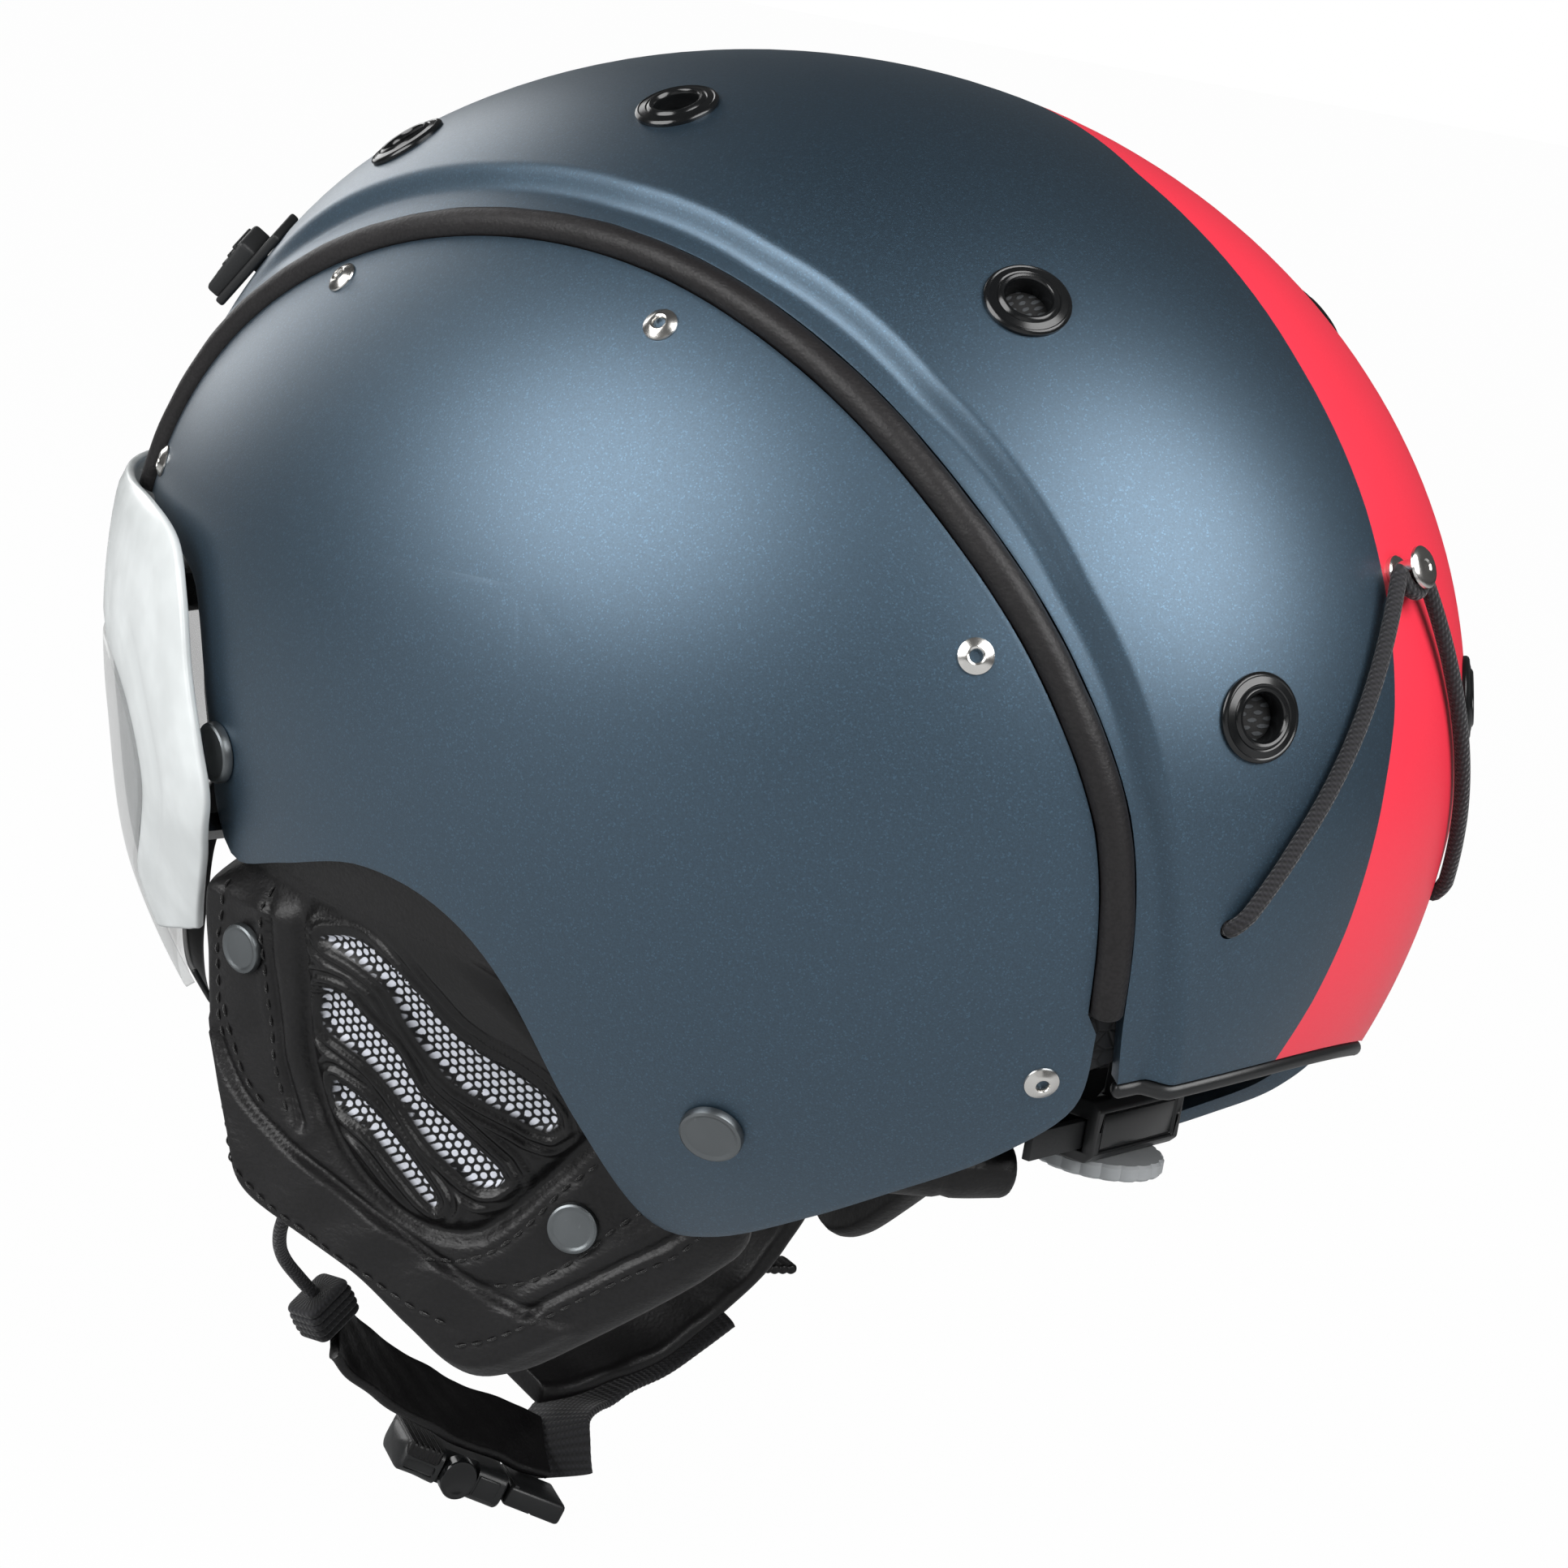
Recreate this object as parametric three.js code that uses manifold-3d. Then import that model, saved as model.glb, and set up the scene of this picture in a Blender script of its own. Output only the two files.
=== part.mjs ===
import * as THREE from 'three';
import { mergeVertices } from 'three/addons/utils/BufferGeometryUtils.js';
import Module from 'manifold-3d';

// Visor ski helmet. Lengths are in millimetres and angles in degrees.
// X runs to the wearer's left, Y to the back of the head and Z up.
// The origin is the middle of the head, between the ears.

// Outer surface of the shell, measured from the origin.
const HALF_WIDTH = 108.5;
const FRONT = 147;
const REAR = 138;
const CROWN = 116.5;
const UNDER = 134;

// Room kept for the head, measured the same way.
const HEAD_HALF_WIDTH = 78;
const HEAD_FRONT = 99;
const HEAD_REAR = 97;
const HEAD_CROWN = 91;
const HEAD_UNDER = 120;

// Clearances.
const GAP = 0.3;
const FACET_DIP = 0.6;
const RUN_CLEARANCE = 0.5;
const WELD = 0.0001;

// Shell pieces.
const SHELL_WALL = 3;
const STEP = 3.2;
const STEP_HALF_LEAN = 1.3;
const STEP_FADE_FROM = 128;
const STEP_FADE_TO = 158;
const EDGE_ROUND = 0.6;
const TRIM_RADIUS = 3.15;
const TRIM_SINK = 0.4;
const RIM_RADIUS = 1.6;
const PADDING_WALL = 5.2;

// Seam between the side panel and the middle of the shell: turn and lean.
// The turn is 0 at the back, 90 at the crown and 180 at the front.
const SEAM = [
  [173, 37.8],
  [150, 40.2],
  [128, 43],
  [104, 45.2],
  [80, 46.2],
  [58, 45.8],
  [36, 43.2],
  [16, 38],
  [-2, 31.9],
  [-17, 27.4],
  [-24, 24],
];
const TRIM_END_SHARE = 0.9;
const BROW_BOW = 1.2;
const REAR_BOW = 5.5;
const BOW_POWER = 6;

// Foot of the raised middle of the shell: turn and lean.
const CREASE = [
  [-30, 16.5],
  [-20, 19.8],
  [-12, 23.6],
  [4, 29.9],
  [24, 35.7],
  [48, 40.2],
  [71, 41.7],
  [90, 41.1],
  [107, 39.4],
  [126, 36.4],
  [150, 33.6],
  [175, 31.5],
];

// Lower edge of the side panel, as shares of the side view chart. The visor's arm comes
// out past the place that has a name of its own.
const LINK_EDGE_SHARES = [-0.217, -0.165];
const PANEL_EDGE_SHARES = [
  [0.575, -0.2],
  [0.57, -0.285],
  [0.5, -0.335],
  [0.4, -0.375],
  [0.325, -0.41],
  [0.235, -0.45],
  [0.18, -0.437],
  [0.132, -0.322],
  [0.085, -0.213],
  [0.03, -0.16],
  [-0.045, -0.147],
  [-0.13, -0.175],
  [-0.195, -0.197],
  LINK_EDGE_SHARES,
  [-0.225, -0.09],
  [-0.27, 0.008],
  [-0.37, 0.035],
  [-0.44, 0.054],
];
const PANEL_MIDDLE_SHARES = [0.06, 0.09];
const PANEL_RING_SHARES = [0, 0.22, 0.42, 0.6, 0.77, 0.91, 1];
const SEAM_STEPS = 20;
const PANEL_EDGE_STEPS = 22;

// Rim of the foam liner: turn from the front round to the back, and height angle.
const LINER_RIM = [
  [0, 6.5],
  [28, 6.5],
  [47, 6],
  [59, 3.5],
  [65.5, -3],
  [70, -12],
  [78, -14],
  [88, -13],
  [99, -15],
  [106, -21],
  [114, -32],
  [122, -40],
  [132, -36.5],
  [145, -28],
  [154, -21],
  [180, -15.5],
];
const LINER_COLUMNS = 36;
const LINER_ROW_SHARES = [0, 0.14, 0.28, 0.42, 0.56, 0.7, 0.84, 0.96, 1];
const LINER_STEP_SETBACK = 3;
const LINER_STEP_SPREAD = 8;

// Vent grommets: lean and turn.
const VENTS = {
  front: [27.2, 123.8],
  top: [27.9, 93.4],
  back: [27.6, 52.5],
  rear: [20.3, 11],
};
const VENT_FLANGE_RADIUS = 8;
const VENT_BARREL_RADIUS = 5.6;
const VENT_BORE_RADIUS = 4.2;
const VENT_PROUD = 1.6;
const VENT_CHANNEL_RADIUS = 4.6;
const VENT_CHANNEL_DEPTH = 60;
const VENT_SIDES = 12;

// Rivets and press studs on the side panel, as shares of the side view chart.
const RIVETS = {
  brow: [-0.437, 0.092],
  front: [-0.234, 0.312],
  top: [0.091, 0.331],
  back: [0.4, 0.1275],
  rear: [0.528, -0.249],
};
const RIVET_RADIUS = 3.3;
const RIVET_BORE_RADIUS = 1.1;
const RIVET_SHANK_RADIUS = 1.8;
const RIVET_PROUD = 1.2;
const RIVET_SIDES = 8;
const PANEL_STUD_SHARES = [0.245, -0.305];
const GUIDE_STUD_SHARES = [-0.208, -0.113];
const STUD_RADIUS = 6;
const STUD_SHANK_RADIUS = 2;
const STUD_PROUD = 1.9;
const STUD_SIDES = 12;

// Strap button at the back, and the stretch cord that loops over it.
const BUTTON_TURN = 22.6;
const BUTTON_RADIUS = 4;
const BUTTON_NECK_RADIUS = 2.2;
const BUTTON_FOOT_RADIUS = 3.4;
const BUTTON_FOOT_HEIGHT = 1.2;
const BUTTON_NECK_HEIGHT = 5.2;
const BUTTON_HEIGHT = 6.8;
const CORD_RADIUS = 1.5;
const CORD_SIDES = 6;
const CORD_HOLE = [19.9, -7.3];
const CORD_STEPS = 8;
const CORD_HOLE_DEPTH = 2.4;

// Visor: turn from the front and height angle of its edges, from the low end up and over.
const FRAME_OUTER = [
  [58.4, -29.6],
  [62.4, -25],
  [65.6, -20.4],
  [67.8, -15.8],
  [67, -11.2],
  [65.2, -5.9],
  [63.2, -0.5],
  [59.6, 4.4],
  [52, 6.3],
  [42, 6.5],
  [28, 6.5],
  [14, 6.5],
  [0, 6.5],
];
const FRAME_INNER = [
  [45.2, -32],
  [45.2, -27.6],
  [50.4, -23],
  [54.2, -18.2],
  [54.2, -14.6],
  [52.2, -11.6],
  [49, -9.7],
  [44.4, -8.5],
  [39, -8],
  [31, -7.7],
  [21, -7.6],
  [10.5, -7.6],
  [0, -7.6],
];
const LENS_LOW_EDGE = [
  [45.6, -37.6],
  [38, -37.4],
  [30, -36.2],
  [20, -33.2],
  [12, -28.6],
  [6, -25.4],
  [0, -24.4],
];
const VISOR_RISE = 6.8;
const VISOR_BULGE = 2.4;
const VISOR_WALL = 2;
const BULGE_FROM = 14;
const BULGE_OVER = 14;
const BULGE_TURN = 60;
const BULGE_TURN_OVER = 18;
const LENS_MARGIN = 0.3;
const GASKET_HALF_WIDTH = 2;
const GASKET_WALL = 1.2;
const NOSE_WIDTH = 4.6;
const FRAME_STEPS = 18;
const FRAME_BANDS = 3;
const LENS_STEPS = 9;
const LENS_ROWS = 10;
const VISOR_LIFT = 32;

// Curved arms that carry the visor and run behind the side panels, about the X axis.
const ARM_WIDTH = 14.5;
const ARM_DEPTH = 4.7;
const ARM_WALL = 2.4;
const ARM_FROM = -37.2;
const ARM_TO = 5;
const ARM_STEPS = 8;
const LINK_TO = -34.4;
const LINK_REACH = 2.9;
const LINK_CLEARANCE = 1.8;
const ARM_RIM = 3.4;
const SLOT_FLOOR_X = 76.8;

// Ear pads: outline seen from the side, Y and Z.
const PAD_OUTLINE = [
  [-58.5, -50],
  [-62.2, -56.6],
  [-60.4, -69.4],
  [-58.3, -82],
  [-54.7, -92.6],
  [-49.9, -102.9],
  [-45.2, -113.1],
  [-33.4, -117.8],
  [-17.4, -123.1],
  [-4.4, -130.9],
  [5.6, -136.5],
  [14.6, -134],
  [25.2, -125.4],
  [37.5, -114.1],
  [43.3, -107.9],
  [47.8, -101.2],
  [46, -93],
  [36, -76],
  [26, -58],
  [20, -46],
  [0, -34],
  [-14, -34],
  [-30, -37],
  [-44, -44],
];
const PAD_MIDDLE = [-5, -84];
const PAD_RING_SHARES = [0, 0.35, 0.65, 0.86, 0.96, 1];
const PAD_RING_SINKS = [0, 0, 0, 0, 1.2, 4.6];
const PAD_BACK_SHARES = [0, 0.3, 0.58, 0.78, 0.92, 0.99];
const PAD_WALL = 16;
const PAD_CROWN = 1.6;
const PAD_SIDE = 5;
const PAD_TOP_X = 99;
const PAD_TOP_MIDDLE_Y = -10;
const PAD_TOP_SPREAD = 227;
const PAD_LOW_X = 90;
const PAD_LOW_MIDDLE_Y = -60;
const PAD_LOW_SPREAD_Y = 167;
const PAD_LOW_MIDDLE_Z = -95;
const PAD_LOW_SPREAD_Z = 833;
const PAD_BEND_FROM_Z = -38;
const PAD_BEND_DROP = 55;
const PAD_TUCK_Z = -57;
const PAD_TUCK_DROP = 8;
const PAD_STUDS = {
  front: [-48.2, -65.3],
  rear: [23.3, -102.4],
};
const PAD_STUD_RADIUS = 5;
const PAD_STUD_PROUD = 1.5;
const PAD_STUD_SINK = 2;
const FAR_PAD_ROLL = 15;
const FAR_PAD_HINGE_X = 94;

// Sound windows in the ear pad: Y and Z along the middle of each.
const WINDOWS = [
  [
    [-30.8, -57.4],
    [-19, -60],
    [-7, -69],
    [6, -79],
    [20, -86],
  ],
  [
    [-28, -70],
    [-17, -72],
    [-7, -81],
    [3, -91],
    [12, -96],
  ],
  [
    [-26, -84],
    [-19, -88],
    [-12, -95],
    [-5, -102],
    [1, -105.5],
  ],
];
const WINDOW_HALF_WIDTH = 3.4;
const WINDOW_DEPTH = 2.2;

// Neck pads, one each side of the fit housing.
const NECK_ROUTE = [
  [51.1, 48.7, -81.7],
  [47, 60.6, -79.9],
  [39.6, 71.4, -78.4],
  [30.6, 80, -77.9],
  [22.5, 84.6, -77.6],
];
const NECK_RADIUS = 6;
const NECK_SIDES = 10;

// Fit system at the nape.
const HOUSING_HALF_WIDTH = 15.7;
const HOUSING_FRONT_Y = 84;
const HOUSING_REAR_Y = 100;
const HOUSING_TOP_Z = -61.4;
const HOUSING_FOOT_Z = -73.7;
const HOUSING_WALL = 2.2;
const HOUSING_ROUND = 1.6;
const PLATE_INSET = 2.4;
const PLATE_DEPTH = 0.6;
const DIAL_RADIUS = 13;
const DIAL_HEIGHT = 3.6;
const DIAL_TEETH = 20;
const DIAL_NOTCH = 0.6;
const SHAFT_RADIUS = 3;
const RACK_WALL = 1.8;
const RACK_HEIGHT = 5.6;
const RACK_REACH = 33;
const RACK_TAIL = 11;
const RACK_TRAVEL = 8;
const BRACKET_HALF_WIDTH = 9;
const BRACKET_WALL = 2.4;
const BRACKET_FOOT_Y = 122;
const BRACKET_FOOT_HALF_WIDTH = 16;
const BRACKET_TURN = 170;

// Sliders of the two forehead vents: lean and turn.
const SLIDER_PLACE = [27.5, 146];
const SLIDER_HALF_LENGTH = 10.5;
const SLIDER_HALF_WIDTH = 6;
const SLIDER_WALL = 2;
const SLIDER_GRIP = 4.4;
const SLIDER_GRIP_FROM = 3.5;
const SLIDER_STEM = 1.6;
const SLIDER_TRAVEL = 3;

// Chin strap, from the left ear pad under the chin to the right one.
const CHIN_CORD = [
  [80.2, -38.4, -116.3],
  [77.5, -42, -124],
  [71.5, -45.5, -131],
  [65, -45.8, -137],
  [60.3, -44.6, -141.4],
];
const CHIN_CORD_RADIUS = 1.4;
const KEEPER_ROUTE = [
  [61, -44.7, -140.2],
  [56.5, -43.4, -147],
];
const KEEPER_HALF_WIDTH = 6;
const KEEPER_HALF_WALL = 4.5;
const CHIN_BAND = [
  [55.6, -43.1, -148.2],
  [50, -42, -153.2],
  [40, -40, -160.4],
  [30, -37.5, -166.2],
  [20, -35, -171.6],
  [10, -32.2, -175.8],
  [-0.2, -28.3, -180.4],
];
const CHIN_BAND_UP = [0.42, 0.3, 0.86];
const CHIN_BAND_HALF_WIDTH = 9;
const CHIN_BAND_HALF_WALL = 1.3;
const WEBBING = [
  [-2.6, -24.6, -186],
  [-3, -26.6, -181],
  [-6.6, -30.4, -176.6],
  [-16, -33.4, -174.4],
  [-23, -33.6, -172.2],
  [-30, -33.4, -170.2],
  [-38, -32, -167.6],
  [-46, -29.4, -162.3],
  [-52.6, -26.6, -156.9],
];
const WEBBING_HALF_WIDTH = 8;
const WEBBING_HALF_WALL = 0.9;
const SLEEVE = [
  [-4, -39.5, -168.8],
  [-16, -36.6, -168],
  [-27, -35, -166.2],
  [-36, -33, -163.4],
  [-44, -30.5, -158],
  [-50, -27.9, -152],
  [-55, -25, -146],
  [-59, -22, -138],
  [-60.6, -19, -129],
  [-61.2, -17.8, -119],
];
const SLEEVE_HALF_WIDTH = 8.5;
const SLEEVE_HALF_WALL = 3;
const SLEEVE_TAB = [
  [-56.5, -24, -147],
  [-67.5, -18.5, -147],
];
const SLEEVE_TAB_HALF_WIDTH = 3.4;
const SLEEVE_TAB_HALF_WALL = 1;
const BUCKLE_MIDDLE = [18.2, -31, -183.3];
const BUCKLE_ALONG = [-0.776, 0.55, -0.33];
const BUCKLE_HALF_LENGTH = 20;
const BUCKLE_HALF_WIDTH = 8;
const BUCKLE_HALF_WALL = 3.8;
const BUCKLE_BODY_SHARE = 0.3;
const BUCKLE_SLOT_SHARE = 0.7;
const BUCKLE_SLOT_LENGTH_SHARE = 0.19;
const TONGUE_HALF_WIDTH = 6.6;
const TONGUE_HALF_WALL = 2.4;
const TONGUE_TIP_HALF_WIDTH = 2.6;
const TONGUE_TIP_HALF_WALL = 0.9;
const RELEASE_PLACE_SHARE = -0.3;
const RELEASE_HALF_LENGTH = 3.8;
const RELEASE_HALF_HEIGHT = 4.4;
const RELEASE_WALL = 4;
const RELEASE_TRAVEL = 1.5;

const finishes = {
  shell: { color: 0x40566a, roughness: 0.42, metalness: 0.35 },
  trim: { color: 0x211f20, roughness: 0.62, metalness: 0 },
  foam: { color: 0x2b2c2e, roughness: 0.9, metalness: 0 },
  lining: { color: 0x343638, roughness: 0.95, metalness: 0 },
  gloss: { color: 0x17181a, roughness: 0.25, metalness: 0 },
  matte: { color: 0x232526, roughness: 0.6, metalness: 0 },
  nickel: { color: 0xc9cbcc, roughness: 0.25, metalness: 1 },
  gunmetal: { color: 0x5c5f62, roughness: 0.32, metalness: 1 },
  leather: { color: 0x232122, roughness: 0.55, metalness: 0 },
  frame: { color: 0xeff2f2, roughness: 0.22, metalness: 0 },
  lens: { color: 0xc3c9c8, roughness: 0.08, metalness: 0, transparent: true, opacity: 0.45 },
  web: { color: 0x1f1f20, roughness: 0.85, metalness: 0 },
  pale: { color: 0xb9bcbb, roughness: 0.5, metalness: 0 },
};
const materials = {};
for (const [name, look] of Object.entries(finishes)) {
  materials[name] = new THREE.MeshStandardMaterial({ name, ...look });
}

const wasm = await Module();
wasm.setup();

const { Vector2, Vector3 } = THREE;
const radians = THREE.MathUtils.degToRad;
const degrees = THREE.MathUtils.radToDeg;
const blend = THREE.MathUtils.lerp;
const SIDEWAYS = new Vector3(1, 0, 0);
const UPWARD = new Vector3(0, 0, 1);
const LATHE_AXIS = new Vector3(0, 1, 0);

const helmet = new THREE.Group();
helmet.name = 'visor_ski_helmet';

// An egg made of eight eighths of ellipsoids, with a different reach each way.
class Dome {
  constructor(side, front, rear, crown, under) {
    Object.assign(this, { side, front, rear, crown, under });
  }

  axes(way) {
    const depth = way.y < 0 ? this.front : this.rear;
    const height = way.z < 0 ? this.under : this.crown;
    return new Vector3(this.side, depth, height);
  }

  normal(way) {
    return way.clone().divide(this.axes(way)).normalize();
  }

  at(way, rise = 0) {
    return way.clone().multiply(this.axes(way)).addScaledVector(this.normal(way), rise);
  }

  wayTo(point) {
    return point.clone().divide(this.axes(point)).normalize();
  }

  // The X of the surface over a place given by its Y and Z.
  sideOver(y, z, rise = 0) {
    const axes = this.axes(new Vector3(0, y, z));
    const reach = Math.max(0, 1 - (y / axes.y) ** 2 - (z / axes.z) ** 2);
    const way = new Vector3(Math.sqrt(reach), y / axes.y, z / axes.z);
    return this.side * way.x + rise / this.normal(way).x;
  }
}
const shell = new Dome(HALF_WIDTH, FRONT, REAR, CROWN, UNDER);
const head = new Dome(HEAD_HALF_WIDTH, HEAD_FRONT, HEAD_REAR, HEAD_CROWN, HEAD_UNDER);

// Three charts of the dome: across and over it, from its side, and round it.
function overWay(lean, turn) {
  const level = Math.cos(radians(lean));
  const back = level * Math.cos(radians(turn));
  return new Vector3(Math.sin(radians(lean)), back, level * Math.sin(radians(turn)));
}

function sideWay(p, q) {
  const spread = p * p + q * q;
  return new Vector3(1 - spread, p + p, q + q).divideScalar(1 + spread);
}

function roundWay(turn, height) {
  const level = Math.cos(radians(height));
  const front = -level * Math.cos(radians(turn));
  return new Vector3(level * Math.sin(radians(turn)), front, Math.sin(radians(height)));
}

function leanAndTurn(way) {
  return [degrees(Math.asin(way.x)), degrees(Math.atan2(way.z, way.y))];
}

function sideShares(way) {
  return [way.y / (1 + way.x), way.z / (1 + way.x)];
}

// The arms' link clears the front edge of the panel, and their radii follow from that.
const linkEdge = shell.at(sideWay(...LINK_EDGE_SHARES));
const linkInnerRadius = Math.hypot(linkEdge.y, linkEdge.z) + LINK_CLEARANCE;
const armOuterRadius = linkInnerRadius + ARM_WALL;
const armInnerRadius = armOuterRadius - ARM_WIDTH;
const linkOuterRadius = armOuterRadius + LINK_REACH;
const armRimRadius = linkOuterRadius + ARM_RIM;

function flipped(way) {
  return new Vector3(-way.x, way.y, way.z);
}

// Value of a table at x, straight between its rows.
function along(table, x) {
  const last = table.length - 1;
  if (x <= table[0][0]) {
    return table[0][1];
  }
  for (let i = 0; i < last; i += 1) {
    const [from, low] = table[i];
    const [to, high] = table[i + 1];
    if (x <= to) {
      return blend(low, high, (x - from) / (to - from));
    }
  }
  return table[last][1];
}

function smooth(share) {
  return THREE.MathUtils.smoothstep(share, 0, 1);
}

function spline(knots) {
  return new THREE.SplineCurve(knots.map(([a, b]) => new Vector2(a, b)));
}

function samples(count) {
  return Array.from({ length: count + 1 }, (_, i) => i / count);
}

// A closed body from points and triangles, with its faces turned outward.
function closedBody(points, faces) {
  const loose = new THREE.BufferGeometry().setFromPoints(points);
  loose.setIndex(faces.flat());
  const body = mergeVertices(loose, WELD);
  const corners = Array.from(body.getIndex().array);
  const place = body.getAttribute('position');
  const kept = [];
  let volume = 0;
  for (let i = 0; i < corners.length; i += 3) {
    const [a, b, c] = corners.slice(i, i + 3);
    if (a !== b && b !== c && c !== a) {
      kept.push([a, b, c]);
      const [u, v, w] = [a, b, c].map((k) => new Vector3().fromBufferAttribute(place, k));
      volume += u.dot(v.cross(w));
    }
  }
  body.setIndex(kept.flatMap(([a, b, c]) => (volume < 0 ? [a, c, b] : [a, b, c])));
  body.computeVertexNormals();
  return body;
}

// A closed body between two sheets of points that have the same rows and columns.
function skin(outer, inner, looped = false) {
  const rows = outer.length;
  const columns = outer[0].length;
  const spans = looped ? columns : columns - 1;
  const last = rows - 1;
  const end = columns - 1;
  const faces = [];
  const quad = (a, b, c, d) => faces.push([a, b, c], [a, c, d]);
  const out = (i, j) => i * columns + (j % columns);
  const back = (i, j) => rows * columns + out(i, j);
  for (let j = 0; j < spans; j += 1) {
    for (let i = 0; i < last; i += 1) {
      quad(out(i, j), out(i, j + 1), out(i + 1, j + 1), out(i + 1, j));
      quad(back(i, j), back(i + 1, j), back(i + 1, j + 1), back(i, j + 1));
    }
    quad(out(0, j), back(0, j), back(0, j + 1), out(0, j + 1));
    quad(out(last, j), out(last, j + 1), back(last, j + 1), back(last, j));
  }
  for (let i = 0; !looped && i < last; i += 1) {
    quad(out(i, 0), out(i + 1, 0), back(i + 1, 0), back(i, 0));
    quad(out(i, end), back(i, end), back(i + 1, end), out(i + 1, end));
  }
  return closedBody([...outer.flat(), ...inner.flat()], faces);
}

// Places along a route, each with its side and up directions.
function stationsAlong(points, ups) {
  return points.map((at, i) => {
    const next = points[Math.min(i + 1, points.length - 1)];
    const before = points[Math.max(i - 1, 0)];
    const ahead = next.clone().sub(before).normalize();
    const side = ahead.clone().cross(ups[i]).normalize();
    return { at, side, up: side.clone().cross(ahead) };
  });
}

// A solid that keeps one section all along its stations, closed at both ends.
function sweep(stations, section) {
  const points = [];
  for (const { at, side, up } of stations) {
    for (const [across, height] of section) {
      points.push(at.clone().addScaledVector(side, across).addScaledVector(up, height));
    }
  }
  const count = section.length;
  const faces = [];
  for (let i = 0; i + 1 < stations.length; i += 1) {
    for (let j = 0; j < count; j += 1) {
      const a = i * count + j;
      const b = i * count + ((j + 1) % count);
      faces.push([a, b, b + count], [a, b + count, a + count]);
    }
  }
  const flat = section.map(([across, height]) => new Vector2(across, height));
  const cap = THREE.ShapeUtils.triangulateShape(flat, []);
  const start = (stations.length - 1) * count;
  for (const [a, b, c] of cap) {
    faces.push([a, c, b], [start + a, start + b, start + c]);
  }
  return closedBody(points, faces);
}

function roundSection(radius, sides) {
  const turns = samples(sides).slice(0, sides);
  return turns.map((share) => {
    const angle = radians(360 * share);
    return [radius * Math.cos(angle), radius * Math.sin(angle)];
  });
}

function flatSection(halfWidth, halfWall) {
  const [w, h] = [halfWidth, halfWall];
  const shoulder = w - h;
  return [
    [-w, 0],
    [-shoulder, -h],
    [shoulder, -h],
    [w, 0],
    [shoulder, h],
    [-shoulder, h],
  ];
}

function vectors(list) {
  return list.map(([x, y, z]) => new Vector3(x, y, z));
}

function route(list, steps, up = LATHE_AXIS) {
  const points = new THREE.CatmullRomCurve3(vectors(list)).getPoints(steps);
  return stationsAlong(points, points.map(() => up));
}

function mirrored(geometry) {
  const copy = geometry.clone().scale(-1, 1, 1);
  const corners = Array.from(copy.getIndex().array);
  for (let i = 0; i < corners.length; i += 3) {
    [corners[i + 1], corners[i + 2]] = [corners[i + 2], corners[i + 1]];
  }
  copy.setIndex(corners);
  copy.computeVertexNormals();
  return copy;
}

function solid(geometry) {
  const bare = geometry.clone();
  bare.deleteAttribute('normal');
  bare.deleteAttribute('uv');
  const merged = mergeVertices(bare, WELD);
  const vertProperties = new Float32Array(merged.getAttribute('position').array);
  const triVerts = new Uint32Array(merged.getIndex().array);
  return new wasm.Manifold(new wasm.Mesh({ numProp: 3, vertProperties, triVerts }));
}

function fromSolid(body) {
  const { vertProperties, triVerts } = body.getMesh();
  const geometry = new THREE.BufferGeometry();
  geometry.setAttribute('position', new THREE.BufferAttribute(vertProperties, 3));
  geometry.setIndex(Array.from(triVerts));
  geometry.computeVertexNormals();
  return geometry;
}

function cut(geometry, tools) {
  let body = solid(geometry);
  for (const tool of tools) {
    body = body.subtract(solid(tool));
  }
  return fromSolid(body);
}

function join(geometries) {
  const [first, ...rest] = geometries.map(solid);
  return fromSolid(rest.reduce((body, next) => body.add(next), first));
}

function box(from, to) {
  const size = new Vector3(...to).sub(new Vector3(...from));
  const middle = new Vector3(...from).addScaledVector(size, 1 / 2);
  const block = new THREE.BoxGeometry(size.x, size.y, size.z);
  return block.translate(middle.x, middle.y, middle.z);
}

// A straight pin through the dome, from one rise to another, for cutting a hole.
function pin(way, radius, sides, from, to, dome = shell) {
  const length = to - from;
  const rod = new THREE.CylinderGeometry(radius, radius, length, sides);
  rod.translate(0, from + length / 2, 0);
  rod.applyQuaternion(facing(dome.normal(way)));
  const foot = dome.at(way);
  return rod.translate(foot.x, foot.y, foot.z);
}

function facing(direction) {
  return new THREE.Quaternion().setFromUnitVectors(LATHE_AXIS, direction);
}

function lathe(profile, sides) {
  return new THREE.LatheGeometry(profile.map(([x, y]) => new Vector2(x, y)), sides);
}

function add(name, geometry, material, at = null, direction = null) {
  const mesh = new THREE.Mesh(geometry, materials[material]);
  mesh.name = name;
  if (at) {
    mesh.position.copy(at);
  }
  if (direction) {
    mesh.quaternion.copy(facing(direction));
  }
  helmet.add(mesh);
  return mesh;
}

function addPair(name, geometry, material) {
  add(`${name}_left`, geometry, material);
  add(`${name}_right`, mirrored(geometry), material);
}

// The seam, and places on the shell beside it.
const seam = spline(SEAM);

function seamWay(share) {
  const { x: turn, y: lean } = seam.getPoint(share);
  return overWay(lean, turn);
}

function besideSeam(share, reach) {
  const way = seamWay(share);
  const small = 1 / SEAM.length ** 2;
  const next = shell.at(seamWay(Math.min(1, share + small)));
  const before = shell.at(seamWay(Math.max(0, share - small)));
  const across = next.sub(before).cross(shell.normal(way)).normalize();
  return shell.wayTo(shell.at(way).addScaledVector(across, reach));
}

// How far the middle of the shell stands above the dome.
function stepShare(turn) {
  const fade = (turn - STEP_FADE_FROM) / (STEP_FADE_TO - STEP_FADE_FROM);
  return 1 - smooth(fade);
}

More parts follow.
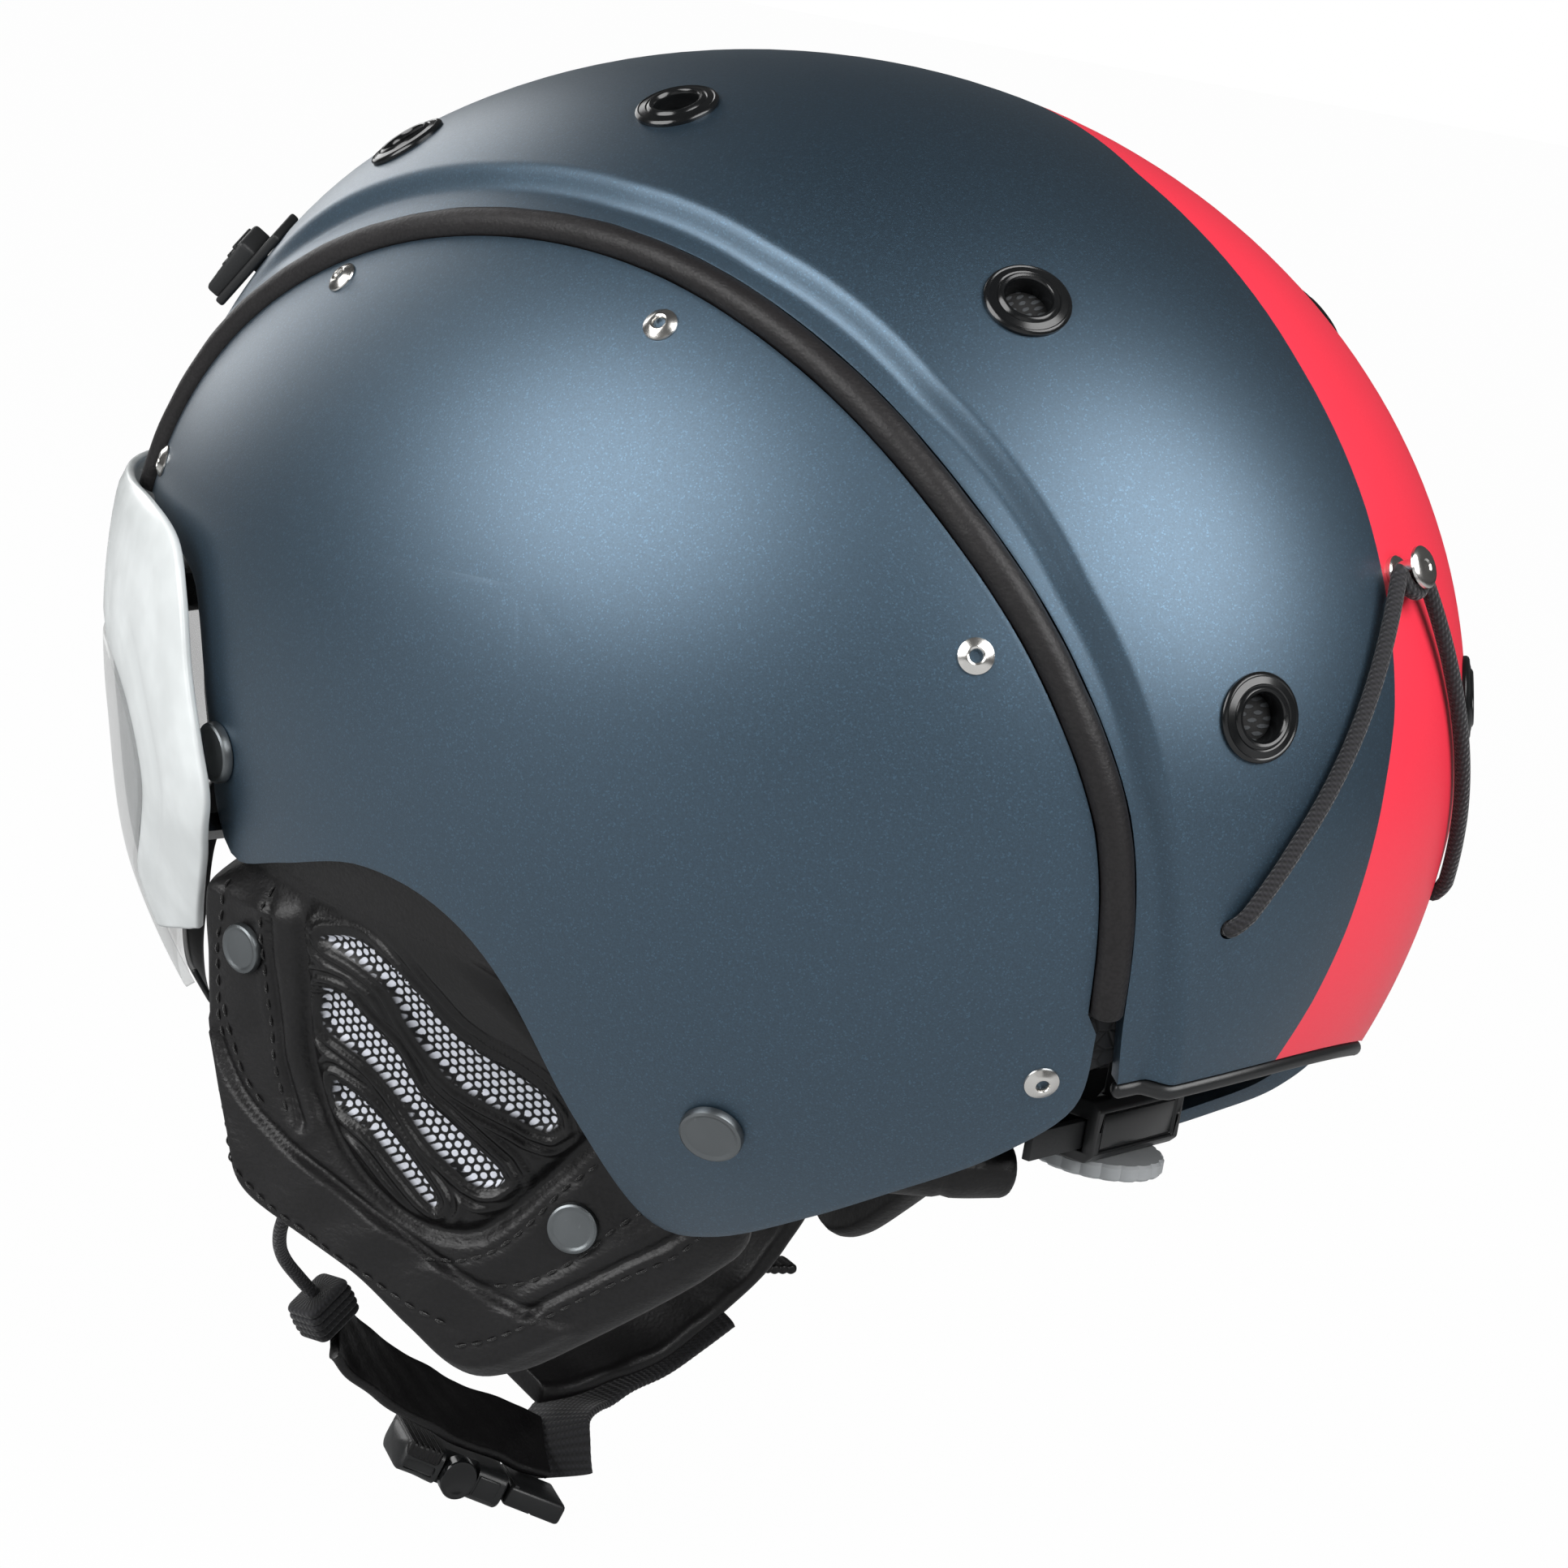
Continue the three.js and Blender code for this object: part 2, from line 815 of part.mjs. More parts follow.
function middleRise(way) {
  const [lean, turn] = leanAndTurn(way);
  const inside = along(CREASE, turn) - Math.abs(lean) + STEP_HALF_LEAN;
  return STEP * stepShare(turn) * smooth(inside / (STEP_HALF_LEAN + STEP_HALF_LEAN));
}

// Middle of the shell, from brow to nape.
const middleStations = samples(SEAM_STEPS + 2);
const middleWays = middleStations.map((share) => {
  const foot = besideSeam(share, -TRIM_RADIUS - GAP);
  const [footLean, footTurn] = leanAndTurn(foot);
  const crease = along(CREASE, footTurn);
  const leans = [footLean, footLean - 0.7, crease + STEP_HALF_LEAN, crease - STEP_HALF_LEAN];
  for (const inner of samples(4).slice(1)) {
    leans.push((crease - STEP_HALF_LEAN) * (1 - inner));
  }
  const bow = REAR_BOW * share ** BOW_POWER + BROW_BOW * (1 - share) ** BOW_POWER;
  const half = leans.map((lean) => overWay(lean, footTurn + bow * (1 - (lean / footLean) ** 2)));
  return [...half, ...half.slice(0, -1).reverse().map(flipped)];
});
const edgeColumns = (row) => [0, row.length - 1];
const middleOuter = middleWays.map((row, i) => row.map((way, j) => {
  const onEdge = edgeColumns(row).includes(j) || i === 0 || i === middleWays.length - 1;
  return shell.at(way, middleRise(way) - (onEdge ? EDGE_ROUND : 0));
}));
const middleInner = middleWays.map((row) => row.map((way) => {
  return shell.at(way, middleRise(way) - SHELL_WALL);
}));

const ventWays = {};
for (const [name, [lean, turn]] of Object.entries(VENTS)) {
  ventWays[`${name}_left`] = overWay(lean, turn);
  ventWays[`${name}_right`] = flipped(overWay(lean, turn));
}
const buttonWay = overWay(0, BUTTON_TURN);
const cordHoleWays = [overWay(...CORD_HOLE), flipped(overWay(...CORD_HOLE))];
const sliderWays = { left: overWay(...SLIDER_PLACE), right: flipped(overWay(...SLIDER_PLACE)) };

// A frame on the middle of the shell: its Y points out, its Z along the slide.
function surfaceFrame(way, rise) {
  const out = shell.normal(way);
  const across = new Vector3().crossVectors(out, LATHE_AXIS).negate().normalize();
  const level = new Vector3(Math.sign(across.x) * across.x, 0, 0);
  const slide = new Vector3().crossVectors(level.lengthSq() > 0 ? SIDEWAYS : across, out);
  slide.normalize();
  const side = new Vector3().crossVectors(out, slide);
  const turn = new THREE.Matrix4().makeBasis(side, out, slide);
  return turn.setPosition(shell.at(way, rise));
}

const deep = SHELL_WALL + STEP;
const middleTools = Object.values(ventWays).map((way) => {
  return pin(way, VENT_BARREL_RADIUS + GAP, VENT_SIDES, -deep, deep + deep);
});
middleTools.push(pin(buttonWay, BUTTON_NECK_RADIUS + GAP, RIVET_SIDES, -deep, deep + deep));
for (const way of cordHoleWays) {
  middleTools.push(pin(way, CORD_RADIUS + GAP, RIVET_SIDES, -deep, deep + deep));
}
for (const way of Object.values(sliderWays)) {
  const reach = SLIDER_STEM + SLIDER_TRAVEL + GAP;
  const wide = SLIDER_STEM + GAP;
  const slot = box([-wide, -deep, -reach], [wide, deep, reach]);
  middleTools.push(slot.applyMatrix4(surfaceFrame(way, 0)));
}
add('centre_shell', cut(skin(middleOuter, middleInner), middleTools), 'shell');

// Side panels.
const panelUpper = samples(SEAM_STEPS).map((share) => {
  return sideShares(besideSeam(share * TRIM_END_SHARE, TRIM_RADIUS + GAP));
});
const panelEdge = spline(PANEL_EDGE_SHARES);
const panelLower = samples(PANEL_EDGE_STEPS).map((share) => {
  const { x, y } = panelEdge.getPointAt(share);
  return [x, y];
});
const panelLoop = [...panelUpper, ...panelLower];

function panelWay([p, q], share) {
  const [p0, q0] = PANEL_MIDDLE_SHARES;
  return sideWay(blend(p0, p, share), blend(q0, q, share));
}
const panelOuter = PANEL_RING_SHARES.map((share) => panelLoop.map((place) => {
  return shell.at(panelWay(place, share), share === 1 ? -EDGE_ROUND : 0);
}));
const panelInner = PANEL_RING_SHARES.map((share) => panelLoop.map((place) => {
  return shell.at(panelWay(place, share), -SHELL_WALL);
}));
const panelTools = Object.values(RIVETS).map(([p, q]) => {
  return pin(sideWay(p, q), RIVET_SHANK_RADIUS + GAP, RIVET_SIDES, -deep, deep);
});
for (const [p, q] of [PANEL_STUD_SHARES, GUIDE_STUD_SHARES]) {
  panelTools.push(pin(sideWay(p, q), STUD_SHANK_RADIUS + GAP, RIVET_SIDES, -deep, deep));
}
addPair('side_panel', cut(skin(panelOuter, panelInner, true), panelTools), 'shell');

// Padded trim along the seams, flat where it rests on the foam.
const trimWays = samples(SEAM_STEPS).map((share) => seamWay(share * TRIM_END_SHARE));
const trimStations = stationsAlong(
  trimWays.map((way) => shell.at(way, -TRIM_SINK)),
  trimWays.map((way) => shell.normal(way)),
);
const trimFloor = TRIM_SINK - SHELL_WALL;
const trimSection = roundSection(TRIM_RADIUS, 10).map(([across, height]) => {
  return [across, Math.max(height, trimFloor)];
});
addPair('trim_arc', sweep(trimStations, trimSection), 'trim');

// Soft edging under the brow and along the rear rim of the middle.
function rimStations(row, drop) {
  const inside = row.slice(1, -1);
  return stationsAlong(
    inside.map((way) => shell.at(way, middleRise(way) - RIM_RADIUS).addScaledVector(UPWARD, -drop)),
    inside.map((way) => shell.normal(way)),
  );
}
const rimDrop = RIM_RADIUS + GAP + GAP;
const rimSection = roundSection(RIM_RADIUS, 6);
add('brow_trim', sweep(rimStations(middleWays[0], rimDrop), rimSection), 'trim');
add('rear_rim_trim', sweep(rimStations(middleWays.at(-1), rimDrop), rimSection), 'pale');

// Foam liner and the padding inside it share one set of directions.
function linerRise(way) {
  const [lean, turn] = leanAndTurn(way);
  const inside = along(CREASE, turn) - LINER_STEP_SETBACK - Math.abs(lean);
  const raised = STEP * stepShare(turn) * smooth(inside / LINER_STEP_SPREAD);
  return raised - SHELL_WALL - FACET_DIP - GAP;
}
const linerTurns = samples(LINER_COLUMNS).slice(0, LINER_COLUMNS).map((share) => 360 * share);
const linerWays = LINER_ROW_SHARES.map((share) => linerTurns.map((turn) => {
  const rim = along(LINER_RIM, Math.min(turn, 360 - turn));
  return roundWay(turn, blend(90, rim, share));
}));
const linerOuter = linerWays.map((row) => row.map((way) => shell.at(way, linerRise(way))));
const foamRise = PADDING_WALL + GAP;
const linerInner = linerWays.map((row) => row.map((way) => head.at(way, foamRise)));
const linerTools = Object.values(ventWays).map((way) => {
  return pin(way, VENT_CHANNEL_RADIUS, RIVET_SIDES, -VENT_CHANNEL_DEPTH, deep);
});
const slotStations = samples(ARM_STEPS).map((share) => {
  const angle = blend(ARM_FROM, ARM_TO + VISOR_LIFT + 2, share);
  const out = new Vector3(0, -Math.cos(radians(angle)), Math.sin(radians(angle)));
  return { at: new Vector3(), side: SIDEWAYS, up: out };
});
const slotSection = [
  [SLOT_FLOOR_X, armInnerRadius - RUN_CLEARANCE],
  [HALF_WIDTH, armInnerRadius - RUN_CLEARANCE],
  [HALF_WIDTH, armRimRadius + RUN_CLEARANCE],
  [SLOT_FLOOR_X, armRimRadius + RUN_CLEARANCE],
];
const slot = sweep(slotStations, slotSection);
linerTools.push(slot, mirrored(slot));
add('foam_liner', cut(skin(linerOuter, linerInner, true), linerTools), 'foam');

const paddingWays = linerWays.slice(0, -1);
const paddingOuter = paddingWays.map((row) => row.map((way) => head.at(way, PADDING_WALL)));
const paddingInner = paddingWays.map((row) => row.map((way) => head.at(way)));
add('comfort_liner', skin(paddingOuter, paddingInner, true), 'lining');

// Vent grommets.
const ventProfile = [
  [VENT_BORE_RADIUS, -SHELL_WALL],
  [VENT_BARREL_RADIUS, -SHELL_WALL],
  [VENT_BARREL_RADIUS, GAP],
  [VENT_FLANGE_RADIUS, GAP],
  [VENT_FLANGE_RADIUS - GAP, VENT_PROUD / 2],
  [VENT_BARREL_RADIUS, VENT_PROUD],
  [VENT_BORE_RADIUS, VENT_PROUD - GAP],
  [VENT_BORE_RADIUS, -SHELL_WALL],
];
const ventBody = lathe(ventProfile, VENT_SIDES);
for (const [name, way] of Object.entries(ventWays)) {
  add(`vent_grommet_${name}`, ventBody, 'gloss', shell.at(way, middleRise(way)), shell.normal(way));
}

// Rivets, press studs and the studs that guard the ends of the visor arms.
const rivetProfile = [
  [RIVET_BORE_RADIUS, -SHELL_WALL + GAP],
  [RIVET_SHANK_RADIUS, -SHELL_WALL + GAP],
  [RIVET_SHANK_RADIUS, GAP],
  [RIVET_RADIUS, GAP],
  [RIVET_SHANK_RADIUS, RIVET_PROUD],
  [RIVET_BORE_RADIUS, RIVET_PROUD - GAP],
  [RIVET_BORE_RADIUS, -SHELL_WALL + GAP],
];
const rivetBody = lathe(rivetProfile, RIVET_SIDES);
function studProfile(radius, proud, depth) {
  return [
    [0, -depth],
    [STUD_SHANK_RADIUS, -depth],
    [STUD_SHANK_RADIUS, GAP],
    [radius, GAP],
    [radius, proud / 2],
    [radius - GAP - GAP, proud],
    [0, proud],
  ];
}
const studBody = lathe(studProfile(STUD_RADIUS, STUD_PROUD, SHELL_WALL - GAP), STUD_SIDES);
for (const [side, turned] of [['left', (way) => way], ['right', flipped]]) {
  for (const [name, [p, q]] of Object.entries(RIVETS)) {
    const way = turned(sideWay(p, q));
    add(`rivet_${name}_${side}`, rivetBody, 'nickel', shell.at(way), shell.normal(way));
  }
  const studWay = turned(sideWay(...PANEL_STUD_SHARES));
  add(`panel_stud_${side}`, studBody, 'gunmetal', shell.at(studWay), shell.normal(studWay));
  const guideWay = turned(sideWay(...GUIDE_STUD_SHARES));
  add(`guide_stud_${side}`, studBody, 'gunmetal', shell.at(guideWay), shell.normal(guideWay));
}

// Strap button and the stretch cord over it.
const buttonProfile = [
  [0, -SHELL_WALL],
  [BUTTON_NECK_RADIUS, -SHELL_WALL],
  [BUTTON_NECK_RADIUS, GAP],
  [BUTTON_FOOT_RADIUS, GAP],
  [BUTTON_FOOT_RADIUS, BUTTON_FOOT_HEIGHT],
  [BUTTON_NECK_RADIUS, BUTTON_FOOT_HEIGHT],
  [BUTTON_NECK_RADIUS, BUTTON_NECK_HEIGHT],
  [BUTTON_RADIUS, BUTTON_NECK_HEIGHT],
  [BUTTON_RADIUS, BUTTON_HEIGHT],
  [0, BUTTON_HEIGHT],
];
const buttonFoot = shell.at(buttonWay, middleRise(buttonWay));
const buttonOut = shell.normal(buttonWay);
add('strap_button', lathe(buttonProfile, STUD_SIDES), 'nickel', buttonFoot, buttonOut);

const buttonUp = new Vector3().crossVectors(SIDEWAYS, buttonOut).negate();
const cordRest = CORD_RADIUS + GAP;
const loopReach = BUTTON_NECK_RADIUS + cordRest;
const loopHeight = BUTTON_FOOT_HEIGHT + cordRest + GAP;
const loopPoints = samples(4).slice(1, -1).map((share) => {
  const angle = radians(180 * share);
  const point = buttonFoot.clone().addScaledVector(buttonOut, loopHeight);
  point.addScaledVector(SIDEWAYS, loopReach * Math.cos(angle));
  return point.addScaledVector(buttonUp, loopReach * Math.sin(angle));
});
const loopSide = degrees(Math.asin(loopReach / HALF_WIDTH));
const cordHalf = samples(CORD_STEPS).map((share) => {
  const lean = blend(CORD_HOLE[0], loopSide, share);
  const way = overWay(lean, blend(CORD_HOLE[1], BUTTON_TURN, share));
  const lift = cordRest + (loopHeight - cordRest) * share ** 4 + GAP;
  return shell.at(way, middleRise(way) + (share === 0 ? CORD_RADIUS / 2 : lift));
});
const holeWay = cordHoleWays[0];
cordHalf.unshift(shell.at(holeWay, middleRise(holeWay) - CORD_HOLE_DEPTH));
const cordFar = cordHalf.map((point) => new Vector3(-point.x, point.y, point.z)).reverse();
const cordPoints = [...cordHalf, ...loopPoints, ...cordFar];
const cordUps = cordPoints.map((point) => shell.normal(shell.wayTo(point)));
const bendUp = new Vector3(0, 0, 1);
cordUps[0] = bendUp;
cordUps[cordUps.length - 1] = bendUp;
const cordBody = sweep(stationsAlong(cordPoints, cordUps), roundSection(CORD_RADIUS, CORD_SIDES));
add('elastic_cord', cordBody, 'web');

// Forehead vent sliders.
const sliderBase = box(
  [-SLIDER_HALF_WIDTH, GAP, -SLIDER_HALF_LENGTH],
  [SLIDER_HALF_WIDTH, GAP + SLIDER_WALL, SLIDER_HALF_LENGTH],
);
const gripShape = new THREE.Shape();
const gripTop = GAP + SLIDER_WALL + SLIDER_GRIP;
gripShape.moveTo(SLIDER_HALF_LENGTH, SLIDER_WALL);
gripShape.lineTo(SLIDER_HALF_LENGTH - SLIDER_WALL, gripTop - SLIDER_WALL);
gripShape.lineTo(-SLIDER_GRIP_FROM + SLIDER_WALL, gripTop);
gripShape.lineTo(-SLIDER_GRIP_FROM, SLIDER_WALL);
gripShape.closePath();
const gripWidth = SLIDER_HALF_WIDTH + SLIDER_HALF_WIDTH - SLIDER_WALL;
const grip = new THREE.ExtrudeGeometry(gripShape, { depth: gripWidth, bevelEnabled: false });
grip.rotateY(radians(-90)).translate(gripWidth / 2, 0, 0);
const sliderStem = box([-SLIDER_STEM, -SHELL_WALL + GAP, -SLIDER_STEM], [SLIDER_STEM, SLIDER_WALL, SLIDER_STEM]);
const sliderBody = join([sliderBase, solidReady(grip), sliderStem]);

function solidReady(geometry) {
  const bare = geometry.clone();
  bare.deleteAttribute('normal');
  bare.deleteAttribute('uv');
  return mergeVertices(bare, WELD);
}
for (const [side, way] of Object.entries(sliderWays)) {
  const mesh = add(`vent_slider_${side}`, sliderBody, 'matte');
  mesh.applyMatrix4(surfaceFrame(way, middleRise(way)));
}

// Visor. Its rise above the dome grows towards the low middle of the lens.
function visorRise(turn, height) {
  const low = smooth((-height - BULGE_FROM) / BULGE_OVER);
  const middle = smooth((BULGE_TURN - Math.abs(turn)) / BULGE_TURN_OVER);
  return VISOR_RISE + VISOR_BULGE * low * middle;
}

function visorSheets(rows, depth, wall) {
  const outer = rows.map((row) => row.map(([turn, height]) => {
    return shell.at(roundWay(turn, height), visorRise(turn, height) - depth);
  }));
  const inner = rows.map((row) => row.map(([turn, height]) => {
    return shell.at(roundWay(turn, height), visorRise(turn, height) - depth - wall);
  }));
  return skin(outer, inner);
}

function bothWays(half) {
  return [...half, ...half.slice(0, -1).reverse().map(([turn, height]) => [-turn, height])];
}
const frameOuterEdge = spline(FRAME_OUTER);
const frameInnerEdge = spline(FRAME_INNER);
const frameHalf = samples(FRAME_STEPS).map((share) => {
  const outerPoint = frameOuterEdge.getPoint(share);
  const innerPoint = frameInnerEdge.getPoint(share);
  return [outerPoint, innerPoint];
});
const frameRows = samples(FRAME_BANDS).map((band) => bothWays(frameHalf.map(([a, b]) => {
  return [blend(a.x, b.x, band), blend(a.y, b.y, band)];
})));
add('visor_frame', visorSheets(frameRows, 0, VISOR_WALL), 'frame');

// Edge of the opening, moved towards the frame by some degrees, or away from it if negative.
function openingPlace(share, outward) {
  const place = frameInnerEdge.getPoint(share);
  const tangent = frameInnerEdge.getTangent(share);
  return new Vector2(place.x + tangent.y * outward, place.y - tangent.x * outward);
}

// The lens fills the opening: a top edge, two sides and a low edge that arches over the nose.
const cornerShare = 1 / 2;
const lensLow = spline(LENS_LOW_EDGE);
function lensTop(across) {
  const place = openingPlace(1 - (1 - cornerShare) * across, -LENS_MARGIN);
  return across === 0 ? new Vector2(0, place.y) : place;
}
function lensSide(row) {
  if (row === LENS_ROWS) {
    return lensLow.getPoint(0);
  }
  return openingPlace(cornerShare * (1 - row / (LENS_ROWS - 1)), -LENS_MARGIN);
}
const lensCorners = [lensTop(1), lensLow.getPoint(0)];
function lensPlace(across, row) {
  const down = row / LENS_ROWS;
  const inside = lensTop(across).lerp(lensLow.getPoint(1 - across), down);
  const shift = lensSide(row).sub(lensCorners[0].clone().lerp(lensCorners[1], down));
  return inside.addScaledVector(shift, across).toArray();
}
const lensRows = samples(LENS_ROWS).map((share) => bothWays(
  samples(LENS_STEPS).reverse().map((across) => lensPlace(across, share * LENS_ROWS)),
));
add('visor_lens', visorSheets(lensRows, 0, VISOR_WALL), 'lens');

// Gasket behind the joint of frame and lens, and the nose edging under the lens.
const gasketDepth = VISOR_WALL + GAP + GAP / 2;
const gasketRows = [1, -1].map((side) => bothWays(samples(FRAME_STEPS).map((share) => {
  const place = openingPlace(share, side * GASKET_HALF_WIDTH - LENS_MARGIN / 2);
  return [share === 1 ? 0 : place.x, place.y];
})));
add('visor_gasket', visorSheets(gasketRows, gasketDepth, GASKET_WALL), 'gloss');

const noseHalf = samples(LENS_STEPS + 3).map((share) => {
  const place = lensLow.getPoint(share);
  const tangent = lensLow.getTangent(share);
  return [place, new Vector2(-tangent.y, tangent.x)];
});
const noseRows = [-1, 1].map((side) => bothWays(noseHalf.map(([place, across]) => {
  const reach = side > 0 ? NOSE_WIDTH / 2 : 1;
  const turn = Math.max(0, place.x + across.x * side * reach);
  return [turn, place.y + across.y * side * reach];
})));
add('nose_guard', visorSheets(noseRows, gasketDepth, GASKET_WALL), 'gloss');

// Arms behind the panels, each with a link out to the inside of the frame.
function armPoint(radius, angle, depth) {
  const y = -radius * Math.cos(radians(angle));
  const z = radius * Math.sin(radians(angle));
  return new Vector3(HALF_WIDTH * Math.sqrt(1 - (radius / UNDER) ** 2) - depth, y, z);
}
const armAngles = samples(ARM_STEPS).map((share) => blend(ARM_FROM, ARM_TO, share));
const armRadii = samples(3).map((share) => blend(armInnerRadius, armRimRadius, share));
const armSheets = [ARM_DEPTH, ARM_DEPTH + ARM_WALL].map((depth) => armRadii.map((radius) => {
  return armAngles.map((angle) => armPoint(radius, angle, depth));
}));
const linkAngles = samples(2).map((share) => blend(ARM_FROM, LINK_TO, share));
const linkRadii = [linkInnerRadius, linkOuterRadius];
const linkInner = linkRadii.map((radius) => linkAngles.map((angle) => {
  return armPoint(radius, angle, ARM_DEPTH + ARM_WALL);
}));
const linkOuter = linkInner.map((row) => row.map((point) => {
  const rise = VISOR_RISE - VISOR_WALL - GAP;
  return new Vector3(shell.sideOver(point.y, point.z, rise), point.y, point.z);
}));
addPair('visor_arm', join([skin(...armSheets), skin(linkOuter, linkInner)]), 'gloss');

// Ear pads.
function padX(y, z) {
  const top = PAD_TOP_X - ((y - PAD_TOP_MIDDLE_Y) ** 2) / (PAD_TOP_SPREAD + PAD_TOP_SPREAD);
  const reachY = ((y - PAD_LOW_MIDDLE_Y) ** 2) / (PAD_LOW_SPREAD_Y + PAD_LOW_SPREAD_Y);
  const reachZ = ((z - PAD_LOW_MIDDLE_Z) ** 2) / (PAD_LOW_SPREAD_Z + PAD_LOW_SPREAD_Z);
  const low = PAD_LOW_X - reachY - reachZ;
  const open = blend(top, low, smooth((PAD_BEND_FROM_Z - z) / PAD_BEND_DROP));
  if (z < PAD_TUCK_Z) {
    return open;
  }
  const tucked = shell.sideOver(y, z, -SHELL_WALL - FACET_DIP - GAP);
  return blend(open, tucked, smooth((z - PAD_TUCK_Z) / PAD_TUCK_DROP));
}
const padCurve = new THREE.CatmullRomCurve3(PAD_OUTLINE.map(([y, z]) => new Vector3(0, y, z)), true);
const padLoop = padCurve.getPoints(PAD_OUTLINE.length + 4).slice(0, -1);
function padSheet(shares, sinkOf) {
  const [y0, z0] = PAD_MIDDLE;
  return shares.map((share, i) => padLoop.map((edge) => {
    const y = blend(y0, edge.y, share);
    const z = blend(z0, edge.z, share);
    return new Vector3(padX(y, z) - sinkOf(share, i), y, z);
  }));
}
const padOuter = padSheet(PAD_RING_SHARES, (share, i) => PAD_RING_SINKS[i]);
const padInner = padSheet(PAD_BACK_SHARES, (share) => {
  const crown = PAD_WALL + PAD_CROWN * (1 - share * share);
  return blend(crown, PAD_RING_SINKS.at(-1) + PAD_SIDE, smooth((share - 0.7) / 0.3));
});
const windowTools = WINDOWS.map((knots) => {
  const points = knots.map(([y, z]) => new Vector3(padX(y, z), y, z));
  const wide = WINDOW_HALF_WIDTH;
  const floor = -WINDOW_DEPTH;
  const section = [[-wide, floor], [wide, floor], [wide, WINDOW_DEPTH], [-wide, WINDOW_DEPTH]];
  return sweep(stationsAlong(points, points.map(() => SIDEWAYS)), section);
});
const padStudTools = Object.values(PAD_STUDS).map(([y, z]) => {
  const socket = new THREE.CylinderGeometry(STUD_SHANK_RADIUS + GAP, STUD_SHANK_RADIUS + GAP, deep, RIVET_SIDES);
  const x = padX(y, z);
  return socket.applyQuaternion(facing(padNormal(y, z))).translate(x, y, z);
});
function padNormal(y, z) {
  const small = PAD_STUD_RADIUS;
  const overY = (padX(y + small, z) - padX(y - small, z)) / (small + small);
  const overZ = (padX(y, z + small) - padX(y, z - small)) / (small + small);
  return new Vector3(1, -overY, -overZ).normalize();
}
const padBody = cut(skin(padOuter, padInner, true), [...windowTools, ...padStudTools]);

// The right pad is drawn in towards the chin by the fastened strap.
const padHinge = new Vector3(FAR_PAD_HINGE_X, 0, PAD_BEND_FROM_Z);
function rolledIn(geometry) {
  const copy = mirrored(geometry);
  copy.translate(padHinge.x, 0, -padHinge.z);
  copy.rotateY(radians(-FAR_PAD_ROLL));
  return copy.translate(-padHinge.x, 0, padHinge.z);
}
add('ear_pad_left', padBody, 'leather');
add('ear_pad_right', rolledIn(padBody), 'leather');
const padStudProfile = studProfile(PAD_STUD_RADIUS, PAD_STUD_PROUD, PAD_STUD_SINK);
for (const [name, [y, z]] of Object.entries(PAD_STUDS)) {
  const body = lathe(padStudProfile, STUD_SIDES);
  body.applyQuaternion(facing(padNormal(y, z))).translate(padX(y, z), y, z);
  const ready = solidReady(body);
  add(`ear_stud_${name}_left`, ready, 'gunmetal');
  add(`ear_stud_${name}_right`, rolledIn(ready), 'gunmetal');
}

// Neck pads.
const neckStations = route(NECK_ROUTE, 8, UPWARD);
addPair('neck_pad', sweep(neckStations, roundSection(NECK_RADIUS, NECK_SIDES)), 'leather');

// Fit housing at the nape, its dial and the two racks the dial drives.
const housingMiddleY = (HOUSING_FRONT_Y + HOUSING_REAR_Y) / 2;
const rackFloorZ = HOUSING_FOOT_Z + HOUSING_WALL + GAP;
const housingShape = new THREE.Shape();
housingShape.moveTo(HOUSING_FRONT_Y, HOUSING_TOP_Z - HOUSING_ROUND);
housingShape.lineTo(HOUSING_FRONT_Y + HOUSING_ROUND, HOUSING_TOP_Z);
housingShape.lineTo(HOUSING_REAR_Y - HOUSING_ROUND, HOUSING_TOP_Z);
housingShape.lineTo(HOUSING_REAR_Y, HOUSING_TOP_Z - HOUSING_ROUND);
housingShape.lineTo(HOUSING_REAR_Y, HOUSING_FOOT_Z + HOUSING_ROUND);
housingShape.lineTo(HOUSING_REAR_Y - HOUSING_ROUND, HOUSING_FOOT_Z);
housingShape.lineTo(HOUSING_FRONT_Y + HOUSING_ROUND, HOUSING_FOOT_Z);
housingShape.lineTo(HOUSING_FRONT_Y, HOUSING_FOOT_Z + HOUSING_ROUND);
housingShape.closePath();
const housingWidth = HOUSING_HALF_WIDTH + HOUSING_HALF_WIDTH;
const housingBlock = new THREE.ExtrudeGeometry(housingShape, { depth: housingWidth, bevelEnabled: false });
housingBlock.applyMatrix4(new THREE.Matrix4().makeBasis(LATHE_AXIS, UPWARD, SIDEWAYS));
housingBlock.translate(-HOUSING_HALF_WIDTH, 0, 0);
const rackRoom = SHAFT_RADIUS + GAP + RACK_WALL + GAP;
const rackPassage = box(
  [-HALF_WIDTH, housingMiddleY - rackRoom, rackFloorZ - GAP],
  [HALF_WIDTH, housingMiddleY + rackRoom, rackFloorZ + RACK_HEIGHT + GAP],
);
const plateRecess = box(
  [-HOUSING_HALF_WIDTH + PLATE_INSET, HOUSING_REAR_Y - PLATE_DEPTH, HOUSING_FOOT_Z + PLATE_INSET],
  [HOUSING_HALF_WIDTH - PLATE_INSET, HOUSING_REAR_Y + PLATE_DEPTH, HOUSING_TOP_Z - PLATE_INSET],
);
const bore = new THREE.CylinderGeometry(SHAFT_RADIUS + GAP, SHAFT_RADIUS + GAP, HOUSING_ROUND * 4, STUD_SIDES);
bore.rotateX(radians(90)).translate(0, housingMiddleY, HOUSING_FOOT_Z);
const housing = cut(solidReady(housingBlock), [rackPassage, plateRecess, bore]);

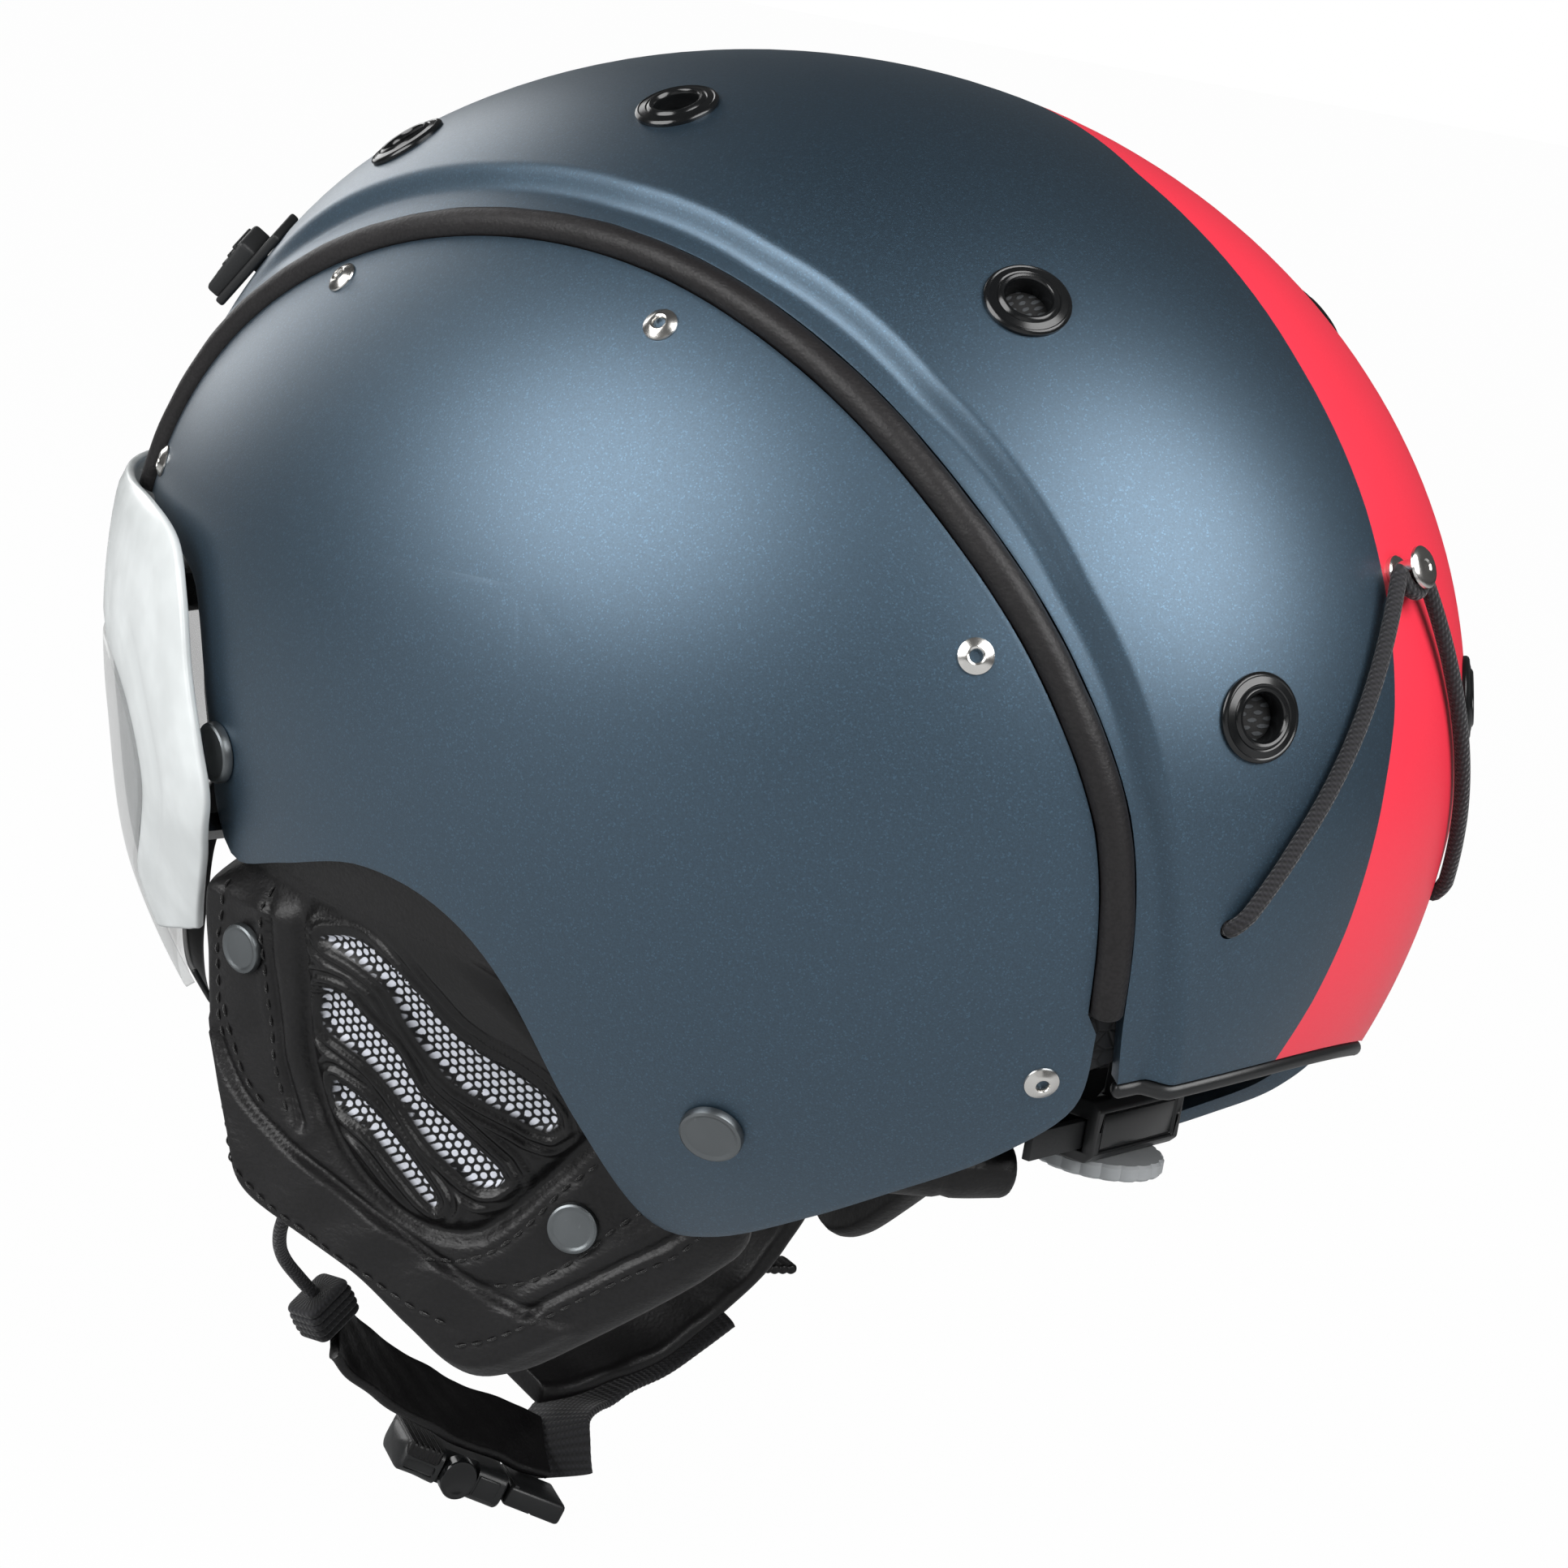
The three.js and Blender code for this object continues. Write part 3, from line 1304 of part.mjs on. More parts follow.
// The housing hangs from the rim of the foam by a bracket of the same piece.
const rimHeight = along(LINER_RIM, BRACKET_TURN);
const bracketTopZ = shell.at(roundWay(BRACKET_TURN, rimHeight), -SHELL_WALL).z - GAP;
const bracketFoot = box(
  [-BRACKET_FOOT_HALF_WIDTH, HOUSING_REAR_Y - BRACKET_WALL, bracketTopZ - BRACKET_WALL],
  [BRACKET_FOOT_HALF_WIDTH, BRACKET_FOOT_Y, bracketTopZ],
);
const bracketStem = box(
  [-BRACKET_HALF_WIDTH, HOUSING_REAR_Y - BRACKET_WALL - HOUSING_ROUND, HOUSING_TOP_Z - HOUSING_ROUND],
  [BRACKET_HALF_WIDTH, HOUSING_REAR_Y - HOUSING_ROUND, bracketTopZ],
);
add('fit_housing', join([housing, bracketFoot, bracketStem]), 'matte');

const dialProfile = [
  [0, -DIAL_HEIGHT],
  [DIAL_RADIUS - DIAL_NOTCH, -DIAL_HEIGHT],
  [DIAL_RADIUS, -DIAL_HEIGHT + DIAL_NOTCH],
  [DIAL_RADIUS, -DIAL_NOTCH],
  [DIAL_RADIUS - DIAL_NOTCH, 0],
  [SHAFT_RADIUS, 0],
  [SHAFT_RADIUS, HOUSING_WALL + GAP + GAP + RACK_HEIGHT],
  [0, HOUSING_WALL + GAP + GAP + RACK_HEIGHT],
];
const dialTop = new Vector3(0, housingMiddleY, HOUSING_FOOT_Z - GAP);
add('fit_dial', lathe(dialProfile, DIAL_TEETH), 'pale', dialTop, UPWARD);

for (const [side, sign] of [['left', 1], ['right', -1]]) {
  const near = housingMiddleY + sign * (SHAFT_RADIUS + GAP);
  const far = near + sign * RACK_WALL;
  const ends = [-sign * RACK_TAIL, sign * RACK_REACH];
  const strip = box(
    [Math.min(...ends), Math.min(near, far), rackFloorZ],
    [Math.max(...ends), Math.max(near, far), rackFloorZ + RACK_HEIGHT],
  );
  add(`fit_rack_${side}`, solidReady(strip), 'matte');
}

// Chin strap pieces.
const chinCord = sweep(route(CHIN_CORD, 8), roundSection(CHIN_CORD_RADIUS, 8));
const keeper = sweep(route(KEEPER_ROUTE, 3), roundedBlock(KEEPER_HALF_WIDTH, KEEPER_HALF_WALL));
add('chin_loop', join([chinCord, keeper]), 'web');
function roundedBlock(w, h) {
  const corner = h / 2;
  return [
    [-w, -h + corner],
    [-w + corner, -h],
    [w - corner, -h],
    [w, -h + corner],
    [w, h - corner],
    [w - corner, h],
    [-w + corner, h],
    [-w, h - corner],
  ];
}
const bandSection = flatSection(CHIN_BAND_HALF_WIDTH, CHIN_BAND_HALF_WALL);
const bandUp = new Vector3(...CHIN_BAND_UP).normalize();
add('chin_band', sweep(route(CHIN_BAND, 12, bandUp), bandSection), 'leather');
const webSection = flatSection(WEBBING_HALF_WIDTH, WEBBING_HALF_WALL);
const outward = new Vector3().addVectors(SIDEWAYS, UPWARD).normalize();
add('chin_webbing', sweep(route(WEBBING, 16, outward), webSection), 'web');
const sleeveSection = roundedBlock(SLEEVE_HALF_WIDTH, SLEEVE_HALF_WALL);
const sleeve = sweep(route(SLEEVE, 12, outward), sleeveSection);
const tabSection = flatSection(SLEEVE_TAB_HALF_WIDTH, SLEEVE_TAB_HALF_WALL);
const tab = sweep(route(SLEEVE_TAB, 2, UPWARD), tabSection);
add('chin_sleeve', join([sleeve, tab]), 'leather');

// Buckle: body, tongue pushed into it and the release pad in a notch in its side.
const buckleAlong = new Vector3(...BUCKLE_ALONG).normalize();
const buckleSide = new Vector3().crossVectors(UPWARD, buckleAlong).normalize();
const buckleUp = new Vector3().crossVectors(buckleAlong, buckleSide);
const buckleFrame = new THREE.Matrix4().makeBasis(buckleAlong, buckleSide, buckleUp);
buckleFrame.setPosition(new Vector3(...BUCKLE_MIDDLE));
const buckleSplit = BUCKLE_HALF_LENGTH * BUCKLE_BODY_SHARE;
function buckleBlock(from, to, halfWidth, halfWall) {
  const ends = [from, to].map((x) => ({ at: new Vector3(x, 0, 0), side: LATHE_AXIS, up: UPWARD }));
  return sweep(ends, roundedBlock(halfWidth, halfWall));
}
const buckleShell = buckleBlock(-BUCKLE_HALF_LENGTH, buckleSplit, BUCKLE_HALF_WIDTH, BUCKLE_HALF_WALL);
const tipRoom = TONGUE_TIP_HALF_WIDTH + GAP;
const tipRise = TONGUE_TIP_HALF_WALL + GAP;
const tipFrom = -tipRoom;
const mouth = box([tipFrom, -tipRoom, -tipRise], [BUCKLE_HALF_LENGTH, tipRoom, tipRise]);
const releaseMiddle = BUCKLE_HALF_LENGTH * RELEASE_PLACE_SHARE;
const notchLength = RELEASE_HALF_LENGTH + GAP;
const releaseOut = BUCKLE_HALF_WIDTH + RELEASE_TRAVEL;
const notchFloor = releaseOut - RELEASE_WALL - RELEASE_TRAVEL - GAP;
const notch = box(
  [releaseMiddle - notchLength, -releaseOut, -BUCKLE_HALF_WALL - GAP],
  [releaseMiddle + notchLength, -notchFloor, BUCKLE_HALF_WALL + GAP],
);
const slotReach = BUCKLE_HALF_WIDTH * BUCKLE_SLOT_SHARE;
const slotFrom = BUCKLE_HALF_WALL - BUCKLE_HALF_LENGTH;
const strapSlot = box(
  [slotFrom, -slotReach, -releaseOut],
  [slotFrom + BUCKLE_HALF_LENGTH * BUCKLE_SLOT_LENGTH_SHARE, slotReach, releaseOut],
);
const buckleBody = cut(buckleShell, [mouth, notch, strapSlot]).applyMatrix4(buckleFrame);
add('buckle_body', buckleBody, 'matte');
const tongueRoot = buckleBlock(buckleSplit + GAP, BUCKLE_HALF_LENGTH, TONGUE_HALF_WIDTH, TONGUE_HALF_WALL);
const tongueTip = box(
  [tipFrom + GAP, -TONGUE_TIP_HALF_WIDTH, -TONGUE_TIP_HALF_WALL],
  [BUCKLE_HALF_LENGTH - GAP, TONGUE_TIP_HALF_WIDTH, TONGUE_TIP_HALF_WALL],
);
add('buckle_tongue', join([tongueRoot, tongueTip]).applyMatrix4(buckleFrame), 'matte');
const releasePad = new THREE.CylinderGeometry(1, 1, RELEASE_WALL, STUD_SIDES);
releasePad.scale(RELEASE_HALF_LENGTH, 1, RELEASE_HALF_HEIGHT);
releasePad.translate(releaseMiddle, RELEASE_WALL / 2 - releaseOut, 0);
add('buckle_release', solidReady(releasePad).applyMatrix4(buckleFrame), 'gloss');

export default helmet;
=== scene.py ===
import math

import bmesh
import bpy
from mathutils import Matrix, Vector


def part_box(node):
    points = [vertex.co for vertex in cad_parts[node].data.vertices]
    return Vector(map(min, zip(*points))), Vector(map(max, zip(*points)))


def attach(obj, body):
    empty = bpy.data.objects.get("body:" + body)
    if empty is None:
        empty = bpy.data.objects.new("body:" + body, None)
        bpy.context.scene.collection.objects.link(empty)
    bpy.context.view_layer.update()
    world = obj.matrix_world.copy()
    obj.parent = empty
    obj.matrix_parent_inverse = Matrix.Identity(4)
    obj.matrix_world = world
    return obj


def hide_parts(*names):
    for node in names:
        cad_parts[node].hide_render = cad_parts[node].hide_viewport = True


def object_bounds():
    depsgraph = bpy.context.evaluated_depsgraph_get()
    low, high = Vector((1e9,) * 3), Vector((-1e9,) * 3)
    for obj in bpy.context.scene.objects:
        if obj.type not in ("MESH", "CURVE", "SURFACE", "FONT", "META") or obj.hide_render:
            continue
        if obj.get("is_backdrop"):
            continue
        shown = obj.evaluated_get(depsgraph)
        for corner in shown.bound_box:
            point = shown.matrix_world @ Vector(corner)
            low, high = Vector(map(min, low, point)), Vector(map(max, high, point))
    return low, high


bl_info = {
    "name": "Visor Ski Helmet",
    "version": (1, 0, 0),
    "blender": (4, 5, 0),
    "location": "View3D > Sidebar > Helmet",
    "description": "Dresses a ski helmet with a lifting visor",
    "category": "Object",
}

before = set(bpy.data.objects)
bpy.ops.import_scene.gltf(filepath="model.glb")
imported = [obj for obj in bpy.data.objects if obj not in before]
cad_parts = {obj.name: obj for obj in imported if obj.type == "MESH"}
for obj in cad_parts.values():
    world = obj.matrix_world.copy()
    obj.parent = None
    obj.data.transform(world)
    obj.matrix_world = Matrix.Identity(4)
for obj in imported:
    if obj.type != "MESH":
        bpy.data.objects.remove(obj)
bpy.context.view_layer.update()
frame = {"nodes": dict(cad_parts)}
MM = 0.001
CAD_WELD = 0.00002
SHEET_ANGLE = 55

# Shapes below are worked out in millimetres, as in the CAD model, and become metres
# when a mesh is made. X runs to the wearer's left, Y to the back and Z up.
STEP = 3.2
SHELL_WALL = 3.0
TRIM_RADIUS = 3.15
TRIM_SINK = 0.4
TRIM_SHARE = 0.9
GAP = 0.3
SIDEWAYS = Vector((1, 0, 0))
BACKWARD = Vector((0, 1, 0))
UPWARD = Vector((0, 0, 1))

# Turn (0 at the back, 90 at the crown) and lean of the seam and of the raised middle's foot.
SEAM = [(173, 37.8), (150, 40.2), (128, 43), (104, 45.2), (80, 46.2), (58, 45.8),
        (36, 43.2), (16, 38), (-2, 31.9), (-17, 27.4), (-24, 24)]
CREASE = [(-30, 16.5), (-20, 19.8), (-12, 23.6), (4, 29.9), (24, 35.7), (48, 40.2),
          (71, 41.7), (90, 41.1), (107, 39.4), (126, 36.4), (150, 33.6), (175, 31.5)]
# Edge of the red paint on the near side: turn, and millimetres from the middle line.
PAINT_EDGE = [(-30, 17), (-18, 14), (-13, 11.7), (-7, 9.7), (-1.5, 8.6), (5, 7.5), (11, 5.6),
              (20, 4.7), (29, 4), (42, 4.2), (57, 2.2), (64, 0.7), (79, -13), (92, -30),
              (104, -50), (118, -75), (140, -100)]
PANEL_EDGE = [(.575, -.2), (.57, -.285), (.5, -.335), (.4, -.375), (.325, -.41), (.235, -.45),
              (.18, -.437), (.132, -.322), (.085, -.213), (.03, -.16), (-.045, -.147),
              (-.13, -.175), (-.195, -.197), (-.217, -.165), (-.225, -.09), (-.27, .008),
              (-.37, .035), (-.44, .054)]
PANEL_MIDDLE = (.06, .09)
# Turn from the front and height angle of the foam's rim.
LINER_RIM = [(0, 6.5), (28, 6.5), (47, 6), (59, 3.5), (65.5, -3), (70, -12), (78, -14),
             (88, -13), (99, -15), (106, -21), (114, -32), (122, -40), (132, -36.5),
             (145, -28), (154, -21), (180, -15.5)]
VENTS = {"front": (27.2, 123.8), "top": (27.9, 93.4), "back": (27.6, 52.5), "rear": (20.3, 11)}
RIVETS = {"brow": (-.437, .092), "front": (-.234, .312), "top": (.091, .331),
          "back": (.4, .1275), "rear": (.528, -.249)}
PANEL_STUD = (.245, -.305)
GUIDE_STUD = (-.208, -.113)
BUTTON_TURN = 22.6
CORD_HOLE = (19.9, -7.3)
SLIDER_PLACE = (27.5, 146)
FRAME_OUTER = [(58.4, -29.6), (62.4, -25), (65.6, -20.4), (67.8, -15.8), (67, -11.2),
               (65.2, -5.9), (63.2, -.5), (59.6, 4.4), (52, 6.3), (42, 6.5), (28, 6.5),
               (14, 6.5), (0, 6.5)]
FRAME_INNER = [(45.2, -32), (45.2, -27.6), (50.4, -23), (54.2, -18.2), (54.2, -14.6),
               (52.2, -11.6), (49, -9.7), (44.4, -8.5), (39, -8), (31, -7.7), (21, -7.6),
               (10.5, -7.6), (0, -7.6)]
LENS_LOW = [(45.6, -37.6), (38, -37.4), (30, -36.2), (20, -33.2), (12, -28.6), (6, -25.4),
            (0, -24.4)]
VISOR_WALL = 2.0
GASKET_WALL = 1.2
BEHIND_VISOR = 2.45
LENS_MARGIN = 0.3
LENS_ROWS = 10
PAD_OUTLINE = [(-58.5, -50), (-62.2, -56.6), (-60.4, -69.4), (-58.3, -82), (-54.7, -92.6),
               (-49.9, -102.9), (-45.2, -113.1), (-33.4, -117.8), (-17.4, -123.1),
               (-4.4, -130.9), (5.6, -136.5), (14.6, -134), (25.2, -125.4), (37.5, -114.1),
               (43.3, -107.9), (47.8, -101.2), (46, -93), (36, -76), (26, -58), (20, -46),
               (0, -34), (-14, -34), (-30, -37), (-44, -44)]
PAD_MIDDLE = (-5, -84)
PAD_STUDS = {"front": (-48.2, -65.3), "rear": (23.3, -102.4)}
NECK_ROUTE = [(51.1, 48.7, -81.7), (47, 60.6, -79.9), (39.6, 71.4, -78.4),
              (30.6, 80, -77.9), (22.5, 84.6, -77.6)]
CHIN_CORD = [(80.2, -38.4, -116.3), (77.5, -42, -124), (71.5, -45.5, -131),
             (65, -45.8, -137), (60.3, -44.6, -141.4)]
KEEPER = [(61, -44.7, -140.2), (56.5, -43.4, -147)]
CHIN_BAND = [(55.6, -43.1, -148.2), (50, -42, -153.2), (40, -40, -160.4), (30, -37.5, -166.2),
             (20, -35, -171.6), (10, -32.2, -175.8), (-0.2, -28.3, -180.4)]
CHIN_BAND_UP = (0.42, 0.3, 0.86)
WEBBING = [(-2.6, -24.6, -186), (-3, -26.6, -181), (-6.6, -30.4, -176.6), (-16, -33.4, -174.4),
           (-23, -33.6, -172.2), (-30, -33.4, -170.2), (-38, -32, -167.6), (-46, -29.4, -162.3),
           (-52.6, -26.6, -156.9)]
SLEEVE = [(-4, -39.5, -168.8), (-16, -36.6, -168), (-27, -35, -166.2), (-36, -33, -163.4),
          (-44, -30.5, -158), (-50, -27.9, -152), (-55, -25, -146), (-59, -22, -138),
          (-60.6, -19, -129), (-61.2, -17.8, -119)]
SLEEVE_TAB = [(-56.5, -24, -147), (-67.5, -18.5, -147)]
BUCKLE_MIDDLE = (18.2, -31, -183.3)
BUCKLE_ALONG = (-.776, .55, -.33)
# The visor's arm runs in a slot of the foam: height angles, and its reach and distance.
SLOT_TURNS = (-37.2, 42)
SLOT_SECTION = [(76.8, 61.4), (108.5, 61.4), (108.5, 83.9), (76.8, 83.9)]
# Cutting pins run from below the shell to above it.
PIN_LOW = -9
PIN_HIGH = 12
FOAM_PIN_LOW = -60
GROMMET_HOLE = 5.9
FOAM_VENT = 4.6
CORD_HOLE_RADIUS = 1.9
SIDES = (("left", 1), ("right", -1))
MIRROR = Matrix.Diagonal((-1, 1, 1, 1))


# Charts of the helmet's surfaces

def lerp(a, b, share):
    return a + (b - a) * share


def smooth(share):
    share = min(1.0, max(0.0, share))
    return share * share * (3 - 2 * share)


def shares(count):
    return [i / count for i in range(count + 1)]


def along(table, x):
    """Value of a table at x, straight between its rows."""
    if x <= table[0][0]:
        return table[0][1]
    for (x0, y0), (x1, y1) in zip(table, table[1:]):
        if x <= x1:
            return lerp(y0, y1, (x - x0) / (x1 - x0))
    return table[-1][1]


def on_spline(knots, share, closed=False):
    """Point of an even spline through the knots, of two or three numbers each."""
    count = len(knots)
    spans = count if closed else count - 1
    place = min(max(share, 0.0), 1.0) * spans
    first = min(int(place), spans - 1)
    t = place - first
    corners = []
    for step in (-1, 0, 1, 2):
        at = first + step
        corners.append(Vector(knots[at % count if closed else min(max(at, 0), count - 1)]))
    a, b, c, d = corners
    return 0.5 * (2 * b + (c - a) * t + (2 * a - 5 * b + 4 * c - d) * t ** 2
                  + (3 * b - a - 3 * c + d) * t ** 3)


def route_points(knots, count):
    """Points at equal steps along the smooth curve through a route, as in the CAD model."""
    points = [Vector(k) for k in knots]
    before = points[0] * 2 - points[1]
    after = points[-1] * 2 - points[-2]
    padded = [before] + points + [after]
    fine = []
    per_span = 12
    for i in range(1, len(padded) - 2):
        p0, p1, p2, p3 = padded[i - 1:i + 3]
        d0, d1, d2 = ((b - a).length ** 0.5 for a, b in ((p0, p1), (p1, p2), (p2, p3)))
        m1 = ((p1 - p0) / d0 - (p2 - p0) / (d0 + d1) + (p2 - p1) / d1) * d1
        m2 = ((p2 - p1) / d1 - (p3 - p1) / (d1 + d2) + (p3 - p2) / d2) * d1
        for k in range(per_span):
            t = k / per_span
            fine.append(p1 + m1 * t + (3 * (p2 - p1) - 2 * m1 - m2) * t ** 2
                        + (2 * (p1 - p2) + m1 + m2) * t ** 3)
    fine.append(points[-1])
    return even_steps(fine, count)


def even_steps(points, count):
    """The same line in equal steps."""
    reach = [0.0]
    for a, b in zip(points, points[1:]):
        reach.append(reach[-1] + (b - a).length)
    even = []
    at = 0
    for share in shares(count):
        goal = share * reach[-1]
        while at < len(points) - 2 and reach[at + 1] < goal:
            at += 1
        span = max(reach[at + 1] - reach[at], 1e-9)
        even.append(points[at].lerp(points[at + 1], min(1.0, (goal - reach[at]) / span)))
    return even


class Dome:
    """An egg made of eight eighths of ellipsoids, with a different reach each way."""

    def __init__(self, side, front, rear, crown, under):
        self.side = side
        self.front = front
        self.rear = rear
        self.crown = crown
        self.under = under

    def axes(self, way):
        depth = self.front if way.y < 0 else self.rear
        height = self.under if way.z < 0 else self.crown
        return Vector((self.side, depth, height))

    def normal(self, way):
        return Vector(w / a for w, a in zip(way, self.axes(way))).normalized()

    def at(self, way, rise=0.0):
        base = Vector(w * a for w, a in zip(way, self.axes(way)))
        return base + self.normal(way) * rise

    def way_to(self, point):
        return Vector(p / a for p, a in zip(point, self.axes(point))).normalized()

    def side_over(self, y, z, rise=0.0):
        """X of the surface over a place given by its Y and Z."""
        axes = self.axes(Vector((0, y, z)))
        level = math.sqrt(max(0.0, 1 - (y / axes.y) ** 2 - (z / axes.z) ** 2))
        way = Vector((level, y / axes.y, z / axes.z))
        return self.side * level + rise / self.normal(way).x


SHELL = Dome(108.5, 147, 138, 116.5, 134)
HEAD = Dome(78, 99, 97, 91, 120)


def over_way(lean, turn):
    lean, turn = math.radians(lean), math.radians(turn)
    level = math.cos(lean)
    return Vector((math.sin(lean), level * math.cos(turn), level * math.sin(turn)))


def side_way(p, q):
    spread = p * p + q * q
    return Vector((1 - spread, 2 * p, 2 * q)) / (1 + spread)


def round_way(turn, height):
    turn, height = math.radians(turn), math.radians(height)
    level = math.cos(height)
    return Vector((level * math.sin(turn), -level * math.cos(turn), math.sin(height)))


def lean_and_turn(way):
    lean = math.degrees(math.asin(max(-1.0, min(1.0, way.x))))
    return lean, math.degrees(math.atan2(way.z, way.y))


def side_shares(way):
    return way.y / (1 + way.x), way.z / (1 + way.x)


def flipped(way):
    return Vector((-way.x, way.y, way.z))


def on_side(way, sign):
    return way if sign > 0 else flipped(way)


def seam_way(share):
    turn, lean = on_spline(SEAM, share)
    return over_way(lean, turn)


def beside_seam(share, reach):
    way = seam_way(share)
    ahead = SHELL.at(seam_way(min(1, share + 0.008))) - SHELL.at(seam_way(max(0, share - 0.008)))
    across = ahead.cross(SHELL.normal(way)).normalized()
    return SHELL.way_to(SHELL.at(way) + across * reach)


def step_share(turn):
    return 1 - smooth((turn - 128) / 30)


def middle_rise(way):
    """How far the raised middle of the shell stands above the dome."""
    lean, turn = lean_and_turn(way)
    inside = along(CREASE, turn) - abs(lean) + 1.3
    return STEP * step_share(turn) * smooth(inside / 2.6)


def foam_rise(way):
    lean, turn = lean_and_turn(way)
    inside = along(CREASE, turn) - 3 - abs(lean)
    return STEP * step_share(turn) * smooth(inside / 8) - SHELL_WALL - 0.9


def visor_rise(turn, height):
    low = smooth((-height - 14) / 14)
    return 6.8 + 2.4 * low * smooth((60 - abs(turn)) / 18)


def pad_x(y, z):
    """Outer face of the ear pad's leather."""
    top = 99 - (y + 10) ** 2 / 454
    low = 90 - (y + 60) ** 2 / 334 - (z + 95) ** 2 / 1666
    loose = lerp(top, low, smooth((-38 - z) / 55))
    if z < -57:
        return loose
    return lerp(loose, SHELL.side_over(y, z, -3.9), smooth((z + 57) / 8))


def pad_normal(y, z):
    over_y = (pad_x(y + 3, z) - pad_x(y - 3, z)) / 6
    over_z = (pad_x(y, z + 3) - pad_x(y, z - 3)) / 6
    return Vector((1, -over_y, -over_z)).normalized()


def facing(direction):
    """Turns the Z axis to a direction."""
    return direction.to_track_quat("Z", "Y").to_matrix().to_4x4()


# The far pad is drawn in towards the chin by the fastened strap.
PAD_ROLL = (Matrix.Translation((-94, 0, -38)) @ Matrix.Rotation(math.radians(-15), 4, "Y")
            @ Matrix.Translation((94, 0, 38)) @ MIRROR)


# Mesh tools

def deselect():
    if bpy.context.object and bpy.context.object.mode != "OBJECT":
        bpy.ops.object.mode_set(mode="OBJECT")
    bpy.ops.object.select_all(action="DESELECT")


def take(name):
    """The primitive just added, under its own name and alone in the selection."""
    piece = bpy.context.object
    piece.name = name
    piece.data.name = name
    return piece


def use(piece):
    deselect()
    piece.select_set(True)
    bpy.context.view_layer.objects.active = piece


def modified(piece, kind, **settings):
    """Adds a modifier, sets it and applies it."""
    use(piece)
    step = piece.modifiers.new(kind.title(), kind)
    for name, value in settings.items():
        setattr(step, name, value)
    bpy.ops.object.modifier_apply(modifier=step.name)
    return piece


def bevelled(piece, edge, angle, segments=3):
    """Rounds the edges sharper than an angle in degrees. edge is in millimetres."""
    return modified(piece, "BEVEL", width=edge * MM, segments=segments, limit_method="ANGLE",
                    angle_limit=math.radians(angle))


def shade(piece, angle=40):
    use(piece)
    bpy.ops.object.shade_smooth_by_angle(angle=math.radians(angle))
    return piece


def outward(piece, merge=0.00001):
    """Merges doubles and turns all faces outward."""
    use(piece)
    bpy.ops.object.mode_set(mode="EDIT")
    bpy.ops.mesh.select_all(action="SELECT")
    bpy.ops.mesh.remove_doubles(threshold=merge)
    bpy.ops.mesh.normals_make_consistent(inside=False)
    bpy.ops.object.mode_set(mode="OBJECT")
    return piece


def patch(name, rows, looped=False, uv=None):
    """A sheet from rows of points in millimetres, with its first face turned as given."""
    deselect()
    body = bpy.data.meshes.new(name)
    count = len(rows[0])
    spans = count if looped else count - 1
    faces = []
    for i in range(len(rows) - 1):
        for j in range(spans):
            k = (j + 1) % count
            faces.append((i * count + j, i * count + k, (i + 1) * count + k, (i + 1) * count + j))
    body.from_pydata([point * MM for row in rows for point in row], [], faces)
    if uv:
        layer = body.uv_layers.new(name="UVMap")
        marks = [uv(i, j) for i in range(len(rows)) for j in range(spans + 1)]
        wide = spans + 1
        for face_at, face in enumerate(body.polygons):
            i, j = divmod(face_at, spans)
            corners = ((i, j), (i, j + 1), (i + 1, j + 1), (i + 1, j))
            for loop_at, (a, b) in zip(face.loop_indices, corners):
                layer.data[loop_at].uv = marks[a * wide + b]
    piece = bpy.data.objects.new(name, body)
    bpy.context.scene.collection.objects.link(piece)
    bpy.context.view_layer.objects.active = piece
    piece.select_set(True)
    return piece


def stations_along(points, ups):
    found = []
    for i, at in enumerate(points):
        ahead = (points[min(i + 1, len(points) - 1)] - points[max(i - 1, 0)]).normalized()
        side = ahead.cross(ups[i]).normalized()
        found.append((at, side, side.cross(ahead)))
    return found


def swept(name, stations, section, closing=0.0, wave=None):
    """A solid along its stations. section gives the outline in millimetres at a share of the
    way; the ends close over a rounded length of closing. UVs run in millimetres."""
    rows = []
    reach = [0.0]
    for (a, _, _), (b, _, _) in zip(stations, stations[1:]):
        reach.append(reach[-1] + (b - a).length)
    total = reach[-1]
    round_steps = 5 if closing else 0
    marks = []
    count = len(section(0.0))

    def ring(i, scale, shift):
        at, side, up = stations[i]
        share = reach[i] / total
        ahead = up.cross(side).normalized()
        row = []
        for a, b in section(share):
            spot = at + side * (a * scale) + up * (b * scale) + ahead * shift
            if wave:
                spot = wave(spot, share, side, up, a, b)
            row.append(spot)
        rows.append(row)
        marks.append(reach[i] + shift)

    for k in range(round_steps):
        angle = math.pi / 2 * k / round_steps
        ring(0, max(math.sin(angle), 0.02), -closing * math.cos(angle))
    for i in range(len(stations)):
        ring(i, 1.0, 0.0)
    for k in reversed(range(round_steps)):
        angle = math.pi / 2 * k / round_steps
        ring(len(stations) - 1, max(math.sin(angle), 0.02), closing * math.cos(angle))
    around = [0.0]
    first = section(0.0)
    for j in range(count):
        a, b = first[j], first[(j + 1) % count]
        around.append(around[-1] + math.dist(a, b))
    piece = patch(name, rows, looped=True, uv=lambda i, j: (marks[i], around[j]))
    body = bmesh.new()
    body.from_mesh(piece.data)
    body.verts.ensure_lookup_table()
    last = len(rows) - 1
    body.faces.new([body.verts[j] for j in reversed(range(count))])
    body.faces.new([body.verts[last * count + j] for j in range(count)])
    body.to_mesh(piece.data)
    body.free()
    return outward(piece, 1e-7)


def circle(radius, sides):
    return [(radius * math.cos(2 * math.pi * k / sides), radius * math.sin(2 * math.pi * k / sides))
            for k in range(sides)]


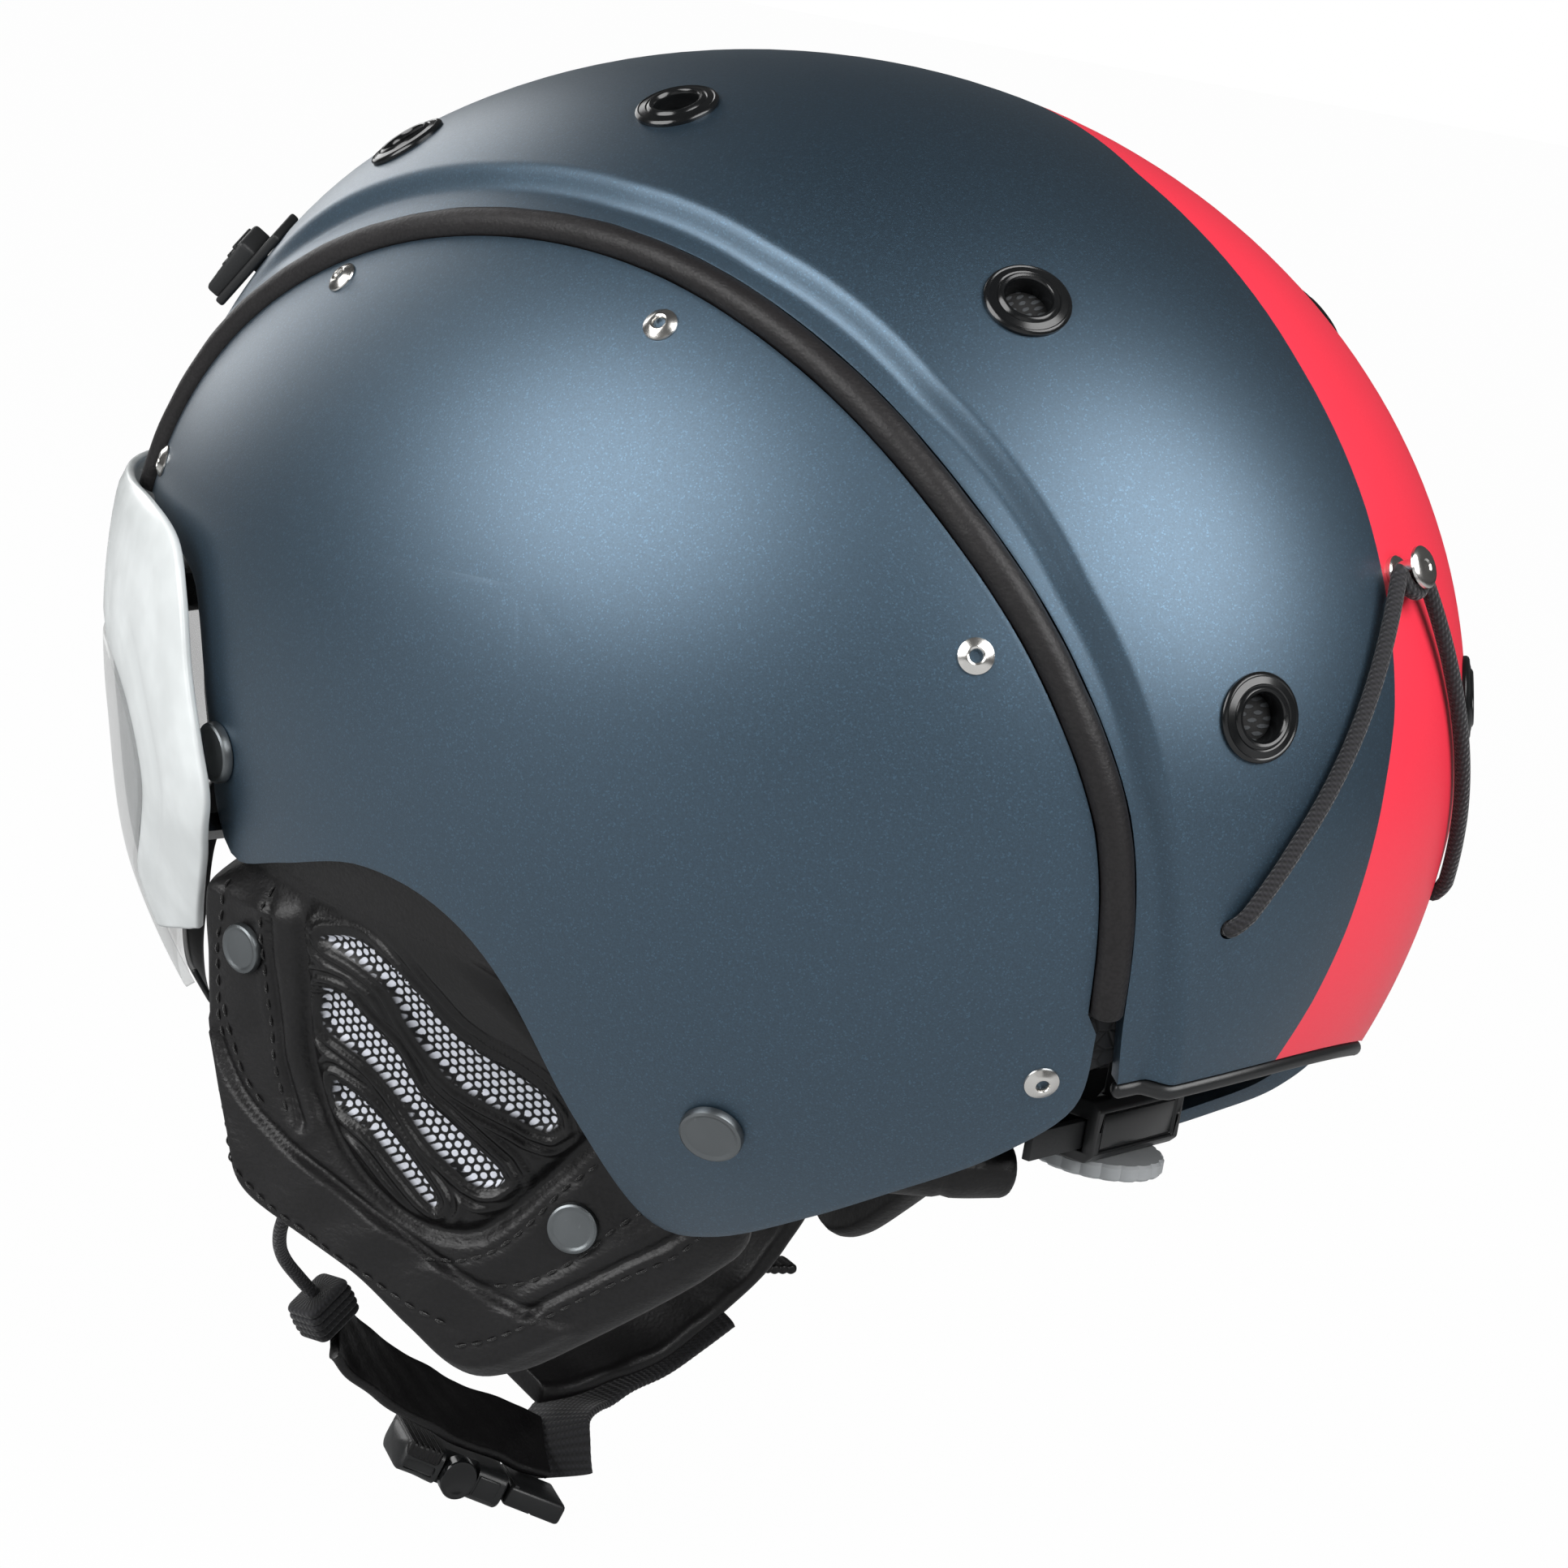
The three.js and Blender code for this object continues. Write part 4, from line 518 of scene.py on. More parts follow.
def slab(half_width, half_wall, corner=None, steps=4):
    """Outline of a flat strap or block with round corners."""
    corner = min(corner or half_wall, half_wall, half_width)
    ring = []
    for cx, cy, start in ((1, 1, 0), (-1, 1, 90), (-1, -1, 180), (1, -1, 270)):
        for k in range(steps + 1):
            angle = math.radians(start + 90 * k / steps)
            ring.append((cx * (half_width - corner) + corner * math.cos(angle),
                         cy * (half_wall - corner) + corner * math.sin(angle)))
    return ring


def turned(name, profile, sides, closed=False):
    """A round piece drawn up ring by ring from a circle, about Z, in millimetres. The profile
    lists (radius, height); the first and last rings close to a point unless closed joins them."""
    deselect()
    radius, height = profile[0]
    bpy.ops.mesh.primitive_circle_add(vertices=sides, radius=radius * MM,
                                      location=(0, 0, height * MM), fill_type="NOTHING")
    piece = take(name)
    bpy.ops.object.transform_apply(location=True, rotation=True, scale=True)
    bpy.ops.object.mode_set(mode="EDIT")
    bpy.ops.mesh.select_all(action="SELECT")
    if not closed:
        bpy.ops.mesh.edge_face_add()
        bpy.ops.mesh.poke()
        bpy.ops.mesh.select_all(action="DESELECT")
        select_where(piece, lambda at: math.hypot(at.x, at.y) > radius * MM * 0.9)
    at_radius, at_height = radius, height
    for next_radius, next_height in profile[1:]:
        bpy.ops.mesh.extrude_edges_move(
            TRANSFORM_OT_translate={"value": (0, 0, (next_height - at_height) * MM)})
        if abs(next_radius - at_radius) > 1e-6:
            size = next_radius / at_radius
            bpy.ops.transform.resize(value=(size, size, 1),
                                     center_override=(0, 0, next_height * MM))
        at_radius, at_height = next_radius, next_height
    if not closed:
        bpy.ops.mesh.edge_face_add()
        bpy.ops.mesh.poke()
    bpy.ops.object.mode_set(mode="OBJECT")
    return outward(piece, 1e-6)


def select_where(piece, test):
    """Selects the edges whose two ends pass a test, in edit mode."""
    bpy.ops.mesh.select_mode(type="EDGE")
    body = bmesh.from_edit_mesh(piece.data)
    for edge in body.edges:
        edge.select = all(test(v.co) for v in edge.verts)
    body.select_flush_mode()
    bmesh.update_edit_mesh(piece.data)


def block(name, low, high, edge=0.5, segments=3):
    """A cube drawn to its two corners in millimetres, with bevelled edges."""
    deselect()
    low, high = Vector(low), Vector(high)
    bpy.ops.mesh.primitive_cube_add(size=1, location=(low + high) / 2 * MM)
    piece = take(name)
    piece.scale = (high - low) * MM
    bpy.ops.object.transform_apply(location=True, rotation=True, scale=True)
    if edge:
        bpy.ops.object.mode_set(mode="EDIT")
        bpy.ops.mesh.select_all(action="SELECT")
        bpy.ops.mesh.bevel(offset=edge * MM, segments=segments, affect="EDGES")
        bpy.ops.object.mode_set(mode="OBJECT")
    return piece


def copied(piece, name, matrix=None):
    """A copy with its own mesh, moved by a matrix in millimetres."""
    twin = piece.copy()
    twin.data = piece.data.copy()
    twin.name = name
    twin.data.name = name
    bpy.context.scene.collection.objects.link(twin)
    if matrix:
        placed(twin, matrix)
    return twin


def placed(piece, matrix):
    shift = Matrix(matrix)
    shift.translation = shift.translation * MM
    piece.data.transform(shift)
    if shift.determinant() < 0:
        piece.data.flip_normals()
    return piece


def merged_copy(node, name):
    """A copy of a CAD node as one closed mesh."""
    source = bpy.data.objects[node]
    piece = source.copy()
    piece.data = source.data.copy()
    piece.name = name
    piece.data.name = name
    piece.hide_render = False
    piece.data.materials.clear()
    bpy.context.scene.collection.objects.link(piece)
    piece.parent = None
    use(piece)
    bpy.ops.object.mode_set(mode="EDIT")
    bpy.ops.mesh.select_all(action="SELECT")
    bpy.ops.mesh.remove_doubles(threshold=CAD_WELD)
    bpy.ops.object.mode_set(mode="OBJECT")
    return piece


def joined(name, pieces):
    deselect()
    for piece in pieces:
        piece.select_set(True)
    bpy.context.view_layer.objects.active = pieces[0]
    bpy.ops.object.join()
    return take(name)


def discard(*pieces):
    for piece in pieces:
        bpy.data.objects.remove(piece, do_unlink=True)


def capped(piece, sides=0):
    """Closes the holes of a mesh that have up to so many sides, or all of them for 0."""
    body = bmesh.new()
    body.from_mesh(piece.data)
    bmesh.ops.holes_fill(body, edges=body.edges, sides=sides)
    body.to_mesh(piece.data)
    body.free()
    return piece


def all_smooth(piece):
    piece.data.polygons.foreach_set("use_smooth", [True] * len(piece.data.polygons))


def cut(piece, tool):
    modified(piece, "BOOLEAN", operation="DIFFERENCE", solver="EXACT", object=tool)
    discard(tool)
    return piece


def finish(piece, look, body="helmet", nodes=(), angle=40):
    """Shades a piece, gives it its material and says what it rides on and stands for."""
    if angle:
        shade(piece, angle)
    looks = look if isinstance(look, (list, tuple)) else [look]
    piece.data.materials.clear()
    for one in looks:
        piece.data.materials.append(one)
    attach(piece, body)
    if nodes:
        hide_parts(*nodes)
    deselect()
    return piece


# Materials

# Distances in materials are in metres.
KNIT_PITCH = 0.0011
WINDOW_PITCH = 0.00185
WINDOW_DOT = 0.37
# Rows of a honeycomb lie closer than its dots, by the root of 3.
HONEYCOMB_ROWS = 1.732


def linear(colour):
    """A colour written as six hex digits, in the renderer's own numbers."""
    parts = [int(colour[k:k + 2], 16) / 255 for k in (0, 2, 4)]
    return tuple(c / 12.92 if c <= 0.04045 else ((c + 0.055) / 1.055) ** 2.4 for c in parts)


def scaled(colour, by, plus=0.0):
    return tuple(c * by + plus for c in colour)


class Signal:
    """A value in a material. Sums on it add maths nodes."""

    def __init__(self, craft, socket):
        self.craft = craft
        self.socket = socket

    def maths(self, operation, *others):
        values = dict(enumerate((self, *others)))
        return self.craft.node("ShaderNodeMath", {"operation": operation}, values)[0]

    def __add__(self, other):
        return self.maths("ADD", other)

    def __mul__(self, other):
        return self.maths("MULTIPLY", other)

    def __sub__(self, other):
        return self.maths("SUBTRACT", other)

    def __truediv__(self, other):
        return self.maths("DIVIDE", other)

    def __pow__(self, other):
        return self.maths("POWER", other)

    def __rsub__(self, other):
        return self.craft.number(other).maths("SUBTRACT", self)

    __radd__ = __add__
    __rmul__ = __mul__

    def sine(self):
        return self.maths("SINE")

    def part(self):
        return self.maths("FRACT")

    def size(self):
        return self.maths("ABSOLUTE")

    def least(self, other):
        return self.maths("MINIMUM", other)

    def ramp(self, low, high):
        """0 at low and 1 at high, with soft ends."""
        settings = {"interpolation_type": "SMOOTHSTEP"}
        values = {"Value": self, "From Min": low, "From Max": high, "To Min": 0.0, "To Max": 1.0}
        return self.craft.node("ShaderNodeMapRange", settings, values)[0]


class Craft:
    """A material under way: one shader, its output and whatever feeds it."""

    def __init__(self, name, **constants):
        self.material = bpy.data.materials.new(name)
        self.material.use_nodes = True
        self.tree = self.material.node_tree
        self.shader = self.tree.nodes["Principled BSDF"]
        self.constants(**constants)

    def constants(self, **values):
        for name, value in values.items():
            self.shader.inputs[name.replace("_", " ")].default_value = value

    def node(self, kind, settings=None, values=None):
        """Adds a node, sets it, then gives its sockets values or links."""
        made = self.tree.nodes.new(kind)
        for name, value in (settings or {}).items():
            if name == "stops":
                stops = made.color_ramp.elements
                while len(stops) < len(value):
                    stops.new(0.5)
                for stop, (at, colour) in zip(stops, value):
                    stop.position = at
                    stop.color = (*colour, 1)
            else:
                setattr(made, name, value)
        for key, value in (values or {}).items():
            socket = made.inputs[key]
            if isinstance(value, Signal):
                self.tree.links.new(value.socket, socket)
            elif isinstance(value, (tuple, list)) and socket.type == "RGBA":
                socket.default_value = (*value[:3], 1)
            else:
                socket.default_value = value
        return [Signal(self, out) for out in made.outputs if out.enabled]

    def number(self, value):
        made = self.tree.nodes.new("ShaderNodeValue")
        made.outputs[0].default_value = value
        return Signal(self, made.outputs[0])

    def place(self):
        return self.named("ShaderNodeTexCoord", "Object")

    def named(self, kind, output, settings=None, values=None):
        self.node(kind, settings, values)
        return Signal(self, self.tree.nodes[-1].outputs[output])

    def mapped(self, coords, scale, rotation=(0, 0, 0)):
        values = {"Vector": coords, "Scale": scale, "Rotation": rotation}
        return self.node("ShaderNodeMapping", {}, values)[0]

    def noise(self, coords, scale, detail=2.0, roughness=0.5):
        values = {"Vector": coords, "Scale": scale, "Detail": detail, "Roughness": roughness}
        return self.named("ShaderNodeTexNoise", "Fac", {}, values)

    def cells(self, coords, scale, feature="F1", output="Distance"):
        values = {"Vector": coords, "Scale": scale}
        return self.named("ShaderNodeTexVoronoi", output, {"feature": feature}, values)

    def parts(self, coords):
        return self.node("ShaderNodeSeparateXYZ", {}, {"Vector": coords})

    def attribute(self, name):
        return self.named("ShaderNodeAttribute", "Fac", {"attribute_name": name})

    def uv(self):
        return self.named("ShaderNodeUVMap", "UV", {"uv_map": "UVMap"})

    def mix(self, share, a, b):
        """Blends two colours."""
        settings = {"data_type": "RGBA"}
        self.node("ShaderNodeMix", settings)
        made = self.tree.nodes[-1]
        for key, value in ((0, share), (6, a), (7, b)):
            if isinstance(value, Signal):
                self.tree.links.new(value.socket, made.inputs[key])
            elif key:
                made.inputs[key].default_value = (*value[:3], 1)
            else:
                made.inputs[key].default_value = value
        return Signal(self, made.outputs[2])

    def bump(self, height, depth, strength=1.0, under=None):
        """depth is in metres."""
        values = {"Height": height, "Distance": depth, "Strength": strength}
        if under:
            values["Normal"] = under
        return self.node("ShaderNodeBump", {}, values)[0]

    def feed(self, **links):
        for name, value in links.items():
            self.tree.links.new(value.socket, self.shader.inputs[name.replace("_", " ")])
        return self.material


def shell_paint(colour, stripe):
    """Satin blue-grey metallic paint with fine flakes, and flat red past its edge."""
    craft = Craft("shell_paint", Coat_Roughness=0.44)
    at = craft.place()
    flake = craft.cells(at, 3600, output="Color")
    glint, tint, _ = craft.parts(flake)
    grain = craft.noise(at, 2400, 2.0, 0.6)
    broad = craft.noise(at, 14, 2.0)
    red = craft.attribute("stripe").ramp(-0.0001, 0.0001)
    base = craft.mix(grain.ramp(0.25, 0.8), scaled(colour, 0.84),
                     tuple(min(1, c * 1.16) for c in colour))
    base = craft.mix(broad.ramp(0.3, 0.75) * 0.3, base, scaled(colour, 0.93))
    spark = craft.mix(glint.ramp(0.86, 0.99) * 0.4, base, tuple(min(1, c * 2.3) for c in colour))
    warm = craft.mix(broad.ramp(0.35, 0.7), stripe, scaled(stripe, 0.95))
    paint = craft.mix(red, spark, warm)
    rough = 0.42 + tint * 0.06 - red * 0.04
    metal = (1 - red) * 0.85
    tilt = craft.bump(glint * (1 - red), 0.00006, 0.35)
    return craft.feed(Base_Color=paint, Roughness=rough, Metallic=metal, Normal=tilt,
                      Coat_Weight=1 - red * 0.75)


def leather(name, colour, rough, grain, crease):
    """Leather with pebbled grain, faint creases and a paler worn cast."""
    craft = Craft(name, Specular_IOR_Level=0.36)
    at = craft.place()
    pebble = craft.cells(at, grain, "SMOOTH_F1")
    fine = craft.noise(at, grain * 1.9, 3.0, 0.6)
    folds = craft.noise(craft.mapped(at, (1.0, 0.7, 1.6)), 95, 4.0, 0.62)
    broad = craft.noise(at, 22, 2.0)
    tone = craft.mix(broad.ramp(0.42, 0.8) * 0.55, colour, scaled(colour, 1.8, 0.002))
    tone = craft.mix(pebble.ramp(0.32, 0.62) * 0.5, tone, scaled(colour, 0.45))
    skin = craft.bump(pebble * -0.7 + fine * 0.4, 0.00012, 0.55)
    skin = craft.bump(folds.ramp(0.3, 0.75), 0.0007, crease * 0.5, skin)
    gloss = rough - 0.1 + fine * 0.12 + pebble * 0.14
    return craft.feed(Base_Color=tone, Roughness=gloss, Normal=skin)


def moulded(name, colour, rough, speck=900, relief=0.00003, metal=0.0, scratched=0.25):
    """Moulded plastic or coated metal: a fine texture, faint handling marks and dust."""
    craft = Craft(name)
    at = craft.place()
    grainy = craft.noise(at, speck, 3.0, 0.55)
    marks = craft.noise(craft.mapped(at, (40, 900, 260), (0.3, 0.8, 0.2)), 1.0, 4.0, 0.7)
    dull = craft.noise(at, 60, 3.0)
    tone = craft.mix(dull.ramp(0.35, 0.75) * 0.5, colour, scaled(colour, 1.35, 0.003))
    tone = craft.mix(marks.ramp(0.66, 0.74) * scratched, tone, scaled(colour, 1.9, 0.01))
    gloss = rough + (grainy - 0.5) * 0.12 + marks.ramp(0.62, 0.75) * 0.12 * scratched + dull * 0.05
    skin = craft.bump(grainy, relief, 0.5)
    craft.constants(Metallic=metal)
    return craft.feed(Base_Color=tone, Roughness=gloss, Normal=skin)


def lens_plastic(colour, clearness):
    craft = Craft("lens_plastic", IOR=1.5, Coat_Weight=0.6, Coat_Roughness=0.03)
    at = craft.place()
    haze = craft.noise(at, 45, 3.0)
    fine = craft.noise(craft.mapped(at, (30, 700, 500)), 1.0, 3.0)
    tone = craft.mix(haze.ramp(0.3, 0.7), colour, scaled(colour, 0.8))
    return craft.feed(Base_Color=tone, Roughness=0.06 + fine * 0.05,
                      Alpha=clearness + haze * 0.08)


def bead_foam(colour):
    """Moulded bead foam: flat-faced beads pressed together."""
    craft = Craft("bead_foam")
    at = craft.place()
    bead = craft.cells(at, 330, "F2")
    wall = craft.cells(at, 330, "DISTANCE_TO_EDGE")
    tint = craft.parts(craft.cells(at, 330, output="Color"))[1]
    tone = craft.mix(tint * 0.6, colour, scaled(colour, 1.7))
    tone = craft.mix(1 - wall.ramp(0.0, 0.09), tone, scaled(colour, 0.35))
    skin = craft.bump(wall.ramp(0.0, 0.16) + bead * 0.2, 0.0004, 0.7)
    return craft.feed(Base_Color=tone, Roughness=0.72 + tint * 0.2, Normal=skin)


def knit(name, colour):
    """Knitted lining: rows of small loops."""
    craft = Craft(name, Sheen_Weight=0.25, Sheen_Roughness=0.5)
    at = craft.place()
    x, y, z = craft.parts(at)
    turn = 2 * math.pi / KNIT_PITCH
    wobble = craft.noise(at, 900, 2.0) * 2.4
    loops = ((x + z * 0.6) * turn + wobble).sine() * ((y - z * 0.7) * turn * 1.3 + wobble).sine()
    fuzz = craft.noise(at, 3200, 3.0, 0.7)
    tone = craft.mix(loops.ramp(-0.7, 0.9), scaled(colour, 0.45),
                     scaled(colour, 1.5))
    tone = craft.mix(fuzz.ramp(0.55, 0.8) * 0.3, tone, scaled(colour, 2.4))
    skin = craft.bump(loops * 0.5 + fuzz * 0.5, 0.0003, 0.7)
    return craft.feed(Base_Color=tone, Roughness=0.84 + fuzz * 0.12, Normal=skin)


def woven(name, colour, rib, cross, slant=0.0):
    """Webbing or braid along its own length: rib and cross are thread widths in millimetres."""
    craft = Craft(name, Sheen_Weight=0.2, Sheen_Roughness=0.5)
    u, v, _ = craft.parts(craft.uv())
    ahead = u + v * slant
    over = v - u * slant
    ribs = (ahead * (2 * math.pi / rib)).sine()
    threads = (over * (2 * math.pi / cross)).sine()
    weave = ribs * 0.6 + threads * ribs * 0.5
    fuzz = craft.noise(craft.place(), 4200, 3.0, 0.7)
    tone = craft.mix(weave.ramp(-0.8, 0.8), scaled(colour, 0.35),
                     scaled(colour, 1.6))
    tone = craft.mix(fuzz.ramp(0.6, 0.85) * 0.4, tone, scaled(colour, 3))
    skin = craft.bump(weave * 0.5 + fuzz * 0.25, 0.0003, 0.8)
    return craft.feed(Base_Color=tone, Roughness=0.78 + fuzz * 0.15, Normal=skin)


def honeycomb(a, b, pitch, share, waver):
    """1 on the dots of a honeycomb pattern and 0 between them. share is a dot's radius for
    a pitch of 1, and waver makes its rim uneven."""
    p = a * 0.94 + b * 0.34
    q = b * 0.94 - a * 0.34

    def spots(shift):
        down = ((q / (pitch * HONEYCOMB_ROWS) + shift).part() - 0.5) * HONEYCOMB_ROWS
        across = (p / pitch + shift).part() - 0.5
        return (across * across + down * down) ** 0.5

    near = spots(0.0).least(spots(0.5))
    return 1 - (near + waver).ramp(share - 0.07, share + 0.03)


def netting(name, ground, dots, pitch, share):
    """Perforated mesh: pale dots in a honeycomb pattern on a dark ground."""
    craft = Craft(name)
    _, y, z = craft.parts(craft.place())
    fuzz = craft.noise(craft.place(), 2600, 3.0, 0.7)
    on = honeycomb(y, z, pitch, share, (fuzz - 0.5) * 0.1)
    pale = craft.mix(fuzz.ramp(0.3, 0.7), dots, scaled(dots, 0.7))
    tone = craft.mix(on, ground, pale)
    skin = craft.bump(on * 0.8 - fuzz * 0.3, 0.0003, 0.6)
    return craft.feed(Base_Color=tone, Roughness=0.7 + fuzz * 0.2, Normal=skin)


# Sizes and colours

def colour_of(digits, name, about):
    return bpy.props.FloatVectorProperty(name=name, description=about, subtype="COLOR",
                                         default=linear(digits), size=3, min=0, max=1)


def length_of(value, name, about):
    return bpy.props.FloatProperty(name=name, description=about, default=value * MM,
                                   unit="LENGTH", subtype="DISTANCE", min=0, precision=5)


class HelmetColours(bpy.types.PropertyGroup):
    shell: colour_of("314a5c", "Shell", "Metallic paint of the shell")
    stripe: colour_of("ee3348", "Stripe", "Paint past the edge on the raised middle")
    leather: colour_of("0f0e0f", "Leather", "Ear pads, chin strap and neck pads")
    trim: colour_of("161415", "Trim", "Padded edging along the seams")
    frame: colour_of("d4d8d8", "Visor frame", "Gloss plastic round the lens")
    lens: colour_of("8f9696", "Lens", "Tint of the clear lens")
    lining: colour_of("24262a", "Lining", "Knitted padding inside")
    dots: colour_of("d6d9e2", "Window dots", "Pale dots behind the ear pad's windows")


class HelmetSizes(bpy.types.PropertyGroup):
    grommet_radius: length_of(8, "Grommet radius", "Outer radius of a vent grommet")
    bore_radius: length_of(4.2, "Vent bore radius", "Clear radius through a vent grommet")
    rivet_radius: length_of(3.3, "Rivet radius", "Outer radius of a hollow rivet")
    stud_radius: length_of(6, "Stud radius", "Radius of the studs on the side panels")
    pad_stud_radius: length_of(5, "Pad stud radius", "Radius of the studs on the ear pads")
    cord_radius: length_of(1.5, "Cord radius", "Half the stretch cord's thickness")
    stitch: length_of(2.2, "Stitch", "Length of one stitch")
    stitch_gap: length_of(1.1, "Stitch gap", "Leather showing between two stitches")
    lens_clearness: bpy.props.FloatProperty(
        name="Lens body", description="How much of what is behind the lens it hides",
        default=0.3, min=0, max=1, subtype="FACTOR")


LOOKS = {}


def colours():
    return bpy.context.scene.helmet_colours


def sizes():
    return bpy.context.scene.helmet_sizes


class HelmetOperator(bpy.types.Operator):
    bl_options = {"REGISTER", "UNDO"}

    def execute(self, context):
        self.make()
        return {"FINISHED"}


class HELMET_OT_finishes(HelmetOperator):
    """Mixes every paint, plastic, metal, leather and cloth of the helmet"""
    bl_idname = "helmet.finishes"
    bl_label = "Finishes"

    def make(self):
        tints = colours()
        hide = tuple(tints.leather)
        LOOKS["shell"] = shell_paint(tuple(tints.shell), tuple(tints.stripe))
        LOOKS["trim"] = leather("trim_leather", tuple(tints.trim), 0.5, 1700, 0.35)
        LOOKS["leather"] = leather("pad_leather", hide, 0.42, 1500, 0.5)
        LOOKS["strap"] = leather("strap_leather", hide, 0.4, 1300, 0.3)
        LOOKS["gloss"] = moulded("gloss_plastic", linear("0f1011"), 0.16, 500, 0.00001)
        LOOKS["matte"] = moulded("matte_plastic", linear("191a1b"), 0.5, 1500, 0.00006)
        LOOKS["satin"] = moulded("satin_plastic", linear("161718"), 0.34, 1100, 0.00003)
        LOOKS["nickel"] = moulded("bright_nickel", linear("d6d4d0"), 0.2, 400, 0.00001, 1.0, 0.5)
        LOOKS["gunmetal"] = moulded("gunmetal", linear("6e7274"), 0.36, 2400, 0.00002, 1.0, 0.6)
        LOOKS["frame"] = moulded("frame_plastic", tuple(tints.frame), 0.2, 300, 0.000006, 0, 0.05)
        LOOKS["pale"] = moulded("pale_plastic", linear("9b9ea0"), 0.45, 1200, 0.00003)
        LOOKS["lens"] = lens_plastic(tuple(tints.lens), sizes().lens_clearness)
        LOOKS["foam"] = bead_foam(linear("1d1e20"))
        LOOKS["lining"] = knit("knitted_lining", tuple(tints.lining))
        LOOKS["web"] = woven("ribbed_webbing", linear("17171a"), 1.5, 1.0)
        LOOKS["braid"] = woven("braided_cord", linear("17161a"), 1.2, 1.05, 0.55)
        LOOKS["thread"] = woven("stitching_thread", linear("0c0b0b"), 0.5, 0.5, 0.6)
        LOOKS["net"] = netting("vent_net", linear("0a0a0b"), linear("3e4144"), 0.0014, 0.3)


# Shell

def middle_way(share, portion, foot=None):
    """A place on the middle of the shell: share runs from brow to nape, and portion from
    the left seam, 1, to the right one, -1."""
    foot = foot or lean_and_turn(beside_seam(share, -TRIM_RADIUS - GAP))
    bow = 5.5 * share ** 6 + 1.2 * (1 - share) ** 6
    return over_way(portion * foot[0], foot[1] + bow * (1 - portion ** 2))


def paint_marks(piece):
    """Marks how far each point lies inside the red, in metres."""
    mark = piece.data.attributes.new("stripe", "FLOAT", "POINT")
    values = []
    for corner in piece.data.vertices:
        at = corner.co / MM
        lean, turn = lean_and_turn(SHELL.way_to(at))
        inside = along(PAINT_EDGE, turn) - at.x
        if at.x < 0:
            inside = min(inside, (along(CREASE, turn) - 1.2 - abs(lean)) * 2)
        values.append(inside * MM)
    mark.data.foreach_set("value", values)


def rod(way, radius, low=PIN_LOW, sides=40):
    """A straight pin through the shell, for cutting a hole."""
    deselect()
    bpy.ops.mesh.primitive_cylinder_add(vertices=sides, radius=radius * MM,
                                        depth=(PIN_HIGH - low) * MM,
                                        location=(0, 0, (low + PIN_HIGH) / 2 * MM))
    pin = take("pin")
    bpy.ops.object.transform_apply(location=True, rotation=True, scale=True)
    return placed(pin, Matrix.Translation(SHELL.at(way)) @ facing(SHELL.normal(way)))


def vent_ways():
    found = {}
    for name, (lean, turn) in VENTS.items():
        found[name + "_left"] = over_way(lean, turn)
        found[name + "_right"] = flipped(over_way(lean, turn))
    return found


def surface_frame(way, rise):
    """A frame on the middle of the shell: X across, Y along the slide, Z out."""
    out = SHELL.normal(way)
    slide = SIDEWAYS.cross(out).normalized()
    side = out.cross(slide)
    turn = Matrix((side, out, slide)).transposed().to_4x4()
    return Matrix.Translation(SHELL.at(way, rise)) @ turn


def walled(piece, wall, edge=0.6, segments=3):
    """Turns a sheet's faces outward, gives it its wall and rounds its rim."""
    body = piece.data
    score = sum(face.normal.dot(face.center) for face in body.polygons)
    if score < 0:
        body.flip_normals()
    modified(piece, "SOLIDIFY", thickness=wall * MM, offset=-1, use_even_offset=True)
    return bevelled(piece, edge, SHEET_ANGLE, segments)


class HELMET_OT_middle(HelmetOperator):
    """Raised middle of the shell, with its holes and painted edge"""
    bl_idname = "helmet.middle"
    bl_label = "Shell middle"

    def make(self):
        rows = []
        for share in shares(112):
            foot = lean_and_turn(beside_seam(share, -TRIM_RADIUS - GAP))
            crease = along(CREASE, foot[1])
            leans = [lerp(foot[0], crease + 1.7, k / 5) for k in range(5)]
            leans += [lerp(crease + 1.7, crease - 1.7, k / 9) for k in range(9)]
            leans += [lerp(crease - 1.7, 0, k / 20) for k in range(21)]
            half = [middle_way(share, lean / foot[0], foot) for lean in leans]
            ways = half + [flipped(way) for way in reversed(half[:-1])]
            rows.append([SHELL.at(way, middle_rise(way)) for way in ways])
        piece = walled(patch("shell_middle", rows), SHELL_WALL)
        pins = [rod(way, GROMMET_HOLE) for way in vent_ways().values()]
        for _, sign in SIDES:
            hole = on_side(over_way(*CORD_HOLE), sign)
            pins.append(rod(hole, CORD_HOLE_RADIUS, sides=24))
        for _, sign in SIDES:
            slot = block("slot", (-1.9, -6.2, -4.9), (1.9, 6.2, 4.9), 0)
            way = on_side(over_way(*SLIDER_PLACE), sign)
            pins.append(placed(slot, surface_frame(way, 0)))
        cut(piece, joined("pins", pins))
        paint_marks(piece)
        finish(piece, LOOKS["shell"], nodes=["centre_shell"], angle=38)


